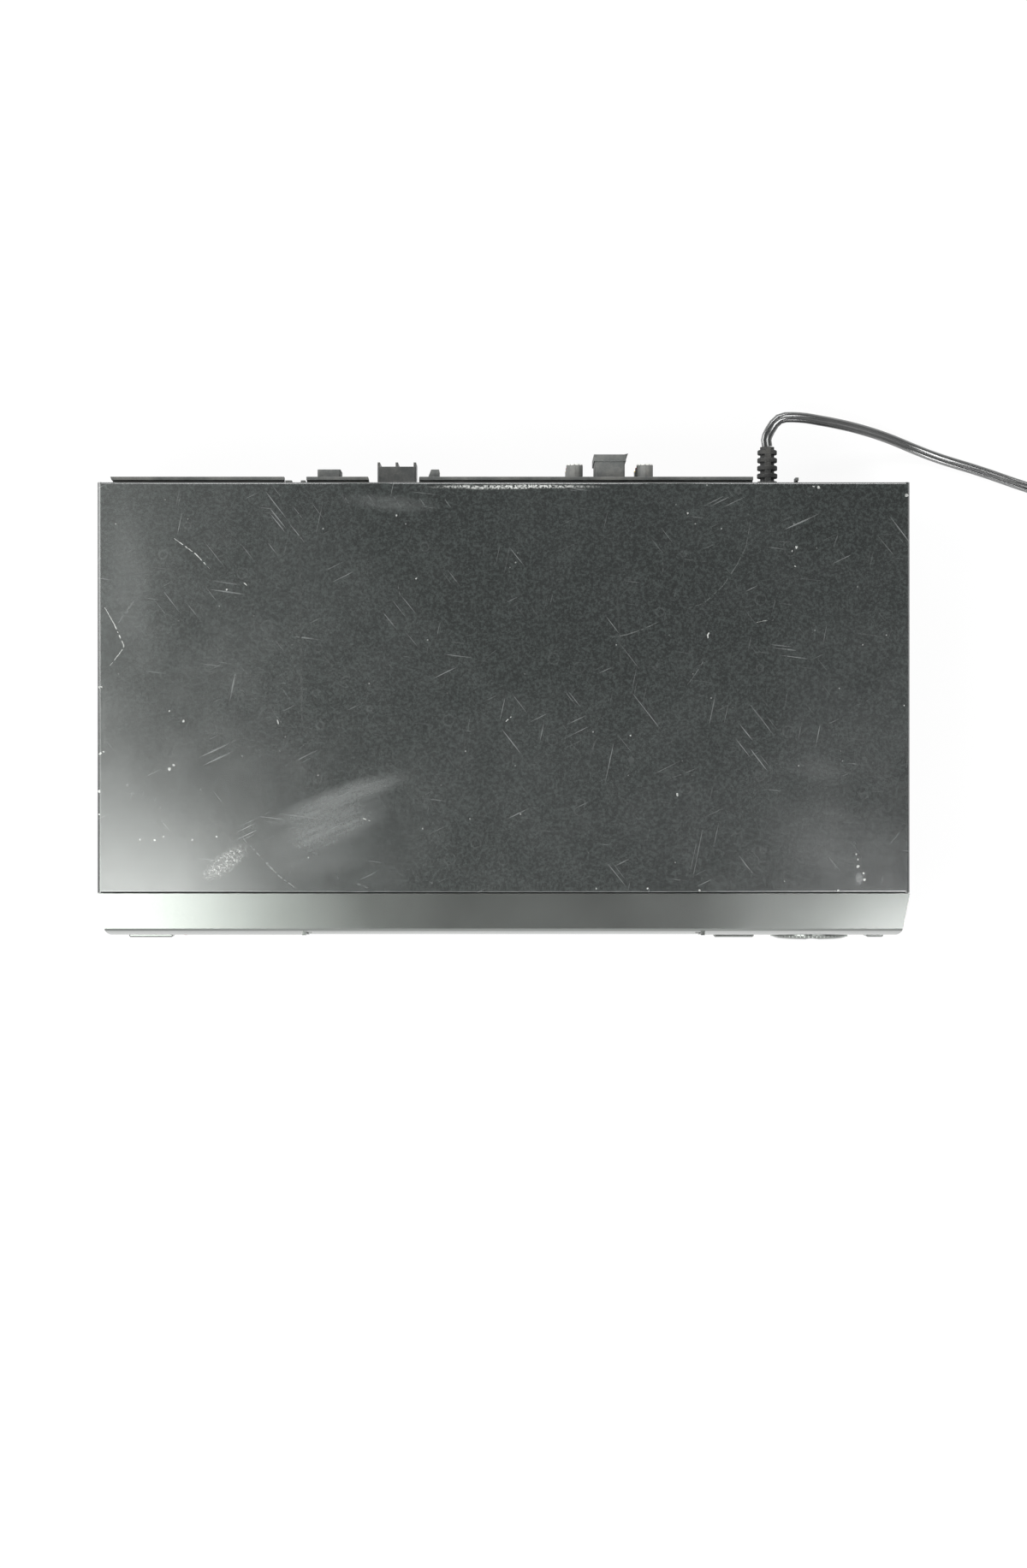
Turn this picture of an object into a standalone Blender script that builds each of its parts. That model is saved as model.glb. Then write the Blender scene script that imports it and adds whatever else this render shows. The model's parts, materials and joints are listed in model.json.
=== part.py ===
# Home video cassette recorder: casing, front controls, cassette lift, tape deck, boards and mains cord.
# Metres. X to the right seen from the front, the front faces -Y, Z up from the surface it stands on.

import math

import bmesh
import bpy
from mathutils import Matrix, Vector

# Whole recorder
COVER_WIDTH = 0.400
COVER_DEPTH = 0.2025
TOP_HEIGHT = 0.094
BEZEL_DEPTH = 0.0185
FACE_REACH = 0.003        # how far the face swells beyond the bezel's top edge
RING_REACH = 0.0055       # the shuttle ring, beyond the same edge
RELIEF_REACH = 0.0235     # the strain relief, beyond the cover's rear edge
SHEET = 0.001             # steel of the cover, chassis and brackets
FIT_GAP = 0.0003          # between pieces that touch
RUN_GAP = 0.0006          # between pieces that slide or turn
OVERRUN = 0.002           # what a cut runs past the wall it goes through
EDGE_BREAK = 0.0006       # softened edges of mouldings

# Top cover
COVER_BOTTOM = 0.0105
COVER_BEND = 0.002
COVER_LIP = 0.003
SIDE_VENT_COUNT = 13
SIDE_VENT_WIDTH = 0.0025
SIDE_VENT_HEIGHT = 0.018
SIDE_VENT_PITCH = 0.006
SIDE_VENT_MARGIN = 0.014  # from the rear edge to the first slot
SIDE_VENT_TOP = 0.018     # from the top down to the slots

# Feet and chassis
FOOT_HEIGHT = 0.0085
FOOT_RADIUS = 0.011
FOOT_TAPER = 0.0015
FOOT_INSET_X = 0.034
FOOT_INSET_Y = 0.030
FOOT_DISH_RADIUS = 0.004
FOOT_DISH_DEPTH = 0.004
CHASSIS_WALL = 0.012
CHASSIS_RIB_WIDTH = 0.006
CHASSIS_RIB_RISE = 0.0008
CHASSIS_VENT_COUNT = 9
CHASSIS_VENT_LENGTH = 0.030
CHASSIS_VENT_WIDTH = 0.003
CHASSIS_VENT_PITCH = 0.008
CHASSIS_VENT_SHARE = 0.36  # of the half width, out to the middle of each group
BOARD_STAND = 0.0042      # height of the bosses under the boards
BOSS_RADIUS = 0.003

# Front bezel
BEZEL_BOTTOM = 0.009
BEZEL_WALL = 0.0025
BEZEL_TAPER = 0.0037      # each end draws in this much from the seam to the front
BEZEL_EDGE = 0.0012
BEZEL_CHIN = 0.004        # the chamfer under the face
FACE_FLAT_HIGH = 0.066    # above this the face curves back to the top edge
FACE_STEPS = 5

# Cassette door
DOOR_WIDTH = 0.1935
DOOR_HEIGHT = 0.0325
DOOR_DROP = 0.0055        # from the cover's top to the door
DOOR_SHEET = 0.0018
DOOR_GAP = 0.0005
DOOR_HINGE_DROP = 0.0018  # from the door's top edge down to its pins
DOOR_PIN_RADIUS = 0.0013
DOOR_PIN_LENGTH = 0.0025
DOOR_RIB = 0.0012
LUG_SHEET = 0.002
LUG_RADIUS = 0.0028

# Display
WINDOW_WIDTH = 0.132
WINDOW_MARGIN = 0.011     # to the moulding's bottom and to the door
WINDOW_SHEET = 0.0016
WINDOW_FLANGE = 0.0015
TUBE_WIDTH = 0.112
TUBE_MARGIN = 0.003       # between the tube's edge and the window's
TUBE_DEPTH = 0.007
TUBE_GLASS = 0.0012

# Buttons
BUTTON_PROUD = 0.0015
BUTTON_TRAVEL = 0.0012
BUTTON_FLANGE = 0.001
BUTTON_STEM = 0.0015
CONTROL_INSET = 0.0455    # from the right side to the middle of the shuttle ring
RING_Z = 0.050
RING_RADIUS = 0.0195
RING_BORE = 0.0132
RING_DOME = 0.0012
RING_FLANGE = 0.0015
DIMPLE_RADIUS = 0.006
DIMPLE_DEPTH = 0.0012
PLAY_DOME = 0.0006
ROW_Z = 0.0205
ROW_PITCH = 0.0155
ROW_BUTTON = (0.0125, 0.0075)
EJECT_INSET = 0.0845
EJECT_Z = 0.059
EJECT_BUTTON = (0.020, 0.009)
POWER_INSET = 0.023
POWER_Z = 0.059
POWER_BUTTON = (0.022, 0.010)
CHANNEL_INSET = 0.0135
CHANNEL_Z = 0.0515
CHANNEL_PITCH = 0.0118
CHANNEL_BUTTON = (0.0085, 0.0085)
JACK_RADIUS = 0.00415
JACK_BORE = 0.0017
JACK_DEPTH = 0.009
FRONT_JACK_INSET = 0.017
FRONT_JACK_Z = 0.026
FRONT_JACK_PITCH = 0.014
FRONT_JACK_COUNT = 3
FRONT_JACK_BODY = 0.0105
BOARD_SHEET = 0.0016
FRONT_BOARD_SET = 0.0125  # behind the face
FRONT_BOARD_SLOT = 0.106  # half width of the gap that the cassette passes through
BOARD_CHIP_SHARE = 0.68    # of the ring's radius, the chips' height
SWITCH_SIZE = 0.006
SWITCH_DEPTH = 0.0036

# Rear panel
PANEL_SHEET = 0.002
LEDGE_REACH = 0.0034
LEDGE_SHELF = 0.0014
LEDGE_RIM = 0.0017
LEDGE_HEIGHT = 0.005
LEDGE_DROP = 0.0072       # from the cover's top to the ledge's rim
LEDGE_SLANT = 0.0022
# ends along X, of half the cover's width
LEDGE_SHARES = ((-0.9725, -0.5425), (-0.4875, -0.3350), (-0.2085, 0.6170))
TAB_SHARES = ((-0.5400, -0.5235), (-0.5015, -0.4900))
TAB_REACH = 0.0016
GUSSET_SPAN = (-0.0397, -0.0320)
GUSSET_REACH = 0.0075
GUSSET_HEIGHT = 0.022
HOOK_SPAN = (0.1442, 0.1459)
HOOK_REACH = 0.003
HOOK_HEIGHT = 0.008
SHROUD_SPAN = (-0.0925, -0.0810)
SHROUD_REACH = 0.0078
SHROUD_DROP = 0.015       # from the cover's top
SHROUD_HEIGHT = 0.017
SHROUD_WALL = 0.0013
SWITCH_TRAVEL = 0.004
SWITCH_KNOB = 0.004
STANDOFF_SPAN = (-0.0638, -0.0443)
STANDOFF_REACH = 0.0118
STANDOFF_BOTTOM = 0.034
STANDOFF_HEIGHT = 0.020
STANDOFF_WALL = 0.0018
STANDOFF_PRONG = 0.0022
STANDOFF_PRONG_SHEET = 0.0013
TERMINAL_X = 0.0528
TERMINAL_WIDTH = 0.0148
TERMINAL_REACH = 0.0152
TERMINAL_DROP = 0.015
TERMINAL_HEIGHT = 0.034
TERMINAL_WALL = 0.0016
TERMINAL_RIM = 0.0006
TERMINAL_RIM_DEPTH = 0.0034
TERMINAL_BARB = 0.0011
AERIAL_RADIUS = 0.0046
AERIAL_BORE = 0.0012
AERIAL_PITCH = 0.017
AERIAL_SHORT = 0.002      # the sockets end this far inside the terminal's mouth
REAR_JACK_DROP = 0.020
REAR_JACK_PITCH = 0.0165
REAR_JACK_COUNT = 3
REAR_JACK_REACH = 0.0105
REAR_JACK_BODY = 0.0125
REAR_VENT_COUNT = 10
REAR_VENT_PITCH = 0.0078
REAR_VENT_WIDTH = 0.003
REAR_VENT_HEIGHT = 0.028
REAR_VENT_X = -0.186
REAR_VENT_BOTTOM = 0.030

# Strain relief, cord and plug
CORD_DIAMETER = 0.0054
CORD_LENGTH = 1.5
CORD_SPACING = 0.0110     # between the points of its free stretch
RELIEF_X = 0.1345
RELIEF_Z = 0.036
RELIEF_FLARE = 0.0073
RELIEF_FLARE_DEPTH = 0.0045
RELIEF_CORE = 0.0040
RELIEF_RIB = 0.0053
RELIEF_RIB_COUNT = 5
RELIEF_RIB_SHARE = 0.55   # of each rib's pitch
RELIEF_NECK = 0.0048
RELIEF_KEEPER = 0.0068
RELIEF_KEEPER_DEPTH = 0.002
COIL_LAYERS = 2
COIL_PITCH = 0.0060       # between neighbouring turns and layers
COIL_WHOLE_TURNS = 7
COIL_STEPS = 24
CLIMB_TURNS = 0.5         # in which the coil rises from one layer to the next
LEAD_SHARES = (0.18, 0.4, 0.6, 0.82, 1.0)
LEAD_RUN = 0.030          # from the coil's last turn to the plug
PLUG_WIDTH = 0.024
PLUG_HEIGHT = 0.014
PLUG_LENGTH = 0.030
PLUG_NOSE = 0.010
PLUG_CORNER = 0.003
PLUG_SHOULDER_SHARE = 0.45
BLADE_WIDTH = 0.0064
BLADE_SHEET = 0.0015
BLADE_LENGTH = 0.0165
BLADE_PITCH = 0.0127

# Deck plate and its legs
DECK_TOP = 0.0292
DECK_SHEET = 0.0012
DECK_HALF = 0.110
DECK_LEAD = 0.008         # the deck's front edge, before the holder's
DECK_ROOM = 0.0212        # between the deck and the rear panel
DECK_FLANGE = 0.005
DECK_LEG = 0.006

# Cassette lift
CASSETTE_HALF = 0.094
CASSETTE_SILL = 0.001     # the cassette's floor, above the door's bottom edge
CASSETTE_HEIGHT = 0.025
LIFT_SHEET = 0.0010
HOLDER_PLAY = 0.0008      # beside and above the cassette
HOLDER_DEPTH = 0.048
HOLDER_LEDGE = 0.021
HOLDER_CLEAR = 0.0013     # between the open door and the holder
HOLDER_STOP = 0.006
HUB_SET = 0.061           # from the reels to the loaded cassette's leading edge
PIN_RADIUS = 0.0015
PIN_INSET = 0.008
SLIDER_BAR = 0.012
SLIDER_RISE = 0.003       # of the cross bar above the holder
SLIDER_BEAD = 0.0008
BRACKET_FOOT = 0.009
TRACK_DROP = 0.0038       # from the holder's top to the slider's pins
BRACKET_RISE = 0.0072     # above those pins
RACK_SHEET = 0.004
TOOTH_MODULE = 0.001
TOOTH_ADDENDUM_SHARE = 0.9
TOOTH_DEDENDUM_SHARE = 1.2
TOOTH_ROOT_SHARE = 0.31
TOOTH_TIP_SHARE = 0.13
GEAR_TEETH = 28
PINION_TEETH = 12
GEAR_HOLE = 0.0024
GEAR_HOLE_COUNT = 4
GEAR_HOLE_SHARE = 0.56     # of the pitch radius, out to the holes
MOTOR_RADIUS = 0.0105
MOTOR_LENGTH = 0.024
MOTOR_CAP = 0.0042
MOTOR_PLATE = 0.0012

# Drum; the place shares run along the deck from its front edge to its rear one
DRUM_PLACE_SHARE = 0.8060
DRUM_BASE_Z = 0.0338
DRUM_RADIUS = 0.031
DRUM_TILT = math.radians(5.9)
LOWER_DRUM_HEIGHT = 0.017
UPPER_DRUM_HEIGHT = 0.0165
DRUM_SHAFT = 0.003
DRUM_GROOVE = 0.0015
HEAD_WINDOW = 0.004
HEAD_COUNT = 4
DRUM_FOOT_RADIUS = 0.005
DRUM_FOOT_SHARE = 0.4      # of the drum's radius, and so on for the next three
DRUM_BASE_SHARE = 0.82
DRUM_RECESS_SHARES = (0.62, 0.58)
DRUM_SCREW_SHARE = 0.75
HEAD_WINDOW_SHARE = 0.7    # of its width, the window's height

# Reels, idler, capstan, pinch roller, guides and heads
REEL_X = 0.0462
REEL_PLACE_SHARE = 0.2356
REEL_RADIUS = 0.0205
REEL_HUB = 0.0085
REEL_SPINDLE = 0.0045
REEL_HEIGHT = 0.0165
REEL_TABLE = 0.0042
REEL_SHAFT = 0.002
REEL_SPLINE = 0.0012
REEL_STEP = 0.012          # radius of the raised step round the hub
IDLER_SET = 0.026          # from the reels forward to its pivot
IDLER_ARM = 0.0225
IDLER_SWING = math.radians(17.0)
IDLER_HEIGHT = 0.003
IDLER_GROOVE_SHARES = (0.75, 0.70, 0.35, 0.30)
ARM_SHEET = 0.0012
ARM_HALF_WIDTH = 0.004
# outlines of the arms, of their half width
IDLER_ARM_SHARES = (0.7, 0.4)
PINCH_ARM_SHARES = (0.8, 0.6, 0.4)
CAPSTAN_X = 0.062
CAPSTAN_PLACE_SHARE = 0.5943
CAPSTAN_RADIUS = 0.002
CAPSTAN_TOP = 0.058
FLYWHEEL_RADIUS = 0.025
FLYWHEEL_SHEET = 0.0055
FLYWHEEL_TOP = 0.0255
FLYWHEEL_RIM_SHARES = (0.80, 0.76)
FLYWHEEL_HUB = 0.006
FLYWHEEL_HUB_SLOPE = 0.0012
BEARING_FLANGE = 0.00825
STATOR_COIL = 0.0039
STATOR_COIL_COUNT = 6
STATOR_COIL_SHARE = 0.6    # of the flywheel's radius, out to each coil
STATOR_STAND_SHARE = 0.8
BEARING_RADIUS = 0.0055
BEARING_TOP = 0.0352
PINCH_SET = (0.026, 0.012)  # from the capstan to the arm's pivot
PINCH_RADIUS = 0.0065
PINCH_CORE = 0.0052
PINCH_ANGLE = math.radians(171.0)
PINCH_REACH = 0.021
PINCH_LOW = 0.036
PINCH_HIGH = 0.054
SLED_START = (0.027, 0.050)  # to the side of the drum's middle, and in front of it
SLED_END = (0.041, 0.013)
SLED_HALF = 0.006
SLED_POST = 0.0028
SLED_STEM = 0.0017
SLED_OUTLINE_SHARES = ((-1, -0.48), (-0.6, -0.8), (1, -0.8), (1, 0.8), (-0.6, 0.8), (-1, 0.48))
SLED_POST_SHARE = 0.2      # of its half length, forward to the post
SLED_POLE_SHARE = 0.62     # and back to the slanted pole
SLED_LEAN = math.radians(4.7)
SLED_COLLAR_SHARE = 1.3    # of the base's height, up to the lower collar
SLED_FLANGE = 0.004
SLED_TOP = 0.056
SLED_NECK = 0.0026
POLE_RADIUS = 0.0015
HEAD_POST = 0.003
ERASE_HEAD = (-0.054, 0.026)  # X, and how far in front of the drum's middle
AUDIO_HEAD = (-0.0095, 0.016)  # from the capstan
HEAD_WIDTH = 0.011
HEAD_DEPTH = 0.008
HEAD_LOW = 0.037
HEAD_HIGH = 0.055

# Boards inside
MAIN_BOARD_RIGHT = -0.113
MAIN_BOARD_MARGIN = 0.006
JACK_BOARD_RIGHT = 0.100
JACK_BOARD_DEPTH = 0.0165
POWER_BOARD_LEFT = 0.114
POWER_BOARD_DEPTH = 0.1182
TUNER_HALF = 0.0095
TUNER_DEPTH = 0.017
TUNER_DROP = 0.010
TUNER_CLEAR = 0.00175     # between the tuner and the jacks beside it
TRANSFORMER_SIZE = (0.046, 0.038, 0.034)
# of the power board, from its left front corner
TRANSFORMER_SHARES = (0.525, 0.272)
RESERVOIR_SHARES = (0.76, 0.62)
POWER_CAN_SHARES = ((0.14, 0.58), (0.30, 0.58), (0.46, 0.62), (0.90, 0.86))
SINK_SHARES = (0.16, 0.70)
SINK_WIDTH_SHARE = 0.4
SINK_FIN_SHARES = (0.1, 0.3, 0.5, 0.7, 0.9)
FUSE_SHARES = (0.50, 0.87)
# of the transformer's height
WINDING_SHARES = (0.20, 0.80)
BOBBIN_SHARES = (0.12, 0.88)
# of the main board's left part
CHIP_SHARES = ((0.30, 0.16), (0.72, 0.22), (0.30, 0.42), (0.70, 0.55), (0.32, 0.74))
CHIP_SIZE_SHARES = (0.30, 0.16)
CAN_SHARES = ((0.12, 0.28), (0.52, 0.32), (0.88, 0.38), (0.15, 0.56), (0.50, 0.64), (0.86, 0.70),
              (0.62, 0.84))
SHIELD_SHARES = ((0.10, 0.34), (0.55, 0.10))
CHIP_HEIGHT = 0.003
FUSE_RADIUS = 0.0024
CAPACITOR_RADIUS = 0.004
CAPACITOR_HEIGHT = 0.013
RESERVOIR_RADIUS = 0.0125
RESERVOIR_HEIGHT = 0.032
SINK_SHEET = 0.002
SINK_HEIGHT = 0.034

# Worked out from the sizes above
OVERALL_DEPTH = RING_REACH + BEZEL_DEPTH + COVER_DEPTH + RELIEF_REACH
BEZEL_TOP_Y = RING_REACH - OVERALL_DEPTH / 2
FACE_Y = BEZEL_TOP_Y - FACE_REACH
SEAM_Y = BEZEL_TOP_Y + BEZEL_DEPTH
REAR_Y = SEAM_Y + COVER_DEPTH
HALF_WIDTH = COVER_WIDTH / 2
INNER_HALF = HALF_WIDTH - SHEET - FIT_GAP
INNER_TOP = TOP_HEIGHT - SHEET - FIT_GAP
PANEL_Y = REAR_Y - SHEET - FIT_GAP
PANEL_INNER_Y = PANEL_Y - PANEL_SHEET
CHASSIS_TOP = FOOT_HEIGHT + FIT_GAP + SHEET
BOARD_BOTTOM = CHASSIS_TOP + BOARD_STAND + FIT_GAP
BOARD_TOP = BOARD_BOTTOM + BOARD_SHEET
RIGHT_INSIDE = HALF_WIDTH - MAIN_BOARD_MARGIN
CONTROL_X = HALF_WIDTH - CONTROL_INSET
DOOR_TOP = TOP_HEIGHT - DOOR_DROP
DOOR_BOTTOM = DOOR_TOP - DOOR_HEIGHT
DOOR_HINGE_Z = DOOR_TOP - DOOR_HINGE_DROP
WINDOW_BOTTOM = BEZEL_BOTTOM + WINDOW_MARGIN
WINDOW_HEIGHT = DOOR_BOTTOM - WINDOW_MARGIN - WINDOW_BOTTOM
LEDGE_TOP = TOP_HEIGHT - LEDGE_DROP
LEDGE_SPANS = [(HALF_WIDTH * left, HALF_WIDTH * right) for left, right in LEDGE_SHARES]
TAB_SPANS = [(HALF_WIDTH * left, HALF_WIDTH * right) for left, right in TAB_SHARES]
SHROUD_TOP = TOP_HEIGHT - SHROUD_DROP
TERMINAL_SPAN = (TERMINAL_X - TERMINAL_WIDTH / 2, TERMINAL_X + TERMINAL_WIDTH / 2)
TERMINAL_TOP = TOP_HEIGHT - TERMINAL_DROP
REAR_JACK_SET = TUNER_HALF + TUNER_CLEAR + REAR_JACK_BODY / 2
REAR_JACK_TOP = TOP_HEIGHT - REAR_JACK_DROP
DOOR_HALF = DOOR_WIDTH / 2
CASSETTE_FLOOR = DOOR_BOTTOM + CASSETTE_SILL
HOLDER_INNER = CASSETTE_HALF + HOLDER_PLAY
HOLDER_OUTER = HOLDER_INNER + LIFT_SHEET
HOLDER_LOW = CASSETTE_FLOOR - LIFT_SHEET
HOLDER_ROOF = CASSETTE_FLOOR + CASSETTE_HEIGHT + HOLDER_PLAY
HOLDER_TOP = HOLDER_ROOF + LIFT_SHEET
HOLDER_PIN_Z = (HOLDER_LOW + HOLDER_TOP) / 2
DROP_TRAVEL = HOLDER_LOW - DECK_TOP - REEL_TABLE - FIT_GAP * 2
TRACK_Z = HOLDER_TOP - TRACK_DROP
SLIDER_INNER = HOLDER_OUTER + RUN_GAP
SLIDER_OUTER = SLIDER_INNER + LIFT_SHEET
BRACKET_INNER = SLIDER_OUTER + RUN_GAP
BRACKET_OUTER = BRACKET_INNER + LIFT_SHEET
BRACKET_LOW = DECK_TOP + FIT_GAP
RACK_INNER = BRACKET_OUTER + RUN_GAP
RACK_OUTER = RACK_INNER + RACK_SHEET
GEAR_RADIUS = GEAR_TEETH * TOOTH_MODULE / 2
PINION_RADIUS = PINION_TEETH * TOOTH_MODULE / 2
RING_FRONT_Y = BEZEL_TOP_Y - RING_REACH
DECK_REAR = PANEL_INNER_Y - DECK_ROOM
POWER_BOARD_FRONT = PANEL_INNER_Y - POWER_BOARD_DEPTH
CORD_RADIUS = CORD_DIAMETER / 2

# Route of the cord from the strain relief to the coil, chosen by hand
CORD_ROUTE = (
    (0.1345, 0.1253, 0.0360),
    (0.1345, 0.1307, 0.0360),
    (0.1359, 0.1356, 0.0358),
    (0.1399, 0.1394, 0.0352),
    (0.1455, 0.1411, 0.0342),
    (0.1520, 0.1409, 0.0325),
    (0.1600, 0.1398, 0.0298),
    (0.1680, 0.1388, 0.0265),
    (0.1760, 0.1377, 0.0227),
    (0.1860, 0.1358, 0.0178),
    (0.1980, 0.1328, 0.0122),
    (0.2090, 0.1291, 0.0078),
    (0.2200, 0.1252, 0.0047),
    (0.2330, 0.1210, 0.0031),
    (0.2480, 0.1165, 0.0028),
    (0.2610, 0.1120, 0.0028),
    (0.2729, 0.1079, 0.0028),
    (0.2870, 0.1031, 0.0028),
    (0.3010, 0.0983, 0.0028),
    (0.3150, 0.0936, 0.0028),
    (0.3265, 0.0897, 0.0028),
)

MATERIALS = {
    "cover_paint": ((0.10, 0.105, 0.105), 0.42, 0.0),
    "silver_plastic": ((0.50, 0.51, 0.50), 0.35, 0.3),
    "black_plastic": ((0.035, 0.035, 0.037), 0.5, 0.0),
    "grey_plastic": ((0.16, 0.16, 0.16), 0.5, 0.0),
    "smoked_window": ((0.02, 0.02, 0.025), 0.08, 0.0),
    "white_plastic": ((0.72, 0.72, 0.68), 0.45, 0.0),
    "brown_board": ((0.30, 0.19, 0.09), 0.6, 0.0),
    "zinc_steel": ((0.55, 0.56, 0.56), 0.35, 1.0),
    "cast_alloy": ((0.62, 0.62, 0.61), 0.4, 1.0),
    "polished_steel": ((0.72, 0.72, 0.72), 0.15, 1.0),
    "copper_winding": ((0.62, 0.32, 0.14), 0.4, 1.0),
    "soft_rubber": ((0.03, 0.03, 0.03), 0.8, 0.0),
    "cord_vinyl": ((0.05, 0.05, 0.05), 0.45, 0.0),
}

AXIS_VECTORS = {"X": Vector((1, 0, 0)), "Y": Vector((0, 1, 0)), "Z": Vector((0, 0, 1))}
AXIS_TURNS = {
    "X": Matrix.Rotation(math.pi / 2, 4, "Y"),
    "Y": Matrix.Rotation(-math.pi / 2, 4, "X"),
    "Z": Matrix.Identity(4),
}
SMOOTH_ANGLE = math.radians(35)
MERGE = 0.000001


def box(low, high):
    size = Vector(high) - Vector(low)
    middle = (Vector(high) + Vector(low)) / 2
    shape = bmesh.new()
    bmesh.ops.create_cube(shape, size=1.0,
                          matrix=Matrix.Translation(middle) @ Matrix.Diagonal((*size, 1.0)))
    return shape


def softened(shape, width=EDGE_BREAK, along=None, segments=1):
    # breaks every edge, or only those along one axis
    chosen = list(shape.edges)
    if along:
        chosen = [edge for edge in chosen
                  if abs((edge.verts[1].co
                          - edge.verts[0].co).normalized().dot(AXIS_VECTORS[along])) > 0.99]
    bmesh.ops.bevel(shape, geom=chosen, offset=width, segments=segments, profile=0.5, affect="EDGES")
    return shape


def prism(outline, axis, start, end):
    # the outline's two coordinates are the other two axes, in X, Y, Z order
    def place(u, v):
        return {"X": (start, u, v), "Y": (u, start, v), "Z": (u, v, start)}[axis]

    shape = bmesh.new()
    face = shape.faces.new([shape.verts.new(place(u, v)) for u, v in outline])
    pushed = bmesh.ops.extrude_face_region(shape, geom=[face])["geom"]
    moved = [item for item in pushed if isinstance(item, bmesh.types.BMVert)]
    bmesh.ops.translate(shape, verts=moved, vec=AXIS_VECTORS[axis] * (end - start))
    bmesh.ops.recalc_face_normals(shape, faces=shape.faces)
    return shape


def turned(profile, centre, axis="Z", segments=16):
    # the profile is (radius, height) points, closed through the axis or on itself
    shape = bmesh.new()
    corners = [shape.verts.new((radius, 0, height)) for radius, height in profile]
    sides = [shape.edges.new(pair) for pair in zip(corners, corners[1:])]
    if profile[0][0] > 0:
        sides.append(shape.edges.new((corners[-1], corners[0])))
    bmesh.ops.spin(shape, geom=corners + sides, cent=(0, 0, 0), axis=(0, 0, 1), angle=2 * math.pi,
                   steps=segments, use_merge=True)
    bmesh.ops.remove_doubles(shape, verts=shape.verts, dist=MERGE)
    bmesh.ops.dissolve_degenerate(shape, edges=shape.edges, dist=MERGE)
    bmesh.ops.recalc_face_normals(shape, faces=shape.faces)
    bmesh.ops.transform(shape, matrix=Matrix.Translation(centre) @ AXIS_TURNS[axis], verts=shape.verts)
    return shape


def rod(centre, axis, radius, start, end, segments=12):
    return turned([(0, start), (radius, start), (radius, end), (0, end)], centre, axis, segments)


def tube(centre, axis, bore, radius, start, end, segments=14):
    return turned([(bore, start), (radius, start), (radius, end), (bore, end)], centre, axis, segments)


def gathered(shapes):
    # several shapes that don't touch, as one tool
    together = bmesh.new()
    for shape in shapes:
        mesh = bpy.data.meshes.new("shape")
        shape.to_mesh(mesh)
        together.from_mesh(mesh)
        bpy.data.meshes.remove(mesh)
    return together


def made_material(name):
    found = bpy.data.materials.get(name)
    if found:
        return found
    colour, roughness, metallic = MATERIALS[name]
    material = bpy.data.materials.new(name)
    material.use_nodes = True
    shader = material.node_tree.nodes["Principled BSDF"]
    shader.inputs["Base Color"].default_value = (*colour, 1.0)
    shader.inputs["Roughness"].default_value = roughness
    shader.inputs["Metallic"].default_value = metallic
    return material


def placed(name, shape, origin, turn):
    # moves the mesh so that the object's own origin is where it turns or slides
    bmesh.ops.translate(shape, verts=shape.verts, vec=-Vector(origin))
    mesh = bpy.data.meshes.new(name)
    shape.to_mesh(mesh)
    mesh.shade_smooth()
    mesh.set_sharp_from_angle(angle=SMOOTH_ANGLE)
    piece = bpy.data.objects.new(name, mesh)
    piece.location = origin
    piece.rotation_euler = turn
    bpy.context.scene.collection.objects.link(piece)
    return piece


def solid(name, material, body, *steps, origin=(0, 0, 0), turn=(0, 0, 0)):
    # one piece: a body, then what is joined to it and cut out of it, in that order
    piece = placed(name, body, origin, turn)
    piece.data.materials.append(made_material(material))
    for number, (action, tool) in enumerate(steps):
        helper = placed(f"{name}_{action}_{number}", tool, origin, turn)
        helper.hide_render = True
        helper.display_type = "WIRE"
        change = piece.modifiers.new(f"{action}_{number}", "BOOLEAN")
        change.operation = {"join": "UNION", "cut": "DIFFERENCE"}[action]
        change.object = helper
        change.solver = "EXACT"
    return piece


def ring_points(count, radius, middle, first=0.0):
    step = 2 * math.pi / count
    return [(middle[0] + radius * math.cos(first + step * k),
             middle[1] + radius * math.sin(first + step * k)) for k in range(count)]



def gear_outline(teeth, middle, first):
    # straight flanks from the root circle to the tip circle; first is the angle of one tooth
    step = 2 * math.pi / teeth
    pitch_radius = teeth * TOOTH_MODULE / 2
    root = pitch_radius - TOOTH_DEDENDUM_SHARE * TOOTH_MODULE
    tip = pitch_radius + TOOTH_ADDENDUM_SHARE * TOOTH_MODULE
    points = []
    for k in range(teeth):
        angle = first + step * k
        for radius, offset in ((root, -TOOTH_ROOT_SHARE), (tip, -TOOTH_TIP_SHARE),
                               (tip, TOOTH_TIP_SHARE), (root, TOOTH_ROOT_SHARE)):
            points.append((middle[0] + radius * math.cos(angle + offset * step),
                           middle[1] + radius * math.sin(angle + offset * step)))
    return points


def face_y(z):
    # the bezel's outer face: flat, then curving back to the top edge
    if z <= FACE_FLAT_HIGH:
        return FACE_Y
    share = (z - FACE_FLAT_HIGH) / (TOP_HEIGHT - BEZEL_EDGE - FACE_FLAT_HIGH)
    return FACE_Y + FACE_REACH * share ** 2


def face_curve(low, high, inset=0.0):
    # points up the face between two heights, set back by inset
    start = max(low, FACE_FLAT_HIGH)
    heights = [start + (high - start) * k / FACE_STEPS for k in range(FACE_STEPS + 1)]
    if low < start:
        heights.insert(0, low)
    return [(face_y(z) + inset, z) for z in heights]


def door_hinge_y():
    return face_y(DOOR_HINGE_Z) + DOOR_SHEET / 2 + DOOR_PIN_RADIUS / 2 + FIT_GAP


def holder_front():
    # the open door hangs just before the holder
    return door_hinge_y() + DOOR_HINGE_Z - DOOR_BOTTOM + DOOR_SHEET + HOLDER_CLEAR


def deck_y(share):
    # a place along the deck, from its front edge to its rear edge
    front = holder_front() - DECK_LEAD
    return front + (DECK_REAR - front) * share


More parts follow.
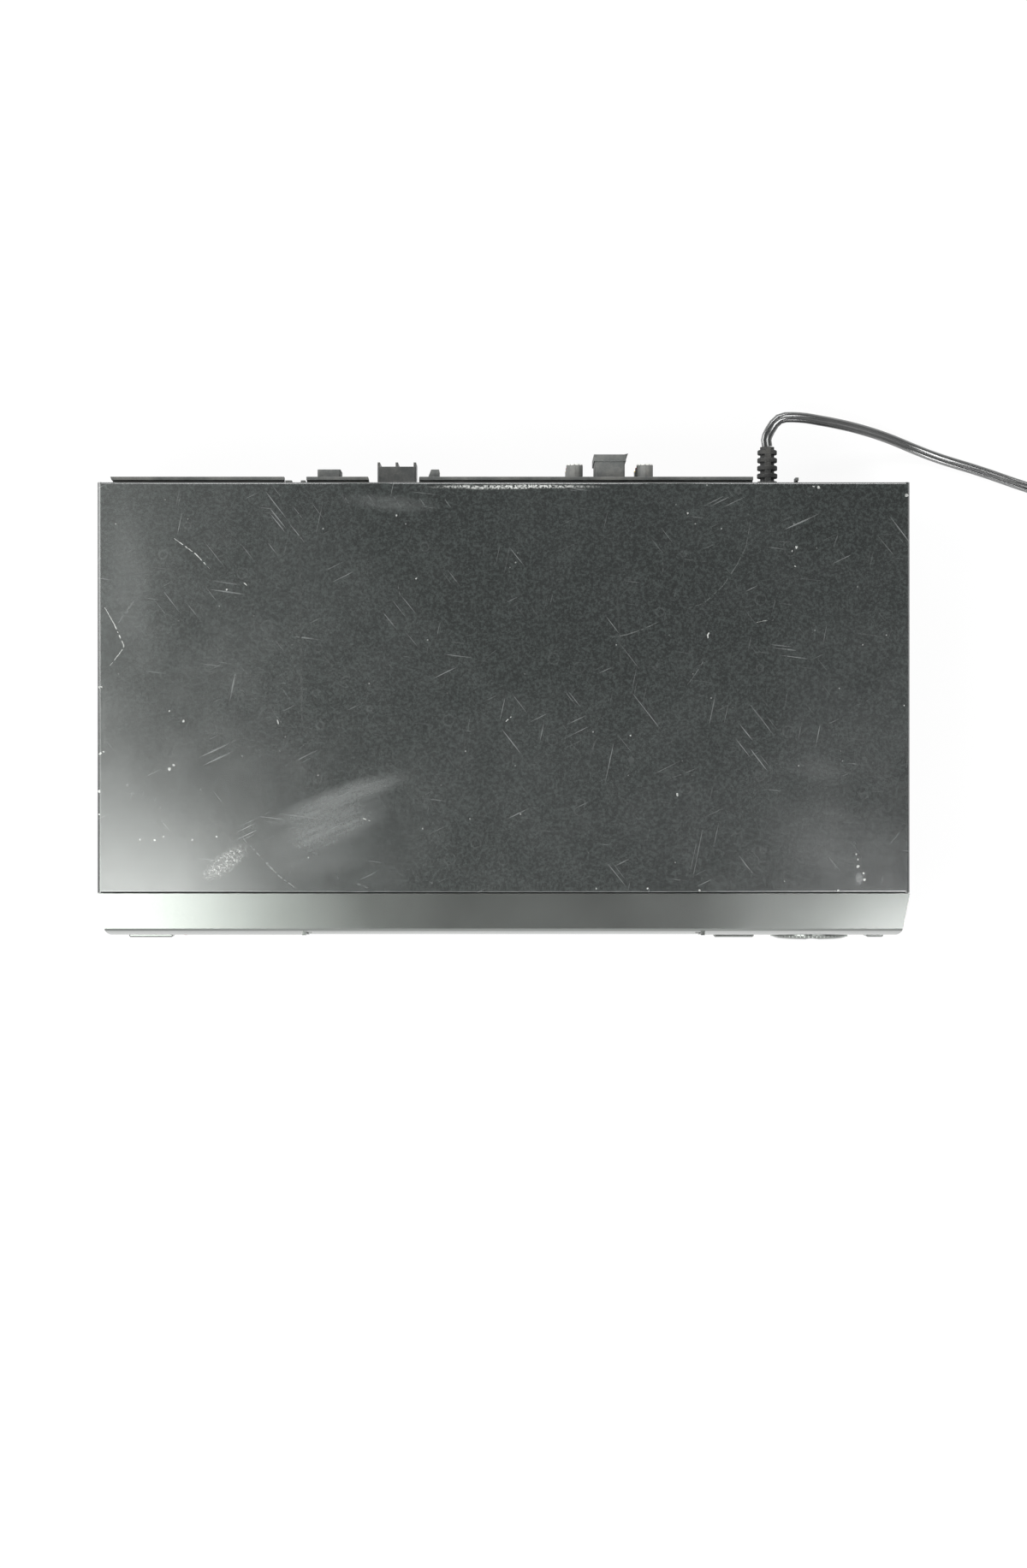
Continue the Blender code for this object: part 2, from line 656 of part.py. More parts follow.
def slide_travel():
    # brings the cassette's hubs over the reels
    return deck_y(REEL_PLACE_SHARE) + HUB_SET - HOLDER_DEPTH - holder_front()


# Casing


def top_cover():
    def bend(x, z, turn):
        steps = 3
        return [(x + COVER_BEND * math.cos(a), z + COVER_BEND * math.sin(a))
                for a in (turn - math.pi / 2 * k / steps for k in range(steps + 1))]

    outer = [(-HALF_WIDTH, COVER_BOTTOM),
             *bend(COVER_BEND - HALF_WIDTH, TOP_HEIGHT - COVER_BEND, math.pi),
             *bend(HALF_WIDTH - COVER_BEND, TOP_HEIGHT - COVER_BEND, math.pi / 2),
             (HALF_WIDTH, COVER_BOTTOM)]
    inner = [(HALF_WIDTH - SHEET, COVER_BOTTOM), (HALF_WIDTH - SHEET, TOP_HEIGHT - SHEET),
             (SHEET - HALF_WIDTH, TOP_HEIGHT - SHEET), (SHEET - HALF_WIDTH, COVER_BOTTOM)]
    front = SEAM_Y + FIT_GAP
    lips = [box((SHEET / 2 - HALF_WIDTH, y, TOP_HEIGHT - COVER_LIP),
                (HALF_WIDTH - SHEET / 2, y + SHEET, TOP_HEIGHT - SHEET / 2))
            for y in (front + MERGE, REAR_Y - SHEET - MERGE)]
    slots = []
    for k in range(SIDE_VENT_COUNT):
        y = REAR_Y - SIDE_VENT_MARGIN - SIDE_VENT_PITCH * k
        high = TOP_HEIGHT - SIDE_VENT_TOP
        slots.append(box((-HALF_WIDTH - OVERRUN, y - SIDE_VENT_WIDTH, high - SIDE_VENT_HEIGHT),
                         (HALF_WIDTH + OVERRUN, y, high)))
    solid("top_cover", "cover_paint", prism(outer + inner, "Y", front, REAR_Y),
          ("join", gathered(lips)), ("cut", gathered(slots)))


def bottom_chassis():
    front = SEAM_Y + FIT_GAP
    rear = PANEL_INNER_Y - FIT_GAP
    low = CHASSIS_TOP - SHEET
    tray = box((-INNER_HALF, front, low), (INNER_HALF, rear, low + CHASSIS_WALL))
    hollow = box((SHEET - INNER_HALF, front + SHEET, CHASSIS_TOP),
                 (INNER_HALF - SHEET, rear - SHEET, low + CHASSIS_WALL + OVERRUN))
    sill = box((-INNER_HALF - OVERRUN, rear - SHEET - OVERRUN, CHASSIS_TOP + BOARD_STAND / 2),
               (INNER_HALF + OVERRUN, rear + OVERRUN, low + CHASSIS_WALL + OVERRUN))
    vents = []
    for side in (-1, 1):
        for k in range(CHASSIS_VENT_COUNT):
            x = side * HALF_WIDTH * CHASSIS_VENT_SHARE + (k - CHASSIS_VENT_COUNT // 2) * CHASSIS_VENT_PITCH
            vents.append(box((x - CHASSIS_VENT_WIDTH / 2, -CHASSIS_VENT_LENGTH / 2, low - OVERRUN),
                             (x + CHASSIS_VENT_WIDTH / 2, CHASSIS_VENT_LENGTH / 2, CHASSIS_TOP + OVERRUN)))
    ribs = [box((FOOT_INSET_X * 2 - HALF_WIDTH, y - CHASSIS_RIB_WIDTH / 2, CHASSIS_TOP - SHEET / 2),
                (HALF_WIDTH - FOOT_INSET_X * 2, y + CHASSIS_RIB_WIDTH / 2, CHASSIS_TOP + CHASSIS_RIB_RISE))
            for y in chassis_rib_places()]
    bosses = [rod((x, y, 0), "Z", BOSS_RADIUS, CHASSIS_TOP - SHEET / 2, CHASSIS_TOP + BOARD_STAND, 8)
              for x, y in board_bosses()]
    solid("bottom_chassis", "zinc_steel", tray, ("cut", hollow), ("cut", sill), ("cut", gathered(vents)),
          ("join", gathered(ribs)), ("join", gathered(bosses)))


def chassis_rib_places():
    # midway between the capstan motor and the deck's legs
    capstan_y = deck_y(CAPSTAN_PLACE_SHARE)
    return ((capstan_y - FLYWHEEL_RADIUS + deck_y(0.0) + DECK_LEG * 2) / 2,
            (capstan_y + FLYWHEEL_RADIUS + DECK_REAR - DECK_LEG * 2) / 2)


def board_bosses():
    left = MAIN_BOARD_MARGIN * 2 - HALF_WIDTH
    right = RIGHT_INSIDE - MAIN_BOARD_MARGIN
    rear = PANEL_INNER_Y - MAIN_BOARD_MARGIN * 2
    front = SEAM_Y + MAIN_BOARD_MARGIN * 2
    return ((left, front), (left, rear), (MAIN_BOARD_RIGHT - MAIN_BOARD_MARGIN, front),
            (JACK_BOARD_RIGHT - MAIN_BOARD_MARGIN, rear), (right, rear),
            (POWER_BOARD_LEFT + MAIN_BOARD_MARGIN, rear), (right, POWER_BOARD_FRONT + MAIN_BOARD_MARGIN),
            (POWER_BOARD_LEFT + MAIN_BOARD_MARGIN, POWER_BOARD_FRONT + MAIN_BOARD_MARGIN))


def feet():
    for across, side in (("left", -1), ("right", 1)):
        for along, y in (("front", SEAM_Y + FOOT_INSET_Y), ("rear", REAR_Y - FOOT_INSET_Y)):
            profile = [(0, FOOT_DISH_DEPTH), (FOOT_DISH_RADIUS, FOOT_DISH_DEPTH), (FOOT_DISH_RADIUS, 0),
                       (FOOT_RADIUS - FOOT_TAPER - EDGE_BREAK, 0),
                       (FOOT_RADIUS - FOOT_TAPER, EDGE_BREAK), (FOOT_RADIUS, FOOT_HEIGHT - EDGE_BREAK),
                       (FOOT_RADIUS - EDGE_BREAK, FOOT_HEIGHT), (0, FOOT_HEIGHT)]
            solid(f"foot_{along}_{across}", "soft_rubber",
                  turned(profile, (side * (HALF_WIDTH - FOOT_INSET_X), y, 0), "Z", 14))


# Front


def bezel_prism(half, seam_y, inset, bottom, chin):
    # the moulding's outer shape, or its inside when inset, with both ends drawn in towards the front
    top = TOP_HEIGHT - inset
    curve = [(y + inset, min(z, top - BEZEL_EDGE))
             for y, z in face_curve(bottom + chin, TOP_HEIGHT - BEZEL_EDGE)]
    outline = [(seam_y, bottom), (FACE_Y + inset + chin, bottom), *curve,
               (BEZEL_TOP_Y + inset + BEZEL_EDGE, top), (seam_y, top)]
    shape = prism(outline, "X", -half, half)
    for side in (-1, 1):
        normal = Vector((side * BEZEL_DEPTH, -BEZEL_TAPER, 0)).normalized()
        bmesh.ops.bisect_plane(shape, geom=shape.verts[:] + shape.edges[:] + shape.faces[:],
                               plane_co=(side * (HALF_WIDTH - inset), SEAM_Y, 0), plane_no=normal,
                               clear_outer=True)
        bmesh.ops.holes_fill(shape, edges=[edge for edge in shape.edges if edge.is_boundary])
    bmesh.ops.recalc_face_normals(shape, faces=shape.faces)
    return shape


def button_places():
    # name: centre x, centre z, (width, height)
    row = {name: (CONTROL_X + ROW_PITCH * k, ROW_Z, ROW_BUTTON)
           for name, k in (("rewind", -2), ("stop", -1), ("pause", 0), ("forward", 1), ("record", 2))}
    channel_x = HALF_WIDTH - CHANNEL_INSET
    return {"power": (POWER_INSET - HALF_WIDTH, POWER_Z, POWER_BUTTON),
            "eject": (HALF_WIDTH - EJECT_INSET, EJECT_Z, EJECT_BUTTON),
            "channel_up": (channel_x, CHANNEL_Z + CHANNEL_PITCH / 2, CHANNEL_BUTTON),
            "channel_down": (channel_x, CHANNEL_Z - CHANNEL_PITCH / 2, CHANNEL_BUTTON), **row}


def plate(x, z, size, y0, y1, more=0.0):
    half_x, half_z = size[0] / 2 + more, size[1] / 2 + more
    return box((x - half_x, y0, z - half_z), (x + half_x, y1, z + half_z))


def front_jack_places():
    return [(FRONT_JACK_INSET - HALF_WIDTH + FRONT_JACK_PITCH * k, FRONT_JACK_Z)
            for k in range(FRONT_JACK_COUNT)]


def front_bezel():
    shell = bezel_prism(HALF_WIDTH, SEAM_Y, 0.0, BEZEL_BOTTOM, BEZEL_CHIN)
    inside = bezel_prism(HALF_WIDTH, SEAM_Y + OVERRUN, BEZEL_WALL, BEZEL_BOTTOM + BEZEL_WALL, BEZEL_CHIN)
    through = (FACE_Y - OVERRUN, FACE_Y + BEZEL_WALL + OVERRUN)
    door = box((-DOOR_HALF - DOOR_GAP, FACE_Y - OVERRUN, DOOR_BOTTOM - DOOR_GAP),
               (DOOR_HALF + DOOR_GAP, BEZEL_TOP_Y + BEZEL_WALL + OVERRUN, DOOR_TOP + DOOR_GAP))
    window = box((-WINDOW_WIDTH / 2 - FIT_GAP, through[0], WINDOW_BOTTOM - FIT_GAP),
                 (WINDOW_WIDTH / 2 + FIT_GAP, through[1], WINDOW_BOTTOM + WINDOW_HEIGHT + FIT_GAP))
    holes = [plate(x, z, size, *through, RUN_GAP) for x, z, size in button_places().values()]
    holes += [rod((x, 0, z), "Y", JACK_RADIUS + RUN_GAP, *through) for x, z in front_jack_places()]
    holes.append(rod((CONTROL_X, 0, RING_Z), "Y", RING_RADIUS + RUN_GAP, *through, 28))
    lugs = []
    bores = []
    for side in (-1, 1):
        x = side * (DOOR_HALF + DOOR_GAP + LUG_SHEET / 2)
        y = door_hinge_y()
        lugs.append(box((x - LUG_SHEET / 2, y - LUG_RADIUS, DOOR_HINGE_Z - LUG_RADIUS),
                        (x + LUG_SHEET / 2, y + LUG_RADIUS, TOP_HEIGHT - BEZEL_WALL / 2)))
        bores.append(rod((0, y, DOOR_HINGE_Z), "X", DOOR_PIN_RADIUS + FIT_GAP, x - LUG_SHEET,
                         x + LUG_SHEET, 10))
    solid("front_bezel", "silver_plastic", shell, ("cut", inside), ("join", gathered(lugs)),
          ("cut", gathered([door, window, *holes])), ("cut", gathered(bores)))


def cassette_door():
    outer = face_curve(DOOR_BOTTOM, DOOR_TOP, FIT_GAP)
    inner = [(y + DOOR_SHEET, z) for y, z in reversed(outer)]
    hinge = (0, door_hinge_y(), DOOR_HINGE_Z)
    pins = [rod((0, hinge[1], DOOR_HINGE_Z), "X", DOOR_PIN_RADIUS,
                *sorted((side * (DOOR_HALF - DOOR_PIN_LENGTH), side * (DOOR_HALF + DOOR_PIN_LENGTH))),
                10) for side in (-1, 1)]
    ears = [box((min(a, b), FACE_Y + DOOR_SHEET, DOOR_HINGE_Z - DOOR_PIN_RADIUS),
                (max(a, b), hinge[1] + DOOR_PIN_RADIUS, DOOR_HINGE_Z + DOOR_PIN_RADIUS))
            for a, b in ((side * (DOOR_HALF - LUG_SHEET), side * DOOR_HALF) for side in (-1, 1))]
    rib_low = DOOR_BOTTOM + DOOR_SHEET
    rib = box((LUG_SHEET * 2 - DOOR_HALF, FACE_Y + DOOR_SHEET / 2, rib_low),
              (DOOR_HALF - LUG_SHEET * 2, FACE_Y + DOOR_SHEET + DOOR_RIB, rib_low + DOOR_RIB))
    solid("cassette_door", "silver_plastic", prism(outer + inner, "X", -DOOR_HALF, DOOR_HALF),
          ("join", gathered(ears)), ("join", gathered(pins)), ("join", rib), origin=hinge)


def display():
    half = WINDOW_WIDTH / 2
    high = WINDOW_BOTTOM + WINDOW_HEIGHT
    behind = FACE_Y + BEZEL_WALL + FIT_GAP
    glass = softened(box((-half, FACE_Y + FIT_GAP, WINDOW_BOTTOM),
                         (half, behind + WINDOW_SHEET / 2, high)), EDGE_BREAK / 2, "X")
    flange = box((-half - WINDOW_FLANGE, behind, WINDOW_BOTTOM - WINDOW_FLANGE),
                 (half + WINDOW_FLANGE, behind + WINDOW_SHEET, high + WINDOW_FLANGE))
    hollow = box((WINDOW_SHEET - half, FACE_Y + WINDOW_SHEET, WINDOW_BOTTOM + WINDOW_SHEET),
                 (half - WINDOW_SHEET, behind + WINDOW_SHEET + OVERRUN, high - WINDOW_SHEET))
    solid("display_window", "smoked_window", glass, ("join", flange), ("cut", hollow))
    board_y = FACE_Y + FRONT_BOARD_SET
    middle = WINDOW_BOTTOM + WINDOW_HEIGHT / 2
    tube_box = softened(plate(0, middle, (TUBE_WIDTH, WINDOW_HEIGHT - TUBE_MARGIN * 2),
                              board_y - TUBE_DEPTH, board_y - FIT_GAP), TUBE_GLASS)
    tip = rod((0, board_y - TUBE_DEPTH / 2, middle), "X", TUBE_GLASS, TUBE_WIDTH / 2 - TUBE_GLASS,
              TUBE_WIDTH / 2 + TUBE_GLASS * 2, 8)
    solid("display_tube", "smoked_window", tube_box, ("join", tip))


def buttons():
    back = FACE_Y + BEZEL_WALL + FIT_GAP
    stem_end = FACE_Y + FRONT_BOARD_SET - SWITCH_DEPTH - BUTTON_TRAVEL - FIT_GAP
    for name, (x, z, size) in button_places().items():
        cap = softened(plate(x, z, size, FACE_Y - BUTTON_PROUD, back + BUTTON_FLANGE / 2), EDGE_BREAK)
        flange = plate(x, z, size, back, back + BUTTON_FLANGE, RUN_GAP * 2)
        stem = rod((x, 0, z), "Y", BUTTON_STEM, back + BUTTON_FLANGE / 2, stem_end, 8)
        solid(f"{name}_button", "silver_plastic", cap, ("join", flange), ("join", stem),
              origin=(x, FACE_Y, z))
    bore = RING_BORE - RUN_GAP
    crown = RING_FRONT_Y + RING_DOME
    profile = [(0, crown - PLAY_DOME), (bore / 2, crown - PLAY_DOME / 2),
               (bore - EDGE_BREAK, crown + PLAY_DOME / 2), (bore, crown + PLAY_DOME / 2 + EDGE_BREAK),
               (bore, back + BUTTON_FLANGE), (BUTTON_STEM, back + BUTTON_FLANGE),
               (BUTTON_STEM, stem_end), (0, stem_end)]
    solid("play_button", "silver_plastic", turned(profile, (CONTROL_X, 0, RING_Z), "Y", 22),
          origin=(CONTROL_X, FACE_Y, RING_Z))


def shuttle_ring():
    back = FACE_Y + BEZEL_WALL + FIT_GAP
    edge = RING_FRONT_Y + RING_DOME
    middle = (RING_BORE + RING_RADIUS) / 2
    profile = [(RING_BORE, back + RING_FLANGE), (RING_BORE, edge),
               (RING_BORE + EDGE_BREAK, RING_FRONT_Y + RING_DOME / 4), (middle, RING_FRONT_Y),
               (RING_RADIUS - EDGE_BREAK * 2, RING_FRONT_Y + RING_DOME / 2),
               (RING_RADIUS, edge + EDGE_BREAK), (RING_RADIUS, back), (RING_RADIUS + RING_FLANGE, back),
               (RING_RADIUS + RING_FLANGE, back + RING_FLANGE)]
    dimple = bmesh.new()
    bmesh.ops.create_icosphere(dimple, subdivisions=2, radius=DIMPLE_RADIUS,
                               matrix=Matrix.Translation((CONTROL_X,
            RING_FRONT_Y + DIMPLE_DEPTH - DIMPLE_RADIUS, RING_Z + middle)))
    solid("shuttle_ring", "silver_plastic", turned(profile, (CONTROL_X, 0, RING_Z), "Y", 24),
          ("cut", dimple), origin=(CONTROL_X, FACE_Y, RING_Z))


def jack_barrels(places, y_face, y_body, axis_sign):
    # barrels that point along -Y or +Y, each with its blind bore
    barrels = []
    bores = []
    for x, z in places:
        barrels.append(turned([(0, min(y_face, y_body)), (JACK_RADIUS, min(y_face, y_body)),
                               (JACK_RADIUS, max(y_face, y_body)), (0, max(y_face, y_body))], (x, 0, z),
                              "Y", 12))
        ends = sorted((y_face + axis_sign * OVERRUN, y_face - axis_sign * JACK_DEPTH))
        bores.append(rod((x, 0, z), "Y", JACK_BORE, *ends, 8))
    return barrels, bores


def front_board():
    y = FACE_Y + FRONT_BOARD_SET
    edge = HALF_WIDTH - BEZEL_TAPER - BEZEL_WALL - FIT_GAP * 4
    low = BEZEL_BOTTOM + BEZEL_WALL + FIT_GAP * 3
    high = DOOR_TOP - OVERRUN
    sill = DOOR_BOTTOM - OVERRUN * 2
    outline = [(-edge, low), (edge, low), (edge, high), (FRONT_BOARD_SLOT, high),
               (FRONT_BOARD_SLOT, sill), (-FRONT_BOARD_SLOT, sill), (-FRONT_BOARD_SLOT, high),
               (-edge, high)]
    places = [(x, z) for x, z, _ in button_places().values()] + [(CONTROL_X, RING_Z)]
    switches = [plate(x, z, (SWITCH_SIZE, SWITCH_SIZE), y - SWITCH_DEPTH, y + BOARD_SHEET / 2)
                for x, z in places]
    chip_high = RING_RADIUS * BOARD_CHIP_SHARE
    packages = [plate(x, z, (width, chip_high), y + BOARD_SHEET / 2, y + BOARD_SHEET + CHIP_HEIGHT)
                for x, z, width in ((-CONTROL_X, RING_Z, RING_RADIUS),
                                    (0, (low + sill) / 2, RING_RADIUS * 2))]
    solid("front_board", "brown_board", prism(outline, "Y", y, y + BOARD_SHEET),
          ("join", gathered(switches)), ("join", gathered(packages)))


def front_av_jacks():
    places = front_jack_places()
    y_body = FACE_Y + BEZEL_WALL + FIT_GAP * 2
    y_back = FACE_Y + FRONT_BOARD_SET - FIT_GAP
    half = FRONT_JACK_BODY / 2
    body = softened(box((places[0][0] - half, y_body, FRONT_JACK_Z - half),
                        (places[-1][0] + half, y_back, FRONT_JACK_Z + half)), EDGE_BREAK)
    barrels, bores = jack_barrels(places, FACE_Y + FIT_GAP, y_body + OVERRUN, -1)
    solid("front_av_jacks", "black_plastic", body, ("join", gathered(barrels)), ("cut", gathered(bores)))


# Rear


def panel_rod(x, z, radius, segments=12):
    return rod((x, 0, z), "Y", radius, PANEL_INNER_Y - OVERRUN, PANEL_Y + OVERRUN, segments)


def rear_jack_columns():
    return TERMINAL_X - REAR_JACK_SET, TERMINAL_X + REAR_JACK_SET


def rear_jack_places(x):
    return [(x, REAR_JACK_TOP - REAR_JACK_PITCH * k) for k in range(REAR_JACK_COUNT)]


def aerial_places():
    middle = TERMINAL_TOP - TERMINAL_HEIGHT / 2
    return [(TERMINAL_X, middle + AERIAL_PITCH / 2), (TERMINAL_X, middle - AERIAL_PITCH / 2)]


def sleeve(span, top, height, reach, wall):
    # an open-mouthed box standing out of the panel, and the cut that empties it
    low = top - height
    outside = softened(box((span[0], PANEL_Y - PANEL_SHEET / 2, low), (span[1], REAR_Y + reach, top)),
                       EDGE_BREAK, "Y")
    inside = box((span[0] + wall, PANEL_INNER_Y - OVERRUN, low + wall),
                 (span[1] - wall, REAR_Y + reach + OVERRUN, top - wall))
    return outside, inside


def ledge_shape(span, reach, slant_left, slant_right):
    root = PANEL_Y - PANEL_SHEET / 2
    outline = [(span[0] + slant_left, root), (span[1] - slant_right, root), (span[1], REAR_Y + reach),
               (span[0], REAR_Y + reach)]
    return prism(outline, "Z", LEDGE_TOP - LEDGE_HEIGHT, LEDGE_TOP)


def rear_panel():
    low = CHASSIS_TOP + FIT_GAP
    back = box((-INNER_HALF, PANEL_INNER_Y, low), (INNER_HALF, PANEL_Y, INNER_TOP))
    ledges = [ledge_shape(LEDGE_SPANS[0], LEDGE_REACH, LEDGE_SLANT, 0.0),
              ledge_shape(LEDGE_SPANS[1], LEDGE_REACH, 0.0, -LEDGE_SLANT / 2),
              ledge_shape(LEDGE_SPANS[2], LEDGE_REACH, -LEDGE_SLANT / 4, 0.0)]
    tabs = [ledge_shape(span, TAB_REACH, 0.0, 0.0) for span in TAB_SPANS]
    top = LEDGE_TOP
    troughs = [box((span[0] - OVERRUN / 4, PANEL_Y + FIT_GAP, top - LEDGE_HEIGHT + LEDGE_SHELF),
                   (span[1] + OVERRUN / 4, REAR_Y + LEDGE_REACH - LEDGE_RIM, top + OVERRUN))
               for span in LEDGE_SPANS]
    gusset = prism([(GUSSET_SPAN[0], PANEL_Y - PANEL_SHEET / 2),
                    (GUSSET_SPAN[1], PANEL_Y - PANEL_SHEET / 2), (GUSSET_SPAN[1], REAR_Y + GUSSET_REACH),
                    (GUSSET_SPAN[0] + GUSSET_REACH / 2, REAR_Y + GUSSET_REACH)], "Z",
                   top - GUSSET_HEIGHT, top - LEDGE_HEIGHT - FIT_GAP)
    hook = prism([(PANEL_Y - PANEL_SHEET / 2, top - HOOK_HEIGHT),
                  (REAR_Y + HOOK_REACH, top - HOOK_HEIGHT), (REAR_Y + HOOK_REACH, top),
                  (REAR_Y + HOOK_REACH / 2, top), (REAR_Y + HOOK_REACH / 2, top - HOOK_HEIGHT / 2),
                  (PANEL_Y - PANEL_SHEET / 2, top - HOOK_HEIGHT / 2)], "X", *HOOK_SPAN)
    shroud, shroud_hole = sleeve(SHROUD_SPAN, SHROUD_TOP, SHROUD_HEIGHT, SHROUD_REACH, SHROUD_WALL)
    terminal, terminal_hole = sleeve(TERMINAL_SPAN, TERMINAL_TOP, TERMINAL_HEIGHT, TERMINAL_REACH,
                                     TERMINAL_WALL)
    mouth_y = REAR_Y + TERMINAL_REACH
    rim = box((TERMINAL_SPAN[0] - TERMINAL_RIM, mouth_y - TERMINAL_RIM_DEPTH,
               TERMINAL_TOP - TERMINAL_HEIGHT - TERMINAL_RIM),
              (TERMINAL_SPAN[1] + TERMINAL_RIM, mouth_y + MERGE, TERMINAL_TOP + TERMINAL_RIM))
    barb = prism([(TERMINAL_SPAN[1], mouth_y - TERMINAL_BARB),
                  (TERMINAL_SPAN[1] + TERMINAL_RIM + TERMINAL_BARB, mouth_y + TERMINAL_BARB / 2),
                  (TERMINAL_SPAN[1] - TERMINAL_RIM, mouth_y + MERGE * 2)], "Z",
                 TERMINAL_TOP - TERMINAL_HEIGHT, TERMINAL_TOP)
    standoff, standoff_hole = sleeve(STANDOFF_SPAN, STANDOFF_BOTTOM + STANDOFF_HEIGHT, STANDOFF_HEIGHT,
                                     STANDOFF_REACH, STANDOFF_WALL)
    prongs = []
    for x in (STANDOFF_SPAN[0], sum(STANDOFF_SPAN) / 2 - STANDOFF_PRONG_SHEET / 2,
              STANDOFF_SPAN[1] - STANDOFF_PRONG_SHEET):
        prongs.append(box((x + MERGE, PANEL_Y - PANEL_SHEET / 2, STANDOFF_BOTTOM + EDGE_BREAK),
                          (x + STANDOFF_PRONG_SHEET - MERGE, REAR_Y + STANDOFF_REACH + STANDOFF_PRONG,
                           STANDOFF_BOTTOM + STANDOFF_HEIGHT - EDGE_BREAK)))
    round_holes = [panel_rod(x, z, JACK_RADIUS + FIT_GAP) for column in rear_jack_columns()
                   for x, z in rear_jack_places(column)]
    round_holes.append(panel_rod(RELIEF_X, RELIEF_Z, RELIEF_NECK + FIT_GAP))
    vents = [box((REAR_VENT_X + REAR_VENT_PITCH * k, PANEL_INNER_Y - OVERRUN, REAR_VENT_BOTTOM),
                 (REAR_VENT_X + REAR_VENT_PITCH * k + REAR_VENT_WIDTH, PANEL_Y + OVERRUN,
                  REAR_VENT_BOTTOM + REAR_VENT_HEIGHT)) for k in range(REAR_VENT_COUNT)]
    solid("rear_panel", "black_plastic", back, ("join", gathered(ledges + tabs)),
          ("cut", gathered(troughs)), ("join", gusset), ("join", hook),
          ("join", gathered([shroud, terminal, standoff])), ("join", rim), ("join", barb),
          ("cut", gathered([shroud_hole, terminal_hole, standoff_hole])), ("join", gathered(prongs)),
          ("cut", gathered(round_holes + vents)))


def channel_switch():
    # a slide switch across the shroud: block, then the knob that moves in X
    middle = sum(SHROUD_SPAN) / 2
    z = SHROUD_TOP - SHROUD_HEIGHT / 2
    half = (SHROUD_SPAN[1] - SHROUD_SPAN[0]) / 2 - SHROUD_WALL - FIT_GAP
    height = SWITCH_KNOB / 2
    y = PANEL_Y
    base_half = SHROUD_HEIGHT / 2 - SHROUD_WALL - FIT_GAP
    base = box((middle - half, PANEL_INNER_Y + FIT_GAP, z - base_half), (middle + half, y, z + base_half))
    slot = box((middle - SWITCH_TRAVEL / 2 - SWITCH_KNOB / 2 - RUN_GAP / 2, y - SWITCH_KNOB / 4,
                z - height - FIT_GAP), (middle + SWITCH_TRAVEL / 2 + SWITCH_KNOB / 2 + RUN_GAP / 2,
                                        y + OVERRUN, z + height + FIT_GAP))
    solid("channel_switch", "zinc_steel", base, ("cut", slot))
    x = middle - SWITCH_TRAVEL / 2
    root = y - SWITCH_KNOB / 4 + FIT_GAP
    knob = softened(box((x - SWITCH_KNOB / 2, root, z - height),
                        (x + SWITCH_KNOB / 2, REAR_Y + SWITCH_KNOB / 2, z + height)), EDGE_BREAK / 2)
    solid("channel_knob", "white_plastic", knob, origin=(x, y, z))


def rear_jacks():
    for name, x in zip(("av_input_jacks", "av_output_jacks"), rear_jack_columns()):
        places = rear_jack_places(x)
        half = REAR_JACK_BODY / 2
        y_back = PANEL_INNER_Y - FIT_GAP
        body = softened(box((x - half, y_back - REAR_JACK_BODY, BOARD_TOP + FIT_GAP),
                            (x + half, y_back, REAR_JACK_TOP + half)), EDGE_BREAK)
        barrels, bores = jack_barrels(places, REAR_Y + REAR_JACK_REACH, y_back - OVERRUN, 1)
        solid(name, "grey_plastic", body, ("join", gathered(barrels)), ("cut", gathered(bores)))


def tuner_module():
    y_back = PANEL_INNER_Y - FIT_GAP
    can = softened(box((TERMINAL_X - TUNER_HALF, y_back - TUNER_DEPTH, BOARD_TOP + FIT_GAP),
                       (TERMINAL_X + TUNER_HALF, y_back, TOP_HEIGHT - TUNER_DROP)), EDGE_BREAK)
    mouth = REAR_Y + TERMINAL_REACH
    sockets = [rod((x, 0, z), "Y", AERIAL_RADIUS, y_back - OVERRUN, mouth - AERIAL_SHORT, 12)
               for x, z in aerial_places()]
    nuts = [rod((x, 0, z), "Y", AERIAL_RADIUS + EDGE_BREAK, PANEL_Y, PANEL_Y + OVERRUN, 6)
            for x, z in aerial_places()]
    bores = [rod((x, 0, z), "Y", AERIAL_BORE, PANEL_Y, mouth, 10) for x, z in aerial_places()]
    solid("tuner_module", "zinc_steel", can, ("join", gathered(sockets)), ("join", gathered(nuts)),
          ("cut", gathered(bores)))


# Strain relief, cord, coil and plug


def strain_relief():
    tip = REAR_Y + RELIEF_REACH
    ribs_start = PANEL_Y + RELIEF_FLARE_DEPTH + FIT_GAP
    pitch = (tip - ribs_start) / RELIEF_RIB_COUNT
    profile = [(0, PANEL_INNER_Y - FIT_GAP - RELIEF_KEEPER_DEPTH),
               (RELIEF_KEEPER, PANEL_INNER_Y - FIT_GAP - RELIEF_KEEPER_DEPTH),
               (RELIEF_KEEPER, PANEL_INNER_Y - FIT_GAP), (RELIEF_NECK, PANEL_INNER_Y - FIT_GAP),
               (RELIEF_NECK, PANEL_Y + FIT_GAP), (RELIEF_FLARE, PANEL_Y + FIT_GAP),
               (RELIEF_FLARE, PANEL_Y + RELIEF_FLARE_DEPTH / 2), (RELIEF_RIB, ribs_start)]
    for k in range(RELIEF_RIB_COUNT):
        start = ribs_start + pitch * k
        profile += [(RELIEF_RIB, start), (RELIEF_RIB, start + pitch * RELIEF_RIB_SHARE),
                    (RELIEF_CORE, start + pitch * RELIEF_RIB_SHARE), (RELIEF_CORE, start + pitch)]
    profile = [point for k, point in enumerate(profile) if k == 0 or point != profile[k - 1]]
    solid("strain_relief", "soft_rubber", turned([*profile, (0, tip)], (RELIEF_X, 0, RELIEF_Z), "Y", 14))


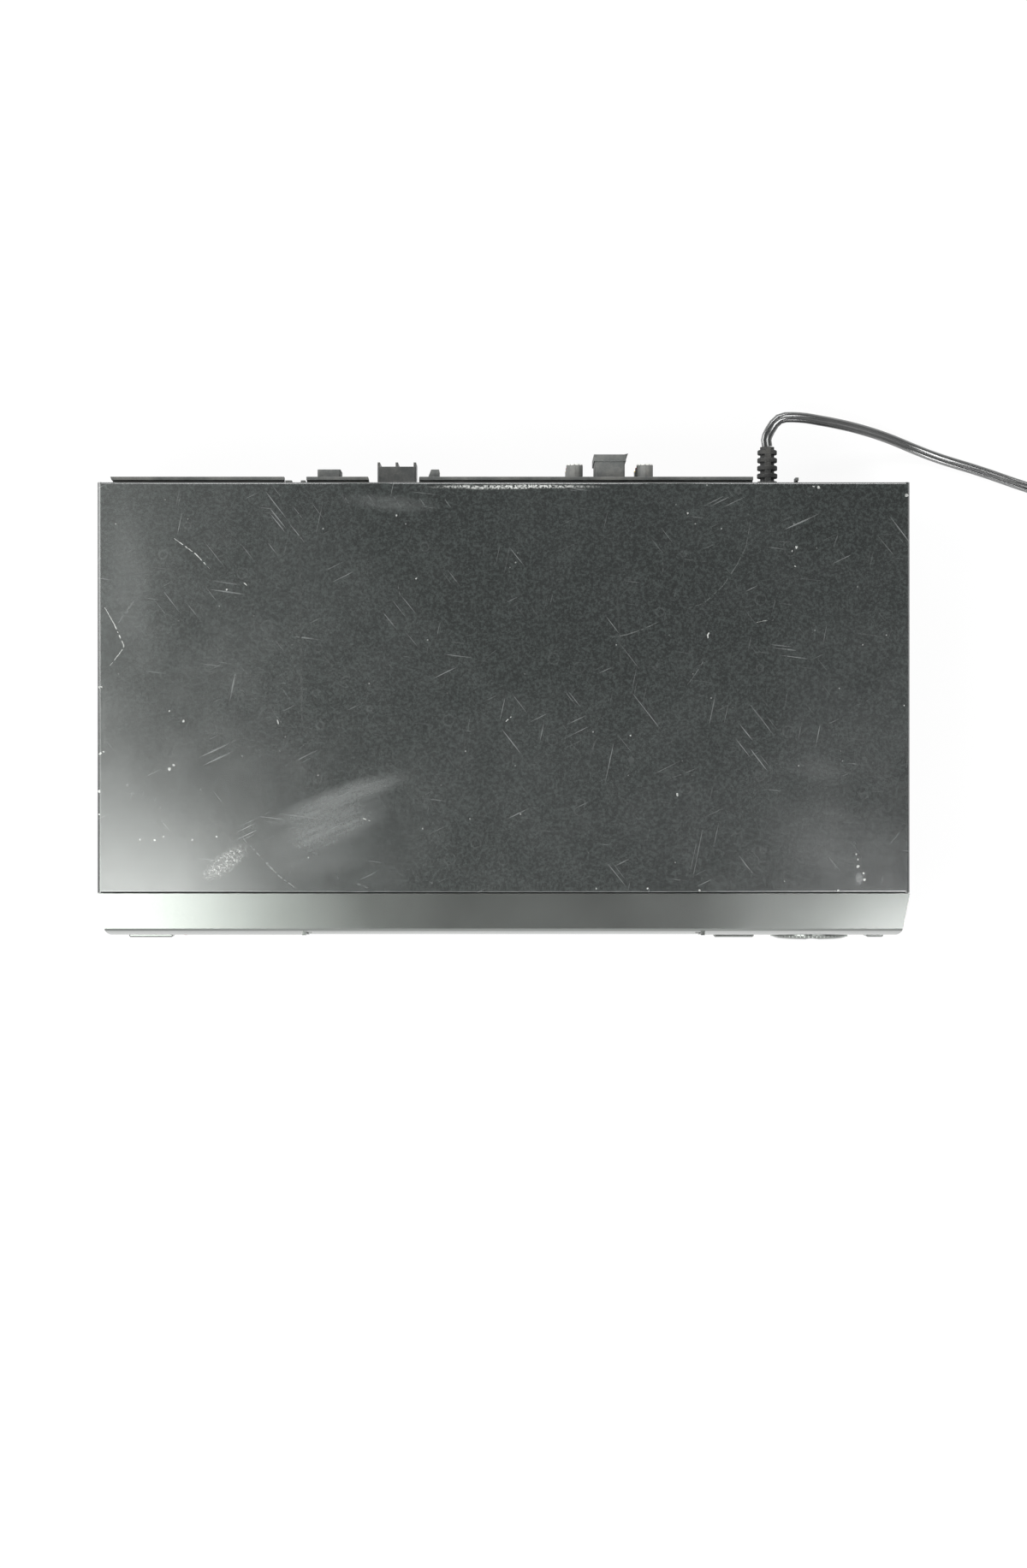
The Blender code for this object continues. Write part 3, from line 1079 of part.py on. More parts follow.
def smooth_points(route, spacing):
    # points a spacing apart on a Catmull-Rom curve through the route
    fine = []
    points = [Vector(p) for p in route]
    ends = [points[0] * 2 - points[1], *points, points[-1] * 2 - points[-2]]
    steps = 12
    for a, b, c, d in zip(ends, ends[1:], ends[2:], ends[3:]):
        for k in range(steps):
            t = k / steps
            fine.append((b * 2 + (c - a) * t + (a * 2 - b * 5 + c * 4 - d) * t ** 2
                         + (b * 3 - a - c * 3 + d) * t ** 3) / 2)
    fine.append(points[-1])
    total = sum((b - a).length for a, b in zip(fine, fine[1:]))
    count = round(total / spacing)
    kept = [fine[0]]
    run = 0.0
    for a, b in zip(fine, fine[1:]):
        run += (b - a).length
        if run >= total / count * len(kept) and len(kept) < count:
            kept.append(b)
    return [*kept, fine[-1]], total


def cord_curve(name, points, resolution):
    curve = bpy.data.curves.new(name, "CURVE")
    curve.dimensions = "3D"
    curve.bevel_depth = CORD_RADIUS
    curve.bevel_resolution = resolution
    curve.use_fill_caps = True
    spline = curve.splines.new("POLY")
    spline.points.add(len(points) - 1)
    for point, place in zip(spline.points, points):
        point.co = (*place, 1.0)
    curve.materials.append(made_material("cord_vinyl"))
    bpy.context.scene.collection.objects.link(bpy.data.objects.new(name, curve))


def coil_points(start, heading, mean_radius):
    # clockwise from the start: in along the lower layer, up in the half turn where it reverses, out again
    entry = heading + math.pi / 2
    turns = COIL_WHOLE_TURNS + entry / (2 * math.pi)
    spread = COIL_PITCH * turns / COIL_LAYERS
    outer = mean_radius + spread / 2
    points = [start]
    start = start + Vector((math.cos(heading), math.sin(heading), 0)) * CORD_DIAMETER
    middle = Vector((start.x - outer * math.cos(entry), start.y - outer * math.sin(entry), 0))
    count = round(turns * COIL_STEPS)
    for k in range(count + 1):
        turn = turns * k / count
        radius = outer - spread + COIL_PITCH * abs(turn - turns / COIL_LAYERS)
        climb = min(max((turn - turns / COIL_LAYERS) / CLIMB_TURNS + 0.5, 0.0), 1.0)
        angle = entry - 2 * math.pi * turn
        points.append(middle + Vector((radius * math.cos(angle), radius * math.sin(angle),
                                       start.z + COIL_PITCH * climb)))
    last = points[-1]
    level, landed = LEAD_SHARES[0], LEAD_SHARES[-2]
    for share in LEAD_SHARES:
        drop = min(max((share - level) / (landed - level), 0.0), 1.0)
        points.append(Vector((last.x, last.y - LEAD_RUN * share,
                              last.z + (PLUG_HEIGHT / 2 - last.z) * drop)))
    return points


def least_gap(points):
    # between stretches of the coil at least half a turn apart
    least = 1.0
    for i, a in enumerate(points):
        for j in range(i + COIL_STEPS // 2, len(points) - 1):
            b, c = points[j], points[j + 1]
            share = min(max((a - b).dot(c - b) / (c - b).length_squared, 0.0), 1.0)
            least = min(least, (a - b - (c - b) * share).length)
    return least - CORD_DIAMETER


def power_cord():
    points, run = smooth_points(CORD_ROUTE[1:], CORD_SPACING)
    points.insert(0, Vector(CORD_ROUTE[0]))
    run += (points[1] - points[0]).length
    cord_curve("power_cord", points, 2)
    along = points[-1] - points[-2]
    heading = math.atan2(along.y, along.x)
    turns = COIL_WHOLE_TURNS + (heading + math.pi / 2) / (2 * math.pi)
    mean_radius = (CORD_LENGTH - run - LEAD_RUN) / (2 * math.pi * turns)
    start = points[-1] + along.normalized() * FIT_GAP
    wound = coil_points(start, heading, mean_radius)
    cord_curve("cord_coil", wound, 1)
    print(f"cord: {run:.4f} m before the coil, whose mean radius is {mean_radius:.4f} m")
    print(f"least gap in the coil: {least_gap(wound):.5f} m")
    power_plug(wound[-1])


def power_plug(cord_end):
    x = cord_end.x
    nose = cord_end.y - FIT_GAP
    shoulder = nose - PLUG_NOSE
    front = shoulder - PLUG_LENGTH
    half = PLUG_WIDTH / 2
    neck = CORD_RADIUS + EDGE_BREAK
    outline = [(x - neck, nose), (x + neck, nose), (x + half * PLUG_SHOULDER_SHARE, shoulder),
               (x + half - PLUG_CORNER, shoulder - PLUG_CORNER / 2),
               (x + half, shoulder - PLUG_CORNER * 1.5), (x + half, front + PLUG_CORNER / 2),
               (x + half - PLUG_CORNER / 2, front), (x - half + PLUG_CORNER / 2, front),
               (x - half, front + PLUG_CORNER / 2), (x - half, shoulder - PLUG_CORNER * 1.5),
               (x - half + PLUG_CORNER, shoulder - PLUG_CORNER / 2),
               (x - half * PLUG_SHOULDER_SHARE, shoulder)]
    body = softened(prism(outline, "Z", 0.0, PLUG_HEIGHT), EDGE_BREAK * 2)
    blades = [softened(box((x + side * BLADE_PITCH / 2 - BLADE_SHEET / 2, front - BLADE_LENGTH,
                            PLUG_HEIGHT / 2 - BLADE_WIDTH / 2),
                           (x + side * BLADE_PITCH / 2 + BLADE_SHEET / 2, front + BLADE_SHEET,
                            PLUG_HEIGHT / 2 + BLADE_WIDTH / 2)), BLADE_SHEET / 4) for side in (-1, 1)]
    solid("power_plug", "cord_vinyl", body, ("join", gathered(blades)))


# Deck


def sled_direction(side):
    drum_y = deck_y(DRUM_PLACE_SHARE)
    start = Vector((side * SLED_START[0], drum_y - SLED_START[1], 0))
    return start, Vector((side * SLED_END[0], drum_y - SLED_END[1], 0)) - start


def sled_slot(side, half_width, low, high):
    start, travel = sled_direction(side)
    along = travel.normalized()
    across = Vector((-along.y, along.x, 0))
    ends = [start - along * (SLED_NECK + RUN_GAP), start + travel + along * (SLED_NECK + RUN_GAP)]
    corners = [ends[0] + across * half_width, ends[0] - across * half_width,
               ends[1] - across * half_width, ends[1] + across * half_width]
    return prism([(c.x, c.y) for c in corners], "Z", low, high)


def deck_plate():
    low = DECK_TOP - DECK_SHEET
    front = deck_y(0.0)
    reel_y = deck_y(REEL_PLACE_SHARE)
    sheet = box((-DECK_HALF, front, low), (DECK_HALF, DECK_REAR, DECK_TOP))
    skirts = [box((-DECK_HALF + DECK_SHEET, y, low - DECK_FLANGE),
                  (DECK_HALF - DECK_SHEET, y + DECK_SHEET, low + DECK_SHEET / 2))
              for y in (front + MERGE, DECK_REAR - DECK_SHEET - MERGE)]
    legs = [box((x, y, CHASSIS_TOP + FIT_GAP), (x + DECK_LEG, y + DECK_LEG, low + DECK_SHEET / 2))
            for x in (DECK_SHEET - DECK_HALF, DECK_HALF - DECK_LEG - DECK_SHEET)
            for y in (front + DECK_LEG, DECK_REAR - DECK_LEG * 2)]
    span = (low - OVERRUN, DECK_TOP + OVERRUN)
    slots = [sled_slot(side, SLED_NECK + RUN_GAP, *span) for side in (-1, 1)]
    bores = [rod((side * REEL_X, reel_y, 0), "Z", REEL_SHAFT + FIT_GAP, *span, 10) for side in (-1, 1)]
    bores.append(rod((CAPSTAN_X, deck_y(CAPSTAN_PLACE_SHARE), 0), "Z", CAPSTAN_RADIUS + RUN_GAP, *span, 10))
    bores.append(rod((0, reel_y - IDLER_SET, 0), "Z", REEL_SHAFT + FIT_GAP, *span, 10))
    feet_posts = [rod((x, y, 0), "Z", DRUM_FOOT_RADIUS, DECK_TOP - DECK_SHEET / 2,
                      DRUM_BASE_Z - DRUM_FOOT_RADIUS / 2, 10)
                  for x, y in ring_points(3, DRUM_RADIUS * DRUM_FOOT_SHARE,
                                          (0, deck_y(DRUM_PLACE_SHARE)), math.pi / 2)]
    solid("deck_plate", "zinc_steel", sheet, ("join", gathered(skirts)), ("join", gathered(legs)),
          ("join", gathered(feet_posts)), ("cut", gathered(slots + bores)))


def cassette_holder():
    front = holder_front()
    rear = front + HOLDER_DEPTH
    ledge = HOLDER_OUTER - HOLDER_LEDGE
    outline = [(-ledge, HOLDER_LOW), (-HOLDER_OUTER, HOLDER_LOW), (-HOLDER_OUTER, HOLDER_TOP),
               (HOLDER_OUTER, HOLDER_TOP), (HOLDER_OUTER, HOLDER_LOW), (ledge, HOLDER_LOW),
               (ledge, CASSETTE_FLOOR), (HOLDER_INNER, CASSETTE_FLOOR), (HOLDER_INNER, HOLDER_ROOF),
               (-HOLDER_INNER, HOLDER_ROOF), (-HOLDER_INNER, CASSETTE_FLOOR), (-ledge, CASSETTE_FLOOR)]
    window = softened(box((HOLDER_LEDGE - HOLDER_INNER, front + PIN_INSET, HOLDER_ROOF - OVERRUN),
                          (-HOLDER_LEDGE, rear - PIN_INSET, HOLDER_TOP + OVERRUN)), SLIDER_BAR / 6, "Z")
    window_right = softened(box((HOLDER_LEDGE, front + PIN_INSET, HOLDER_ROOF - OVERRUN),
                                (HOLDER_INNER - HOLDER_LEDGE, rear - PIN_INSET, HOLDER_TOP + OVERRUN)),
                            SLIDER_BAR / 6, "Z")
    stops = [box((min(a, b), rear - LIFT_SHEET, HOLDER_LOW + MERGE),
                 (max(a, b), rear - MERGE, HOLDER_LOW + HOLDER_STOP))
             for a, b in ((side * (ledge + LIFT_SHEET), side * (HOLDER_OUTER - MERGE))
                          for side in (-1, 1))]
    springs = [prism([(front + PIN_INSET + y, HOLDER_ROOF - z)
                      for y, z in ((0, -LIFT_SHEET / 2), (HOLDER_STOP, HOLDER_PLAY / 2),
                                   (HOLDER_STOP * 2, HOLDER_PLAY / 2),
                                   (HOLDER_STOP * 3, -LIFT_SHEET / 2))], "X", x - HOLDER_STOP / 2,
                     x + HOLDER_STOP / 2) for x in (-HOLDER_LEDGE / 2, HOLDER_LEDGE / 2)]
    pins = [rod((0, y, HOLDER_PIN_Z), "X", PIN_RADIUS,
                *sorted((side * (HOLDER_OUTER - LIFT_SHEET / 2), side * (SLIDER_OUTER + RUN_GAP / 2))),
                10) for side in (-1, 1) for y in (front + PIN_INSET, rear - PIN_INSET)]
    solid("cassette_holder", "zinc_steel", prism(outline, "Y", front, rear),
          ("cut", gathered([window, window_right])), ("join", gathered(stops)),
          ("join", gathered(springs)), ("join", gathered(pins)), origin=(0, front, HOLDER_PIN_Z))


def holder_slider():
    front = holder_front()
    rear = front + HOLDER_DEPTH
    bar_low = HOLDER_TOP + SLIDER_RISE
    plate_low = HOLDER_PIN_Z - DROP_TRAVEL - PIN_RADIUS * 3
    middle = (front + rear) / 2
    sides = []
    slots = []
    pins = []
    for side in (-1, 1):
        inner, outer = side * SLIDER_INNER, side * SLIDER_OUTER
        sides.append(box((min(inner, outer), front, plate_low),
                         (max(inner, outer), rear, bar_low + LIFT_SHEET - MERGE)))
        for y in (front + PIN_INSET, rear - PIN_INSET):
            half = PIN_RADIUS + FIT_GAP
            slots.append(softened(box((min(inner, outer) - OVERRUN / 4, y - half,
                                       HOLDER_PIN_Z - DROP_TRAVEL - half),
                                      (max(inner, outer) + OVERRUN / 4, y + half, HOLDER_PIN_Z + half)),
                                  half / 2, "X"))
            reach = RACK_INNER + RUN_GAP if side > 0 else BRACKET_OUTER + RUN_GAP
            pins.append(rod((0, y, TRACK_Z), "X", PIN_RADIUS,
                            *sorted((side * (SLIDER_INNER + LIFT_SHEET / 2), side * reach)), 10))
    bar = box((-SLIDER_OUTER + MERGE, middle - SLIDER_BAR / 2, bar_low),
              (SLIDER_OUTER - MERGE, middle + SLIDER_BAR / 2, bar_low + LIFT_SHEET))
    bead = box((HOLDER_LEDGE - SLIDER_INNER, middle - SLIDER_BAR / 6, bar_low + LIFT_SHEET / 2),
               (SLIDER_INNER - HOLDER_LEDGE, middle + SLIDER_BAR / 6, bar_low + LIFT_SHEET + SLIDER_BEAD))
    solid("holder_slider", "zinc_steel", gathered(sides), ("join", bar), ("join", bead),
          ("cut", gathered(slots)), ("join", gathered(pins)), ("join", rack_bar(rear)),
          origin=(0, front, TRACK_Z))


def gear_place():
    # the rack's rear end reaches one holder pin past the gear at rest
    return holder_front() + HOLDER_DEPTH, rack_line() - GEAR_RADIUS


def rack_line():
    return TRACK_Z - PIN_RADIUS * 2 - TOOTH_DEDENDUM_SHARE * TOOTH_MODULE


def rack_bar(rear):
    pitch = math.pi * TOOTH_MODULE
    middle, _ = gear_place()
    count = math.ceil(slide_travel() / pitch) + 4
    root = rack_line() + TOOTH_DEDENDUM_SHARE * TOOTH_MODULE
    tip = rack_line() - TOOTH_ADDENDUM_SHARE * TOOTH_MODULE
    points = []
    for k in range(1 - count + 2, 3):
        y = middle + pitch * k
        points += [(y - TOOTH_ROOT_SHARE * pitch, root), (y - TOOTH_TIP_SHARE * pitch, tip),
                   (y + TOOTH_TIP_SHARE * pitch, tip), (y + TOOTH_ROOT_SHARE * pitch, root)]
    top = TRACK_Z + PIN_RADIUS * 2
    outline = [*points, (middle + pitch * 3, root), (middle + pitch * 3, top),
               (min(points[0][0], holder_front()), top), (min(points[0][0], holder_front()), root)]
    return prism(outline, "X", RACK_INNER, RACK_OUTER)


def side_brackets():
    front = deck_y(0.0) + DECK_LEG / 2
    rear = holder_front() + HOLDER_DEPTH + slide_travel() + PIN_INSET
    half = PIN_RADIUS + FIT_GAP
    top = TRACK_Z + BRACKET_RISE
    for name, side in (("left", -1), ("right", 1)):
        inner, outer = side * BRACKET_INNER, side * BRACKET_OUTER
        wall = box((min(inner, outer), front, BRACKET_LOW), (max(inner, outer), rear, top))
        foot = box((min(inner, side * (BRACKET_INNER + BRACKET_FOOT)), front + MERGE,
                    BRACKET_LOW + MERGE), (max(inner, side * (BRACKET_INNER + BRACKET_FOOT)),
                                           rear - MERGE, BRACKET_LOW + LIFT_SHEET))
        track = softened(box((min(inner, outer) - OVERRUN / 4, holder_front() + PIN_INSET - half,
                              TRACK_Z - half), (max(inner, outer) + OVERRUN / 4,
                                                rear - PIN_INSET * 2 + half, TRACK_Z + half)), half / 2,
                         "X")
        relief = softened(box((min(inner, outer) - OVERRUN / 4, front + PIN_INSET * 2,
                               BRACKET_LOW + PIN_INSET), (max(inner, outer) + OVERRUN / 4,
                gear_place()[0] - GEAR_RADIUS, TRACK_Z - PIN_INSET * 2)), PIN_INSET / 3, "X")
        steps = [("join", foot), ("cut", gathered([track, relief]))]
        if side > 0:
            y, z = gear_place()
            steps.append(("join", rod((0, y, z), "X", PIN_RADIUS, BRACKET_INNER + LIFT_SHEET / 2,
                                      RACK_OUTER + RUN_GAP, 10)))
        solid(f"side_bracket_{name}", "zinc_steel", wall, *steps)


def pinion_place():
    # straight below the gear, or beside it where the motor would reach its foot
    y, z = gear_place()
    reach = GEAR_RADIUS + PINION_RADIUS
    low = max(z - reach, BRACKET_LOW + LIFT_SHEET + FIT_GAP + MOTOR_RADIUS)
    return y + math.sqrt(max(reach ** 2 - (z - low) ** 2, 0.0)), low


def loading_drive():
    y, z = gear_place()
    first = math.pi / 2 + math.pi / GEAR_TEETH
    gear = prism(gear_outline(GEAR_TEETH, (y, z), first), "X", RACK_INNER, RACK_OUTER)
    bore = rod((0, y, z), "X", PIN_RADIUS + FIT_GAP, RACK_INNER - OVERRUN, RACK_OUTER + OVERRUN, 10)
    holes = [rod((0, *place), "X", GEAR_HOLE, RACK_INNER - OVERRUN, RACK_OUTER + OVERRUN, 10)
             for place in ring_points(GEAR_HOLE_COUNT, GEAR_RADIUS * GEAR_HOLE_SHARE, (y, z))]
    solid("drive_gear", "white_plastic", gear, ("cut", gathered([bore, *holes])), origin=(RACK_INNER, y, z))
    pinion_y, low = pinion_place()
    along = math.atan2(low - z, pinion_y - y)
    # a gap of the pinion faces a tooth of the gear
    phase = (along - first) * GEAR_TEETH / PINION_TEETH - math.pi / PINION_TEETH
    y = pinion_y
    pinion = prism(gear_outline(PINION_TEETH, (y, low), along + math.pi + phase), "X", RACK_INNER, RACK_OUTER)
    shaft = rod((0, y, low), "X", PIN_RADIUS, RACK_INNER + MERGE, RACK_OUTER + MOTOR_PLATE + RUN_GAP * 3,
                10)
    solid("motor_pinion", "white_plastic", pinion, ("join", shaft), origin=(RACK_INNER, y, low))
    face = RACK_OUTER + RUN_GAP
    mount = box((face, y - MOTOR_RADIUS, BRACKET_LOW + LIFT_SHEET + FIT_GAP),
                (face + MOTOR_PLATE, y + MOTOR_RADIUS, low + MOTOR_RADIUS))
    foot = box((face, y - MOTOR_RADIUS, BRACKET_LOW + LIFT_SHEET + FIT_GAP),
               (face + MOTOR_PLATE * 5, y + MOTOR_RADIUS,
                BRACKET_LOW + LIFT_SHEET + FIT_GAP + MOTOR_PLATE))
    can = softened(rod((0, y, low), "X", MOTOR_RADIUS, face + MOTOR_PLATE / 2,
                       face + MOTOR_PLATE + MOTOR_LENGTH, 16), EDGE_BREAK)
    cap = rod((0, y, low), "X", MOTOR_CAP, face + MOTOR_PLATE + MOTOR_LENGTH / 2,
              face + MOTOR_PLATE + MOTOR_LENGTH + EDGE_BREAK * 4, 10)
    bearing = rod((0, y, low), "X", PIN_RADIUS + FIT_GAP, face - OVERRUN, face + MOTOR_PLATE + OVERRUN, 10)
    solid("loading_motor", "zinc_steel", mount, ("join", foot), ("join", can), ("join", cap),
          ("cut", bearing))


# Tape transport


def drums():
    # both stand upright in their own mesh and tilt together about the middle of their base
    middle = (0, deck_y(DRUM_PLACE_SHARE))
    origin = (*middle, DRUM_BASE_Z)
    turn = (-DRUM_TILT, 0, 0)
    base = DRUM_BASE_Z
    foot = DRUM_RADIUS * DRUM_BASE_SHARE
    high = base + LOWER_DRUM_HEIGHT
    bore = DRUM_SHAFT + FIT_GAP
    lower = [(bore, base), (foot, base), (foot, base + DRUM_GROOVE),
             (DRUM_RADIUS, base + DRUM_GROOVE * 2), (DRUM_RADIUS, high - DRUM_GROOVE),
             (DRUM_RADIUS - DRUM_GROOVE / 2, high), (bore, high)]
    ledge = tube((*middle, 0), "Z", DRUM_RADIUS - DRUM_GROOVE / 3, DRUM_RADIUS + OVERRUN, base - OVERRUN,
                 base + DRUM_GROOVE * 3, 28)
    bmesh.ops.rotate(ledge, verts=ledge.verts, cent=(*middle, base + DRUM_GROOVE * 3),
                     matrix=Matrix.Rotation(DRUM_TILT / 2, 3, "Y"))
    solid("lower_drum", "cast_alloy", turned(lower, (*middle, 0), "Z", 24), ("cut", ledge),
          origin=origin, turn=turn)
    low = high + FIT_GAP
    top = low + UPPER_DRUM_HEIGHT
    rim, floor = (DRUM_RADIUS * share for share in DRUM_RECESS_SHARES)
    upper = [(0, base + FIT_GAP), (DRUM_SHAFT, base + FIT_GAP), (DRUM_SHAFT, low),
             (DRUM_RADIUS - DRUM_GROOVE / 2, low), (DRUM_RADIUS, low + DRUM_GROOVE),
             (DRUM_RADIUS, top - DRUM_GROOVE), (DRUM_RADIUS - DRUM_GROOVE, top), (rim, top),
             (floor, top - DRUM_GROOVE * 2), (DRUM_SHAFT * 2, top - DRUM_GROOVE * 2),
             (DRUM_SHAFT * 2, top + DRUM_GROOVE), (0, top + DRUM_GROOVE)]
    windows = [box((x - HEAD_WINDOW / 2, y - HEAD_WINDOW / 2, low - OVERRUN),
                   (x + HEAD_WINDOW / 2, y + HEAD_WINDOW / 2, low + HEAD_WINDOW * HEAD_WINDOW_SHARE))
               for x, y in ring_points(HEAD_COUNT, DRUM_RADIUS, middle)]
    screws = [rod((x, y, 0), "Z", DRUM_GROOVE, top - DRUM_GROOVE * 3, top + OVERRUN, 8)
              for x, y in ring_points(HEAD_COUNT, DRUM_RADIUS * DRUM_SCREW_SHARE, middle, math.pi / 4)]
    solid("upper_drum", "cast_alloy", turned(upper, (*middle, 0), "Z", 24),
          ("cut", gathered(windows + screws)), origin=origin, turn=turn)


def reel_tables():
    for name, side in (("supply", -1), ("takeup", 1)):
        place = (side * REEL_X, deck_y(REEL_PLACE_SHARE))
        low = DECK_TOP + FIT_GAP
        table = low + REEL_TABLE
        top = low + REEL_HEIGHT
        profile = [(0, DECK_TOP - DECK_SHEET - REEL_SHAFT),
                   (REEL_SHAFT, DECK_TOP - DECK_SHEET - REEL_SHAFT), (REEL_SHAFT, low),
                   (REEL_RADIUS - EDGE_BREAK, low), (REEL_RADIUS, low + EDGE_BREAK),
                   (REEL_RADIUS, table - EDGE_BREAK * 2),
                   (REEL_RADIUS - EDGE_BREAK * 2, table - EDGE_BREAK),
                   (REEL_STEP + EDGE_BREAK, table - EDGE_BREAK), (REEL_STEP, table), (REEL_HUB, table),
                   (REEL_HUB - EDGE_BREAK, table + EDGE_BREAK * 2),
                   (REEL_SPINDLE, table + EDGE_BREAK * 2), (REEL_SPINDLE, top - REEL_SPINDLE),
                   (REEL_SPLINE, top), (0, top)]
        steps = []
        for k in range(3):
            fin = box((place[0], place[1] - REEL_SPLINE / 2, table),
                      (place[0] + REEL_SPINDLE + REEL_SPLINE, place[1] + REEL_SPLINE / 2,
                       top - REEL_SPINDLE))
            bmesh.ops.rotate(fin, verts=fin.verts, cent=(*place, 0),
                             matrix=Matrix.Rotation(2 * math.pi * k / 3, 3, "Z"))
            steps.append(("join", fin))
        solid(f"{name}_reel_table", "white_plastic", turned(profile, (*place, 0), "Z", 20), *steps,
              origin=(*place, low))


def idler():
    reel_y = deck_y(REEL_PLACE_SHARE)
    pivot = (0, reel_y - IDLER_SET)
    wheel_y = pivot[1] + IDLER_ARM
    swung = Vector((-math.sin(IDLER_SWING) * IDLER_ARM, pivot[1] + math.cos(IDLER_SWING) * IDLER_ARM, 0))
    wheel = (swung - Vector((-REEL_X, reel_y, 0))).length - REEL_RADIUS - RUN_GAP
    low = DECK_TOP + FIT_GAP
    arm_top = low + ARM_SHEET
    neck, end = (ARM_HALF_WIDTH * share for share in IDLER_ARM_SHARES)
    outline = [(-ARM_HALF_WIDTH, pivot[1] - ARM_HALF_WIDTH / 2),
               (-ARM_HALF_WIDTH / 2, pivot[1] - ARM_HALF_WIDTH),
               (ARM_HALF_WIDTH / 2, pivot[1] - ARM_HALF_WIDTH),
               (ARM_HALF_WIDTH, pivot[1] - ARM_HALF_WIDTH / 2), (neck, wheel_y), (end, wheel_y + neck),
               (-end, wheel_y + neck), (-neck, wheel_y)]
    pivot_pin = rod((*pivot, 0), "Z", REEL_SHAFT, DECK_TOP - DECK_SHEET - REEL_SHAFT,
                    arm_top + REEL_SHAFT * 2, 10)
    axle = rod((0, wheel_y, 0), "Z", REEL_SPLINE, arm_top - ARM_SHEET / 2,
               arm_top + FIT_GAP + IDLER_HEIGHT + EDGE_BREAK * 2, 10)
    solid("idler_arm", "zinc_steel", prism(outline, "Z", low, arm_top), ("join", pivot_pin),
          ("join", axle), origin=(*pivot, low))
    base = arm_top + FIT_GAP
    groove = EDGE_BREAK
    rim, outer, inner, hub = (wheel * share for share in IDLER_GROOVE_SHARES)
    profile = [(REEL_SPLINE + FIT_GAP, base), (wheel - groove, base), (wheel, base + groove),
               (wheel, base + IDLER_HEIGHT - groove), (wheel - groove, base + IDLER_HEIGHT),
               (rim, base + IDLER_HEIGHT), (outer, base + IDLER_HEIGHT - groove),
               (inner, base + IDLER_HEIGHT - groove), (hub, base + IDLER_HEIGHT),
               (REEL_SPLINE + FIT_GAP, base + IDLER_HEIGHT)]
    solid("idler_wheel", "soft_rubber", turned(profile, (0, wheel_y, 0), "Z", 18),
          origin=(0, wheel_y, base))


def capstan():
    x, y = CAPSTAN_X, deck_y(CAPSTAN_PLACE_SHARE)
    place = (x, y, 0)
    rim, web = (FLYWHEEL_RADIUS * share for share in FLYWHEEL_RIM_SHARES)
    low = FLYWHEEL_TOP - FLYWHEEL_SHEET
    profile = [(0, low - EDGE_BREAK * 2), (CAPSTAN_RADIUS * 2, low - EDGE_BREAK * 2),
               (CAPSTAN_RADIUS * 2, low), (FLYWHEEL_RADIUS - EDGE_BREAK, low),
               (FLYWHEEL_RADIUS, low + EDGE_BREAK), (FLYWHEEL_RADIUS, FLYWHEEL_TOP - EDGE_BREAK),
               (FLYWHEEL_RADIUS - EDGE_BREAK, FLYWHEEL_TOP), (rim, FLYWHEEL_TOP),
               (web, FLYWHEEL_TOP - EDGE_BREAK * 2), (FLYWHEEL_HUB, FLYWHEEL_TOP - EDGE_BREAK * 2),
               (FLYWHEEL_HUB - FLYWHEEL_HUB_SLOPE, FLYWHEEL_TOP), (CAPSTAN_RADIUS, FLYWHEEL_TOP),
               (CAPSTAN_RADIUS, CAPSTAN_TOP - EDGE_BREAK), (CAPSTAN_RADIUS - EDGE_BREAK, CAPSTAN_TOP),
               (0, CAPSTAN_TOP)]
    solid("capstan_flywheel", "polished_steel", turned(profile, place, "Z", 24), origin=(*place[:2], low))
    bearing = [(CAPSTAN_RADIUS + FIT_GAP, DECK_TOP + FIT_GAP), (BEARING_FLANGE, DECK_TOP + FIT_GAP),
               (BEARING_FLANGE, DECK_TOP + OVERRUN), (BEARING_RADIUS, DECK_TOP + OVERRUN + ARM_SHEET),
               (BEARING_RADIUS - ARM_SHEET, BEARING_TOP), (CAPSTAN_RADIUS + FIT_GAP, BEARING_TOP)]
    solid("capstan_bearing", "cast_alloy", turned(bearing, place, "Z", 16))
    base = CHASSIS_TOP + FIT_GAP
    stator_top = low - EDGE_BREAK * 2 - RUN_GAP
    board = softened(box((x - FLYWHEEL_RADIUS, y - FLYWHEEL_RADIUS, base + BOARD_STAND),
                         (x + FLYWHEEL_RADIUS, y + FLYWHEEL_RADIUS, base + BOARD_STAND + BOARD_SHEET)),
                     BOARD_STAND, "Z")
    out = FLYWHEEL_RADIUS * STATOR_STAND_SHARE
    stands = [rod((x + a * out, y + b * out, 0), "Z", BOSS_RADIUS, base,
                  base + BOARD_STAND + BOARD_SHEET / 2, 8) for a in (-1, 1) for b in (-1, 1)]
    coils = [rod((*spot, 0), "Z", STATOR_COIL, base + BOARD_STAND + BOARD_SHEET / 2, stator_top, 10)
             for spot in ring_points(STATOR_COIL_COUNT, FLYWHEEL_RADIUS * STATOR_COIL_SHARE, place)]
    solid("capstan_motor", "brown_board", board, ("join", gathered(stands)), ("join", gathered(coils)))


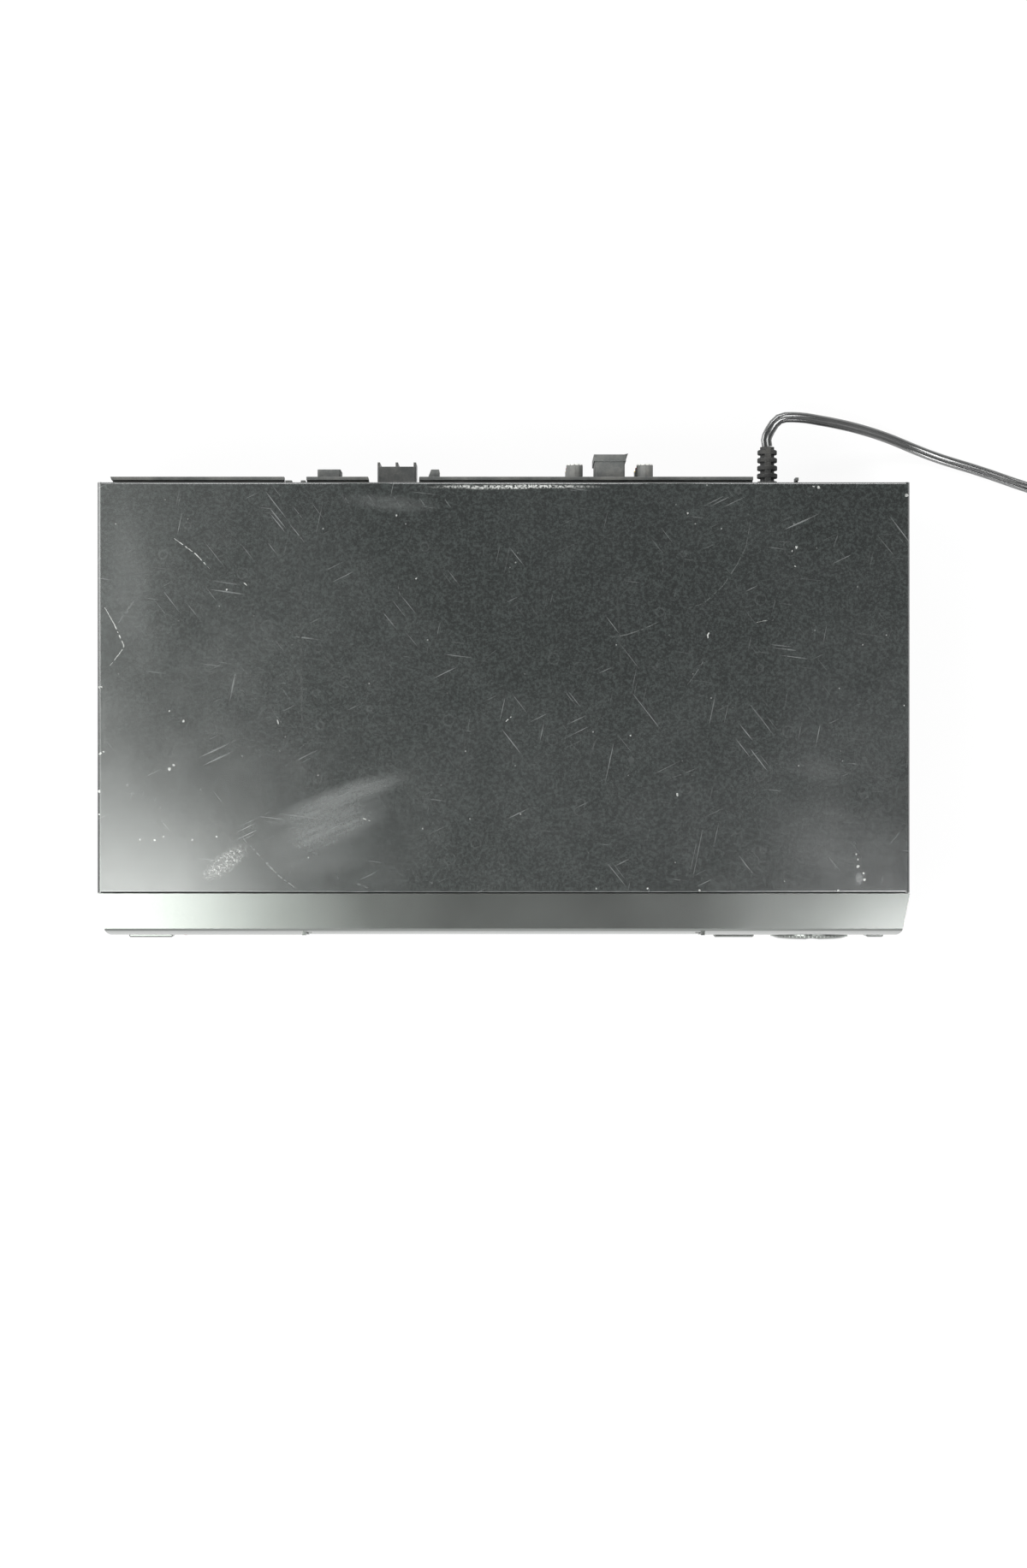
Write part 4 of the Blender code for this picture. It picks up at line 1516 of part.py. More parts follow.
def pinch_roller():
    pivot = Vector((CAPSTAN_X + PINCH_SET[0], deck_y(CAPSTAN_PLACE_SHARE) + PINCH_SET[1], 0))
    wide, tip, end = (ARM_HALF_WIDTH * share for share in PINCH_ARM_SHARES)
    centre = pivot + Vector((math.cos(PINCH_ANGLE), math.sin(PINCH_ANGLE), 0)) * PINCH_REACH
    low = DECK_TOP + FIT_GAP
    along = (centre - pivot).normalized()
    across = Vector((-along.y, along.x, 0))
    half = across * ARM_HALF_WIDTH
    corners = [pivot - along * ARM_HALF_WIDTH - half / 2, pivot - half, centre - across * wide,
               centre + along * tip - across * end, centre + along * tip + across * end,
               centre + across * wide, pivot + half, pivot - along * ARM_HALF_WIDTH + half / 2]
    outline = [(c.x, c.y) for c in corners]
    lower = prism(outline, "Z", PINCH_LOW - ARM_SHEET - FIT_GAP, PINCH_LOW - FIT_GAP)
    upper = prism(outline, "Z", PINCH_HIGH + FIT_GAP, PINCH_HIGH + FIT_GAP + ARM_SHEET)
    barrel = rod(pivot, "Z", wide, low, PINCH_HIGH + ARM_SHEET * 2, 12)
    axle = rod((*centre[:2], 0), "Z", REEL_SPLINE, PINCH_LOW - ARM_SHEET / 2, PINCH_HIGH + ARM_SHEET / 2,
               10)
    solid("pinch_arm", "zinc_steel", lower, ("join", barrel), ("join", upper), ("join", axle),
          origin=(*pivot[:2], low))
    profile = [(REEL_SPLINE + FIT_GAP, PINCH_LOW), (PINCH_CORE, PINCH_LOW),
               (PINCH_CORE, PINCH_LOW + EDGE_BREAK), (PINCH_RADIUS, PINCH_LOW + EDGE_BREAK * 2),
               (PINCH_RADIUS, PINCH_HIGH - EDGE_BREAK * 2), (PINCH_CORE, PINCH_HIGH - EDGE_BREAK),
               (PINCH_CORE, PINCH_HIGH), (REEL_SPLINE + FIT_GAP, PINCH_HIGH)]
    solid("pinch_roller", "soft_rubber", turned(profile, (*centre[:2], 0), "Z", 16),
          origin=(*centre[:2], PINCH_LOW))


def guide_sleds():
    for name, side in (("supply", -1), ("takeup", 1)):
        start, travel = sled_direction(side)
        along = travel.normalized()
        across = Vector((-along.y, along.x, 0))
        low = DECK_TOP + FIT_GAP
        height = SLED_FLANGE
        corners = [start + (along * a + across * b) * SLED_HALF for a, b in SLED_OUTLINE_SHARES]
        outline = [(c.x, c.y) for c in corners]
        neck = rod((*start[:2], 0), "Z", SLED_NECK, DECK_TOP - DECK_SHEET - OVERRUN, low + height / 2, 10)
        keeper = rod((*start[:2], 0), "Z", SLED_FLANGE, DECK_TOP - DECK_SHEET - FIT_GAP - ARM_SHEET,
                     DECK_TOP - DECK_SHEET - FIT_GAP, 12)
        collar = low + height * SLED_COLLAR_SHARE
        post_profile = [(0, low + height / 2), (SLED_STEM, low + height / 2), (SLED_STEM, collar),
                        (SLED_FLANGE, collar), (SLED_FLANGE, collar + ARM_SHEET),
                        (SLED_POST, collar + ARM_SHEET), (SLED_POST, SLED_TOP - ARM_SHEET * 2),
                        (SLED_FLANGE, SLED_TOP - ARM_SHEET * 2), (SLED_FLANGE, SLED_TOP - ARM_SHEET),
                        (SLED_STEM, SLED_TOP - ARM_SHEET), (SLED_STEM, SLED_TOP), (0, SLED_TOP)]
        middle = start + along * SLED_HALF * SLED_POST_SHARE
        pole = rod((0, 0, 0), "Z", POLE_RADIUS, 0.0, SLED_TOP - low - height * 2, 8)
        foot = start - along * SLED_HALF * SLED_POLE_SHARE + Vector((0, 0, low + height / 2))
        lean = Matrix.Translation(foot) @ Matrix.Rotation(-side * SLED_LEAN, 4, "Y")
        bmesh.ops.transform(pole, matrix=lean, verts=pole.verts)
        solid(f"{name}_guide_sled", "polished_steel", prism(outline, "Z", low, low + height),
              ("join", neck), ("join", keeper),
              ("join", turned(post_profile, (*middle[:2], 0), "Z", 12)), ("join", pole),
              origin=(*start[:2], low))


def fixed_heads():
    erase = (ERASE_HEAD[0], deck_y(DRUM_PLACE_SHARE) - ERASE_HEAD[1])
    audio = (CAPSTAN_X + AUDIO_HEAD[0], deck_y(CAPSTAN_PLACE_SHARE) + AUDIO_HEAD[1])
    for name, (x, y), material in (("full_erase_head", erase, "zinc_steel"),
                                   ("audio_head", audio, "polished_steel")):
        low = DECK_TOP + FIT_GAP
        post = rod((x, y, 0), "Z", HEAD_POST, low, HEAD_LOW + HEAD_POST, 10)
        base = softened(box((x - HEAD_WIDTH / 2, y - HEAD_DEPTH / 2, low + MERGE),
                            (x + HEAD_WIDTH / 2, y + HEAD_DEPTH / 2, low + ARM_SHEET)), HEAD_POST / 2,
                        "Z")
        block = softened(box((x - HEAD_WIDTH / 2, y - HEAD_DEPTH / 2, HEAD_LOW),
                             (x + HEAD_WIDTH / 2, y + HEAD_DEPTH / 2, HEAD_HIGH)), HEAD_POST / 3, "Z", 2)
        gap = box((x - EDGE_BREAK / 2, y - HEAD_DEPTH / 2 - OVERRUN, HEAD_LOW + HEAD_POST),
                  (x + EDGE_BREAK / 2, y - HEAD_DEPTH / 2 + EDGE_BREAK, HEAD_HIGH - HEAD_POST))
        solid(name, material, block, ("join", post), ("join", base), ("cut", gap))


# Boards inside


def chips(places, low):
    return [box((x - a / 2, y - b / 2, low), (x + a / 2, y + b / 2, low + h)) for x, y, a, b, h in places]


def cans(places, low):
    return [rod((x, y, 0), "Z", CAPACITOR_RADIUS, low, low + CAPACITOR_HEIGHT, 10) for x, y in places]


def main_board():
    left = MAIN_BOARD_MARGIN - HALF_WIDTH
    front = SEAM_Y + MAIN_BOARD_MARGIN
    rear = PANEL_INNER_Y - FIT_GAP * 2
    back = rear - JACK_BOARD_DEPTH
    outline = [(left, front), (MAIN_BOARD_RIGHT, front), (MAIN_BOARD_RIGHT, back),
               (JACK_BOARD_RIGHT, back), (JACK_BOARD_RIGHT, rear), (left, rear)]
    width = MAIN_BOARD_RIGHT - left
    low = BOARD_TOP - BOARD_SHEET / 2
    long_chip, short_chip = (width * share for share in CHIP_SIZE_SHARES)
    places = [(left + width * u, front + (rear - front) * v, long_chip, short_chip,
               BOARD_SHEET / 2 + CHIP_HEIGHT) for u, v in CHIP_SHARES]
    cylinders = cans([(left + width * u, front + (rear - front) * v) for u, v in CAN_SHARES], low)
    (near_x, near_y), (far_x, far_y) = SHIELD_SHARES
    shield = softened(box((left + width * near_x, rear - width * near_y, low),
                          (left + width * far_x, rear - width * far_y, BOARD_TOP + CAPACITOR_HEIGHT)),
                      EDGE_BREAK, "Z")
    solid("main_board", "brown_board", prism(outline, "Z", BOARD_BOTTOM, BOARD_TOP),
          ("join", gathered(chips(places, low) + cylinders)), ("join", shield))


def power_supply():
    right = RIGHT_INSIDE
    rear = PANEL_INNER_Y - FIT_GAP * 2
    low = BOARD_TOP - BOARD_SHEET / 2
    width = right - POWER_BOARD_LEFT
    depth = rear - POWER_BOARD_FRONT

    def spot(shares):
        return POWER_BOARD_LEFT + width * shares[0], POWER_BOARD_FRONT + depth * shares[1]

    board = box((POWER_BOARD_LEFT, POWER_BOARD_FRONT, BOARD_BOTTOM), (right, rear, BOARD_TOP))
    reservoir = softened(rod((*spot(RESERVOIR_SHARES), 0), "Z", RESERVOIR_RADIUS, low,
                             BOARD_TOP + RESERVOIR_HEIGHT, 16), EDGE_BREAK)
    small = cans([spot(shares) for shares in POWER_CAN_SHARES], low)
    sink_x, sink_y = spot(SINK_SHARES)
    sink_width = width * SINK_WIDTH_SHARE
    sink = box((sink_x, sink_y, low), (sink_x + sink_width, sink_y + SINK_SHEET, BOARD_TOP + SINK_HEIGHT))
    fins = [box((sink_x + sink_width * share - SINK_SHEET / 2, sink_y + SINK_SHEET / 2, low),
                (sink_x + sink_width * share + SINK_SHEET / 2, sink_y + SINK_SHEET * 4,
                 BOARD_TOP + SINK_HEIGHT - EDGE_BREAK)) for share in SINK_FIN_SHARES]
    fuse_x, fuse_y = spot(FUSE_SHARES)
    fuse = rod((fuse_x, 0, BOARD_TOP + CAPACITOR_RADIUS / 2), "Y", FUSE_RADIUS, fuse_y,
               fuse_y + RESERVOIR_RADIUS, 10)
    solid("power_supply_board", "brown_board", board, ("join", gathered([reservoir, *small])),
          ("join", sink), ("join", gathered(fins)), ("join", fuse))
    x, y = spot(TRANSFORMER_SHARES)
    a, b, height = TRANSFORMER_SIZE
    base = BOARD_TOP + FIT_GAP
    core = softened(box((x - a / 2, y - b / 4, base), (x + a / 2, y + b / 4, base + height)), EDGE_BREAK)
    wound_low, wound_high = (base + height * share for share in WINDING_SHARES)
    cheek_low, cheek_high = (base + height * share for share in BOBBIN_SHARES)
    winding = softened(box((x - a / 4, y - b / 2, wound_low), (x + a / 4, y + b / 2, wound_high)),
                       EDGE_BREAK * 3)
    bobbin = [box((x - a / 4 - SINK_SHEET / 2, y + side * b / 2 - SINK_SHEET / 2, cheek_low),
                  (x + a / 4 + SINK_SHEET / 2, y + side * b / 2 + SINK_SHEET / 2, cheek_high))
              for side in (-1, 1)]
    solid("power_transformer", "copper_winding", core, ("join", winding), ("join", gathered(bobbin)))


def clear_scene():
    for piece in list(bpy.data.objects):
        bpy.data.objects.remove(piece, do_unlink=True)


def build():
    clear_scene()
    for make in (top_cover, bottom_chassis, feet, front_bezel, cassette_door, display, buttons,
                 shuttle_ring, front_board, front_av_jacks, rear_panel, channel_switch, rear_jacks,
                 tuner_module, strain_relief, power_cord, deck_plate, cassette_holder, holder_slider,
                 side_brackets, loading_drive, drums, reel_tables, idler, capstan, pinch_roller,
                 guide_sleds, fixed_heads, main_board, power_supply):
        make()


build()
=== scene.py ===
import bmesh
import bpy
import json
import math
import random
from mathutils import Matrix, Vector


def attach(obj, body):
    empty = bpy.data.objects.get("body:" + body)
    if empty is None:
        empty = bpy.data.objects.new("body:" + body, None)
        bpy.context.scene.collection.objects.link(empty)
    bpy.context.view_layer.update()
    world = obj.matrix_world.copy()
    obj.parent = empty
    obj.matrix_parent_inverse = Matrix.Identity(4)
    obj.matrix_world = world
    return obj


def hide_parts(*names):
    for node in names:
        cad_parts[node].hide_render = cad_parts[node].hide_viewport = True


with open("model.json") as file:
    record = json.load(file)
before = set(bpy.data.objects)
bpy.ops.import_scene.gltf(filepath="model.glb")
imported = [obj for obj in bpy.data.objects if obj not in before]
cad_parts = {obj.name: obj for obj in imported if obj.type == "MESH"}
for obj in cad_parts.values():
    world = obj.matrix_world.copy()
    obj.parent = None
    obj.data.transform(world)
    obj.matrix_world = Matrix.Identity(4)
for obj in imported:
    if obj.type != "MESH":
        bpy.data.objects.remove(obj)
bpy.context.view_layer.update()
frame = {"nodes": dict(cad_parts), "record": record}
scene = bpy.context.scene
scene.view_settings.view_transform = "Standard"
dice = random.Random(7)
print("frame loaded")

# camera, looking straight down as in the photograph

view = {"place": (0.0049, -0.0471, 1.594), "lens": 69.97, "sensor": 36.0}
cameraData = bpy.data.cameras.new("topCamera")
cameraData.lens = view["lens"]
cameraData.sensor_width = view["sensor"]
camera = bpy.data.objects.new("topCamera", cameraData)
camera.location = view["place"]
scene.collection.objects.link(camera)
scene.camera = camera


# node helpers

def addNode(tree, kind, inputs=None, **settings):
    node = tree.nodes.new("ShaderNode" + kind)
    for key, value in settings.items():
        setattr(node, key, value)
    for key, value in (inputs or {}).items():
        if isinstance(value, bpy.types.NodeSocket):
            tree.links.new(value, node.inputs[key])
        else:
            node.inputs[key].default_value = value
    return node


def sums(tree, operation, a, b=0.0, clamp=False):
    return addNode(tree, "Math", {0: a, 1: b}, operation=operation, use_clamp=clamp).outputs[0]


def times(tree, a, b):
    return sums(tree, "MULTIPLY", a, b)


def vectors(tree, operation, a, b=(0, 0, 0), scale=1.0):
    return addNode(tree, "VectorMath", {0: a, 1: b, 3: scale}, operation=operation).outputs


def split(tree, kind, value, index):
    return addNode(tree, "Separate" + kind, {0: value}).outputs[index]


def remap(tree, value, low, high, toLow=0.0, toHigh=1.0, soft=True):
    return addNode(tree, "MapRange",
                   {"Value": value, "From Min": low, "From Max": high, "To Min": toLow, "To Max": toHigh},
                   interpolation_type="SMOOTHSTEP" if soft else "LINEAR").outputs["Result"]


def noise(tree, where, scale, detail=3.0, rough=0.5, twist=0.0):
    return addNode(tree, "TexNoise",
                   {"Vector": where, "Scale": scale, "Detail": detail, "Roughness": rough,
                    "Distortion": twist}).outputs["Fac"]


def mapped(tree, where, scale=(1, 1, 1), turn=(0, 0, 0), place=(0, 0, 0)):
    return addNode(tree, "Mapping",
                   {"Vector": where, "Scale": scale, "Rotation": turn, "Location": place}).outputs["Vector"]


def blendColours(tree, share, a, b):
    mixer = addNode(tree, "Mix", {0: share}, data_type="RGBA")
    for socket, value in ((mixer.inputs[6], a), (mixer.inputs[7], b)):
        if isinstance(value, bpy.types.NodeSocket):
            tree.links.new(value, socket)
        else:
            socket.default_value = (*value, 1.0)
    return mixer.outputs[2]


def edgeMask(tree, radius, low=0.02, high=0.25):
    # 1 along convex and concave edges, from how far a rounded normal leans off the face's own
    rounded = addNode(tree, "Bevel", {"Radius": radius}, samples=4).outputs["Normal"]
    flat = addNode(tree, "NewGeometry").outputs["Normal"]
    lean = vectors(tree, "DOT_PRODUCT", rounded, flat)["Value"]
    return remap(tree, sums(tree, "SUBTRACT", 1.0, lean), low, high)


def startMaterial(name):
    material = bpy.data.materials.new(name)
    material.use_nodes = True
    tree = material.node_tree
    shader = tree.nodes["Principled BSDF"]
    where = addNode(tree, "TexCoord").outputs["Object"]
    return material, tree, shader, where


def wireShader(tree, shader, shade, roughness, relief, levels):
    # relief: height, strength and distance of the bump; levels: the shader's constants
    tree.links.new(shade, shader.inputs["Base Color"])
    tree.links.new(roughness, shader.inputs["Roughness"])
    for key, value in levels.items():
        shader.inputs[key].default_value = value
    bumped = addNode(tree, "Bump", dict(zip(("Height", "Strength", "Distance"), relief)))
    tree.links.new(bumped.outputs["Normal"], shader.inputs["Normal"])


def dressed(name, colour, rough, metallic=0.0, vary=0.15, patch=25.0, grain=900.0, bump=0.05,
            wear=None, wearAt=0.0006, dust=0.0, stretch=(1, 1, 1), coat=0.0, level=0.5, spread=0.1, ior=1.5):
    # colour and roughness in soft patches, a fine grain, edge wear and settled dust
    material, tree, shader, where = startMaterial(name)
    patches = noise(tree, where, patch, 4.0, 0.6)
    fine = noise(tree, mapped(tree, where, stretch), grain, 2.0, 0.6)
    darker = [c * (1 - vary) for c in colour]
    lighter = [min(c * (1 + vary), 1.0) for c in colour]
    shade = blendColours(tree, remap(tree, patches, 0.3, 0.7), darker, lighter)
    shade = blendColours(tree, remap(tree, fine, 0.35, 0.65, 0.0, 0.35), shade,
                         [c * (1 - vary) for c in darker])
    roughness = remap(tree, sums(tree, "ADD", patches, times(tree, fine, 0.5)),
                      0.5, 1.0, max(rough - spread, 0.03), min(rough + spread, 1.0))
    if wear:
        worn = times(tree, edgeMask(tree, wearAt),
                     remap(tree, noise(tree, where, 160.0, 5.0, 0.7), 0.45, 0.6))
        shade = blendColours(tree, worn, shade, wear)
    if dust:
        up = split(tree, "XYZ", addNode(tree, "NewGeometry").outputs["Normal"], "Z")
        settled = times(tree, remap(tree, up, 0.4, 0.95),
                        remap(tree, noise(tree, where, 90.0, 6.0, 0.75), 0.35, 0.75, 0.0, dust))
        shade = blendColours(tree, settled, shade, (0.42, 0.40, 0.36))
        roughness = sums(tree, "ADD", roughness, times(tree, settled, 0.4), True)
    wireShader(tree, shader, shade, roughness, (fine, bump, 0.0003),
               {"Metallic": metallic, "Coat Weight": coat, "Specular IOR Level": level, "IOR": ior})
    return material


def strongest(tree, masks):
    total = masks[0]
    for mask in masks[1:]:
        total = sums(tree, "MAXIMUM", total, mask)
    return total


# cover paint: satin grey over steel, rubbed, scratched and spotted as on the photographed one

coverWearAndPaintedLight = {
    "base": (0.0098, 0.0118, 0.0113), "rubbed": (0.24, 0.25, 0.25), "bare": (0.62, 0.63, 0.61),
    # runs of points in metres, half width, strength
    "lines": [
        ([(-0.1973, 0.0417), (-0.1916, 0.0317), (-0.1865, 0.0204), (-0.1936, 0.011)], 0.00032, 0.66),
        ([(-0.1897, 0.0319), (-0.1856, 0.0378), (-0.1802, 0.0452)], 0.0008, 0.45),
        ([(-0.1956, 0.0013), (-0.1968, -0.0113), (-0.1964, -0.0281)], 0.0012, 0.2),
        ([(-0.1621, 0.0738), (-0.1514, 0.0661), (-0.1446, 0.0588)], 0.0003, 0.64),
        ([(-0.1278, 0.0521), (-0.1258, 0.0501)], 0.0004, 0.7),
        ([(-0.1354, 0.057), (-0.132, 0.057)], 0.0003, 0.4),
        ([(-0.052, 0.0507), (-0.0508, 0.0452)], 0.0003, 0.6),
        ([(-0.048, 0.0689), (-0.0432, 0.063)], 0.0004, 0.4),
        ([(-0.0668, 0.0625), (-0.0668, 0.0545)], 0.0003, 0.35),
        ([(-0.0647, -0.0002), (-0.0574, -0.0006)], 0.0003, 0.4),
        ([(-0.0459, -0.017), (-0.0359, -0.0177)], 0.0003, 0.4),
        ([(-0.0627, -0.0174), (-0.0459, -0.0201)], 0.0003, 0.2),
        ([(0.001, -0.0165), (0.0039, -0.0138)], 0.0004, 0.65),
        ([(-0.1003, 0.0866), (-0.1, 0.0437), (-0.0992, -0.0182)], 0.001, 0.1),
        ([(-0.1114, -0.0153), (-0.1108, -0.0178)], 0.0005, 0.8),
        ([(-0.1973, -0.0311), (-0.1947, -0.0319)], 0.0005, 0.7),
        ([(-0.1989, 0.0012), (-0.1973, 0.0004)], 0.0005, 0.7),
        ([(0.0523, 0.0251), (0.0595, 0.0261), (0.0677, 0.0287), (0.0763, 0.0327)], 0.0004, 0.5),
        ([(0.0898, 0.0392), (0.0986, 0.0418), (0.1079, 0.0504), (0.1146, 0.0604), (0.1193, 0.0697),
          (0.122, 0.0844)], 0.0003, 0.42),
        ([(0.0905, 0.0386), (0.0932, 0.0299), (0.0952, 0.0191)], 0.0003, 0.3),
        ([(0.1006, 0.0184), (0.0972, 0.0111), (0.0905, 0.0017)], 0.0004, 0.45),
        ([(0.1012, 0.0275), (0.1003, 0.0265), (0.1006, 0.0244)], 0.0005, 0.8),
        ([(0.0784, 0.0641), (0.0784, 0.0568)], 0.0003, 0.45),
        ([(0.1646, 0.0758), (0.1622, 0.0692)], 0.0003, 0.5),
        ([(0.1865, 0.0756), (0.1979, 0.0765)], 0.0003, 0.35),
        ([(0.1401, 0.0281), (0.1388, 0.0107)], 0.0003, 0.2),
        ([(0.1449, 0.0667), (0.1428, 0.0481)], 0.0003, 0.2),
        ([(0.0885, 0.085), (0.0885, 0.0459)], 0.0004, 0.12),
        ([(0.0556, 0.0517), (0.057, 0.0269), (0.0582, -0.0021)], 0.0007, 0.1),
        ([(-0.1289, -0.0729), (-0.1173, -0.0853), (-0.1101, -0.0927), (-0.1013, -0.099)], 0.0006, 0.5),
        ([(-0.1383, -0.0708), (-0.1249, -0.0839)], 0.0008, 0.3),
        ([(-0.0977, -0.0795), (-0.0912, -0.0817)], 0.0005, 0.45),
        ([(-0.0693, -0.064), (-0.0655, -0.0653)], 0.0005, 0.75),
        ([(-0.1434, -0.0665), (-0.1362, -0.0687)], 0.0006, 0.4),
        ([(-0.0825, -0.091), (-0.0811, -0.094)], 0.0004, 0.45),
        ([(-0.0723, -0.0961), (-0.0665, -0.0983)], 0.0006, 0.45),
        ([(-0.0361, -0.0954), (-0.0332, -0.0966)], 0.0005, 0.6),
        ([(0.0456, -0.0249), (0.0422, -0.0341)], 0.0008, 0.38),
        ([(0.0607, -0.0381), (0.0599, -0.0439)], 0.0004, 0.3),
        ([(0.0824, -0.0441), (0.089, -0.0419), (0.0955, -0.039)], 0.0003, 0.42),
        ([(0.0848, -0.0507), (0.0858, -0.0528), (0.0856, -0.0546)], 0.0006, 0.8),
        ([(0.1336, -0.0771), (0.1403, -0.0738)], 0.0003, 0.4),
        ([(0.1896, -0.0765), (0.1925, -0.074), (0.1949, -0.0707)], 0.0003, 0.5),
        ([(0.0508, -0.0868), (0.0574, -0.0802)], 0.0003, 0.25),
        ([(0.1179, -0.0934), (0.1212, -0.0993)], 0.0003, 0.4),
        ([(0.0922, -0.0957), (0.0942, -0.0934)], 0.0004, 0.45),
        ([(0.1264, -0.045), (0.1277, -0.0408)], 0.0003, 0.35),
        ([(0.1487, -0.0934), (0.1495, -0.0974)], 0.0004, 0.4),
        ([(-0.0815, 0.0977), (-0.0744, 0.0868)], 0.0006, 0.3),
        ([(-0.0744, 0.0961), (-0.0689, 0.0894)], 0.0004, 0.4),
        ([(-0.0668, 0.097), (-0.0596, 0.0903)], 0.0004, 0.3),
        ([(0.1736, -0.0765), (0.174, -0.084)], 0.0004, 0.3),
    ],
    "spots": [((0.1744, -0.0876), 0.001), ((0.1744, -0.0843), 0.0006), ((0.1736, -0.0817), 0.0005),
              ((0.1775, -0.0941), 0.0009), ((0.1771, -0.0911), 0.0006), ((-0.1362, 0.0486), 0.0006),
              ((-0.0527, 0.0851), 0.0006), ((-0.043, 0.054), 0.0007), ((-0.1574, -0.0161), 0.0011),
              ((-0.1644, -0.0112), 0.0006), ((0.0906, 0.0862), 0.0006), ((0.1441, 0.0694), 0.0009),
              ((0.142, 0.0676), 0.0005), ((0.1435, 0.0601), 0.0006), ((0.1984, 0.0949), 0.0012),
              ((0.1549, 0.0989), 0.001), ((0.1525, 0.0994), 0.0007), ((0.0624, -0.0233), 0.0006),
              ((-0.1644, -0.0398), 0.0011), ((-0.1623, -0.0377), 0.0008), ((-0.1716, -0.0747), 0.0006),
              ((-0.1532, -0.0746), 0.0006), ((-0.1412, -0.073), 0.0006), ((-0.1673, -0.073), 0.0005),
              ((-0.1789, -0.0745), 0.0005), ((-0.1989, -0.0508), 0.0009), ((-0.1985, -0.0323), 0.001),
              ((-0.1989, -0.0621), 0.0007), ((-0.1989, 0.0004), 0.0009), ((0.1971, -0.0085), 0.0005),
              ((0.1647, -0.0995), 0.0006), ((0.0709, -0.0986), 0.0006), ((0.0965, -0.0995), 0.0008),
              ((0.0456, -0.0986), 0.0005)],
    # rubbed hazes, the broad one at the front right corner a painted pool of light: centre, half lengths,
    # turn in degrees, strength
    "hazes": [((-0.0815, -0.0552), (0.044, 0.0085), 20, 0.3), ((-0.0857, -0.0678), (0.038, 0.016), 24, 0.26),
              ((-0.0912, -0.0839), (0.03, 0.012), 8, 0.12), ((0.1668, -0.0765), (0.038, 0.026), -6, 0.09),
              ((0.1542, -0.0396), (0.02, 0.0085), -4, 0.06), ((-0.1840, 0.05), (0.014, 0.05), 6, 0.10),
              ((-0.0563, 0.0912), (0.03, 0.0055), -4, 0.13), ((0.1751, -0.0934), (0.0036, 0.0042), 20, 0.4)],
    "scuff": ((-0.1375, -0.0862), (0.0165, 0.0060), 36),
    "rearRub": ((0.0048, 0.0992), (0.0500, 0.0014)),
}
# a row of short strokes, alike and evenly spaced, near the rear edge
for k in range(9):
    x, y = round(-0.0794 + 0.006312 * k, 4), round(0.09604 - 0.000375 * k, 4)
    coverWearAndPaintedLight["lines"].append(([(x, y), (round(x + 0.0038, 4), round(0.0902 - 0.0003 * k, 4))], 0.0004,
                               0.3 if k % 2 else 0.42))


def patchMask(tree, where, centre, halves, turn, inner=0.0):
    # 1 in the middle of an oval, falling softly to 0 at its rim
    moved = mapped(tree, where, place=(-centre[0], -centre[1], 0))
    turned = mapped(tree, moved, turn=(0, 0, -math.radians(turn)))
    sized = mapped(tree, turned, scale=(1 / halves[0], 1 / halves[1], 0))
    return remap(tree, vectors(tree, "LENGTH", sized)["Value"], inner, 1.0, 1.0, 0.0)


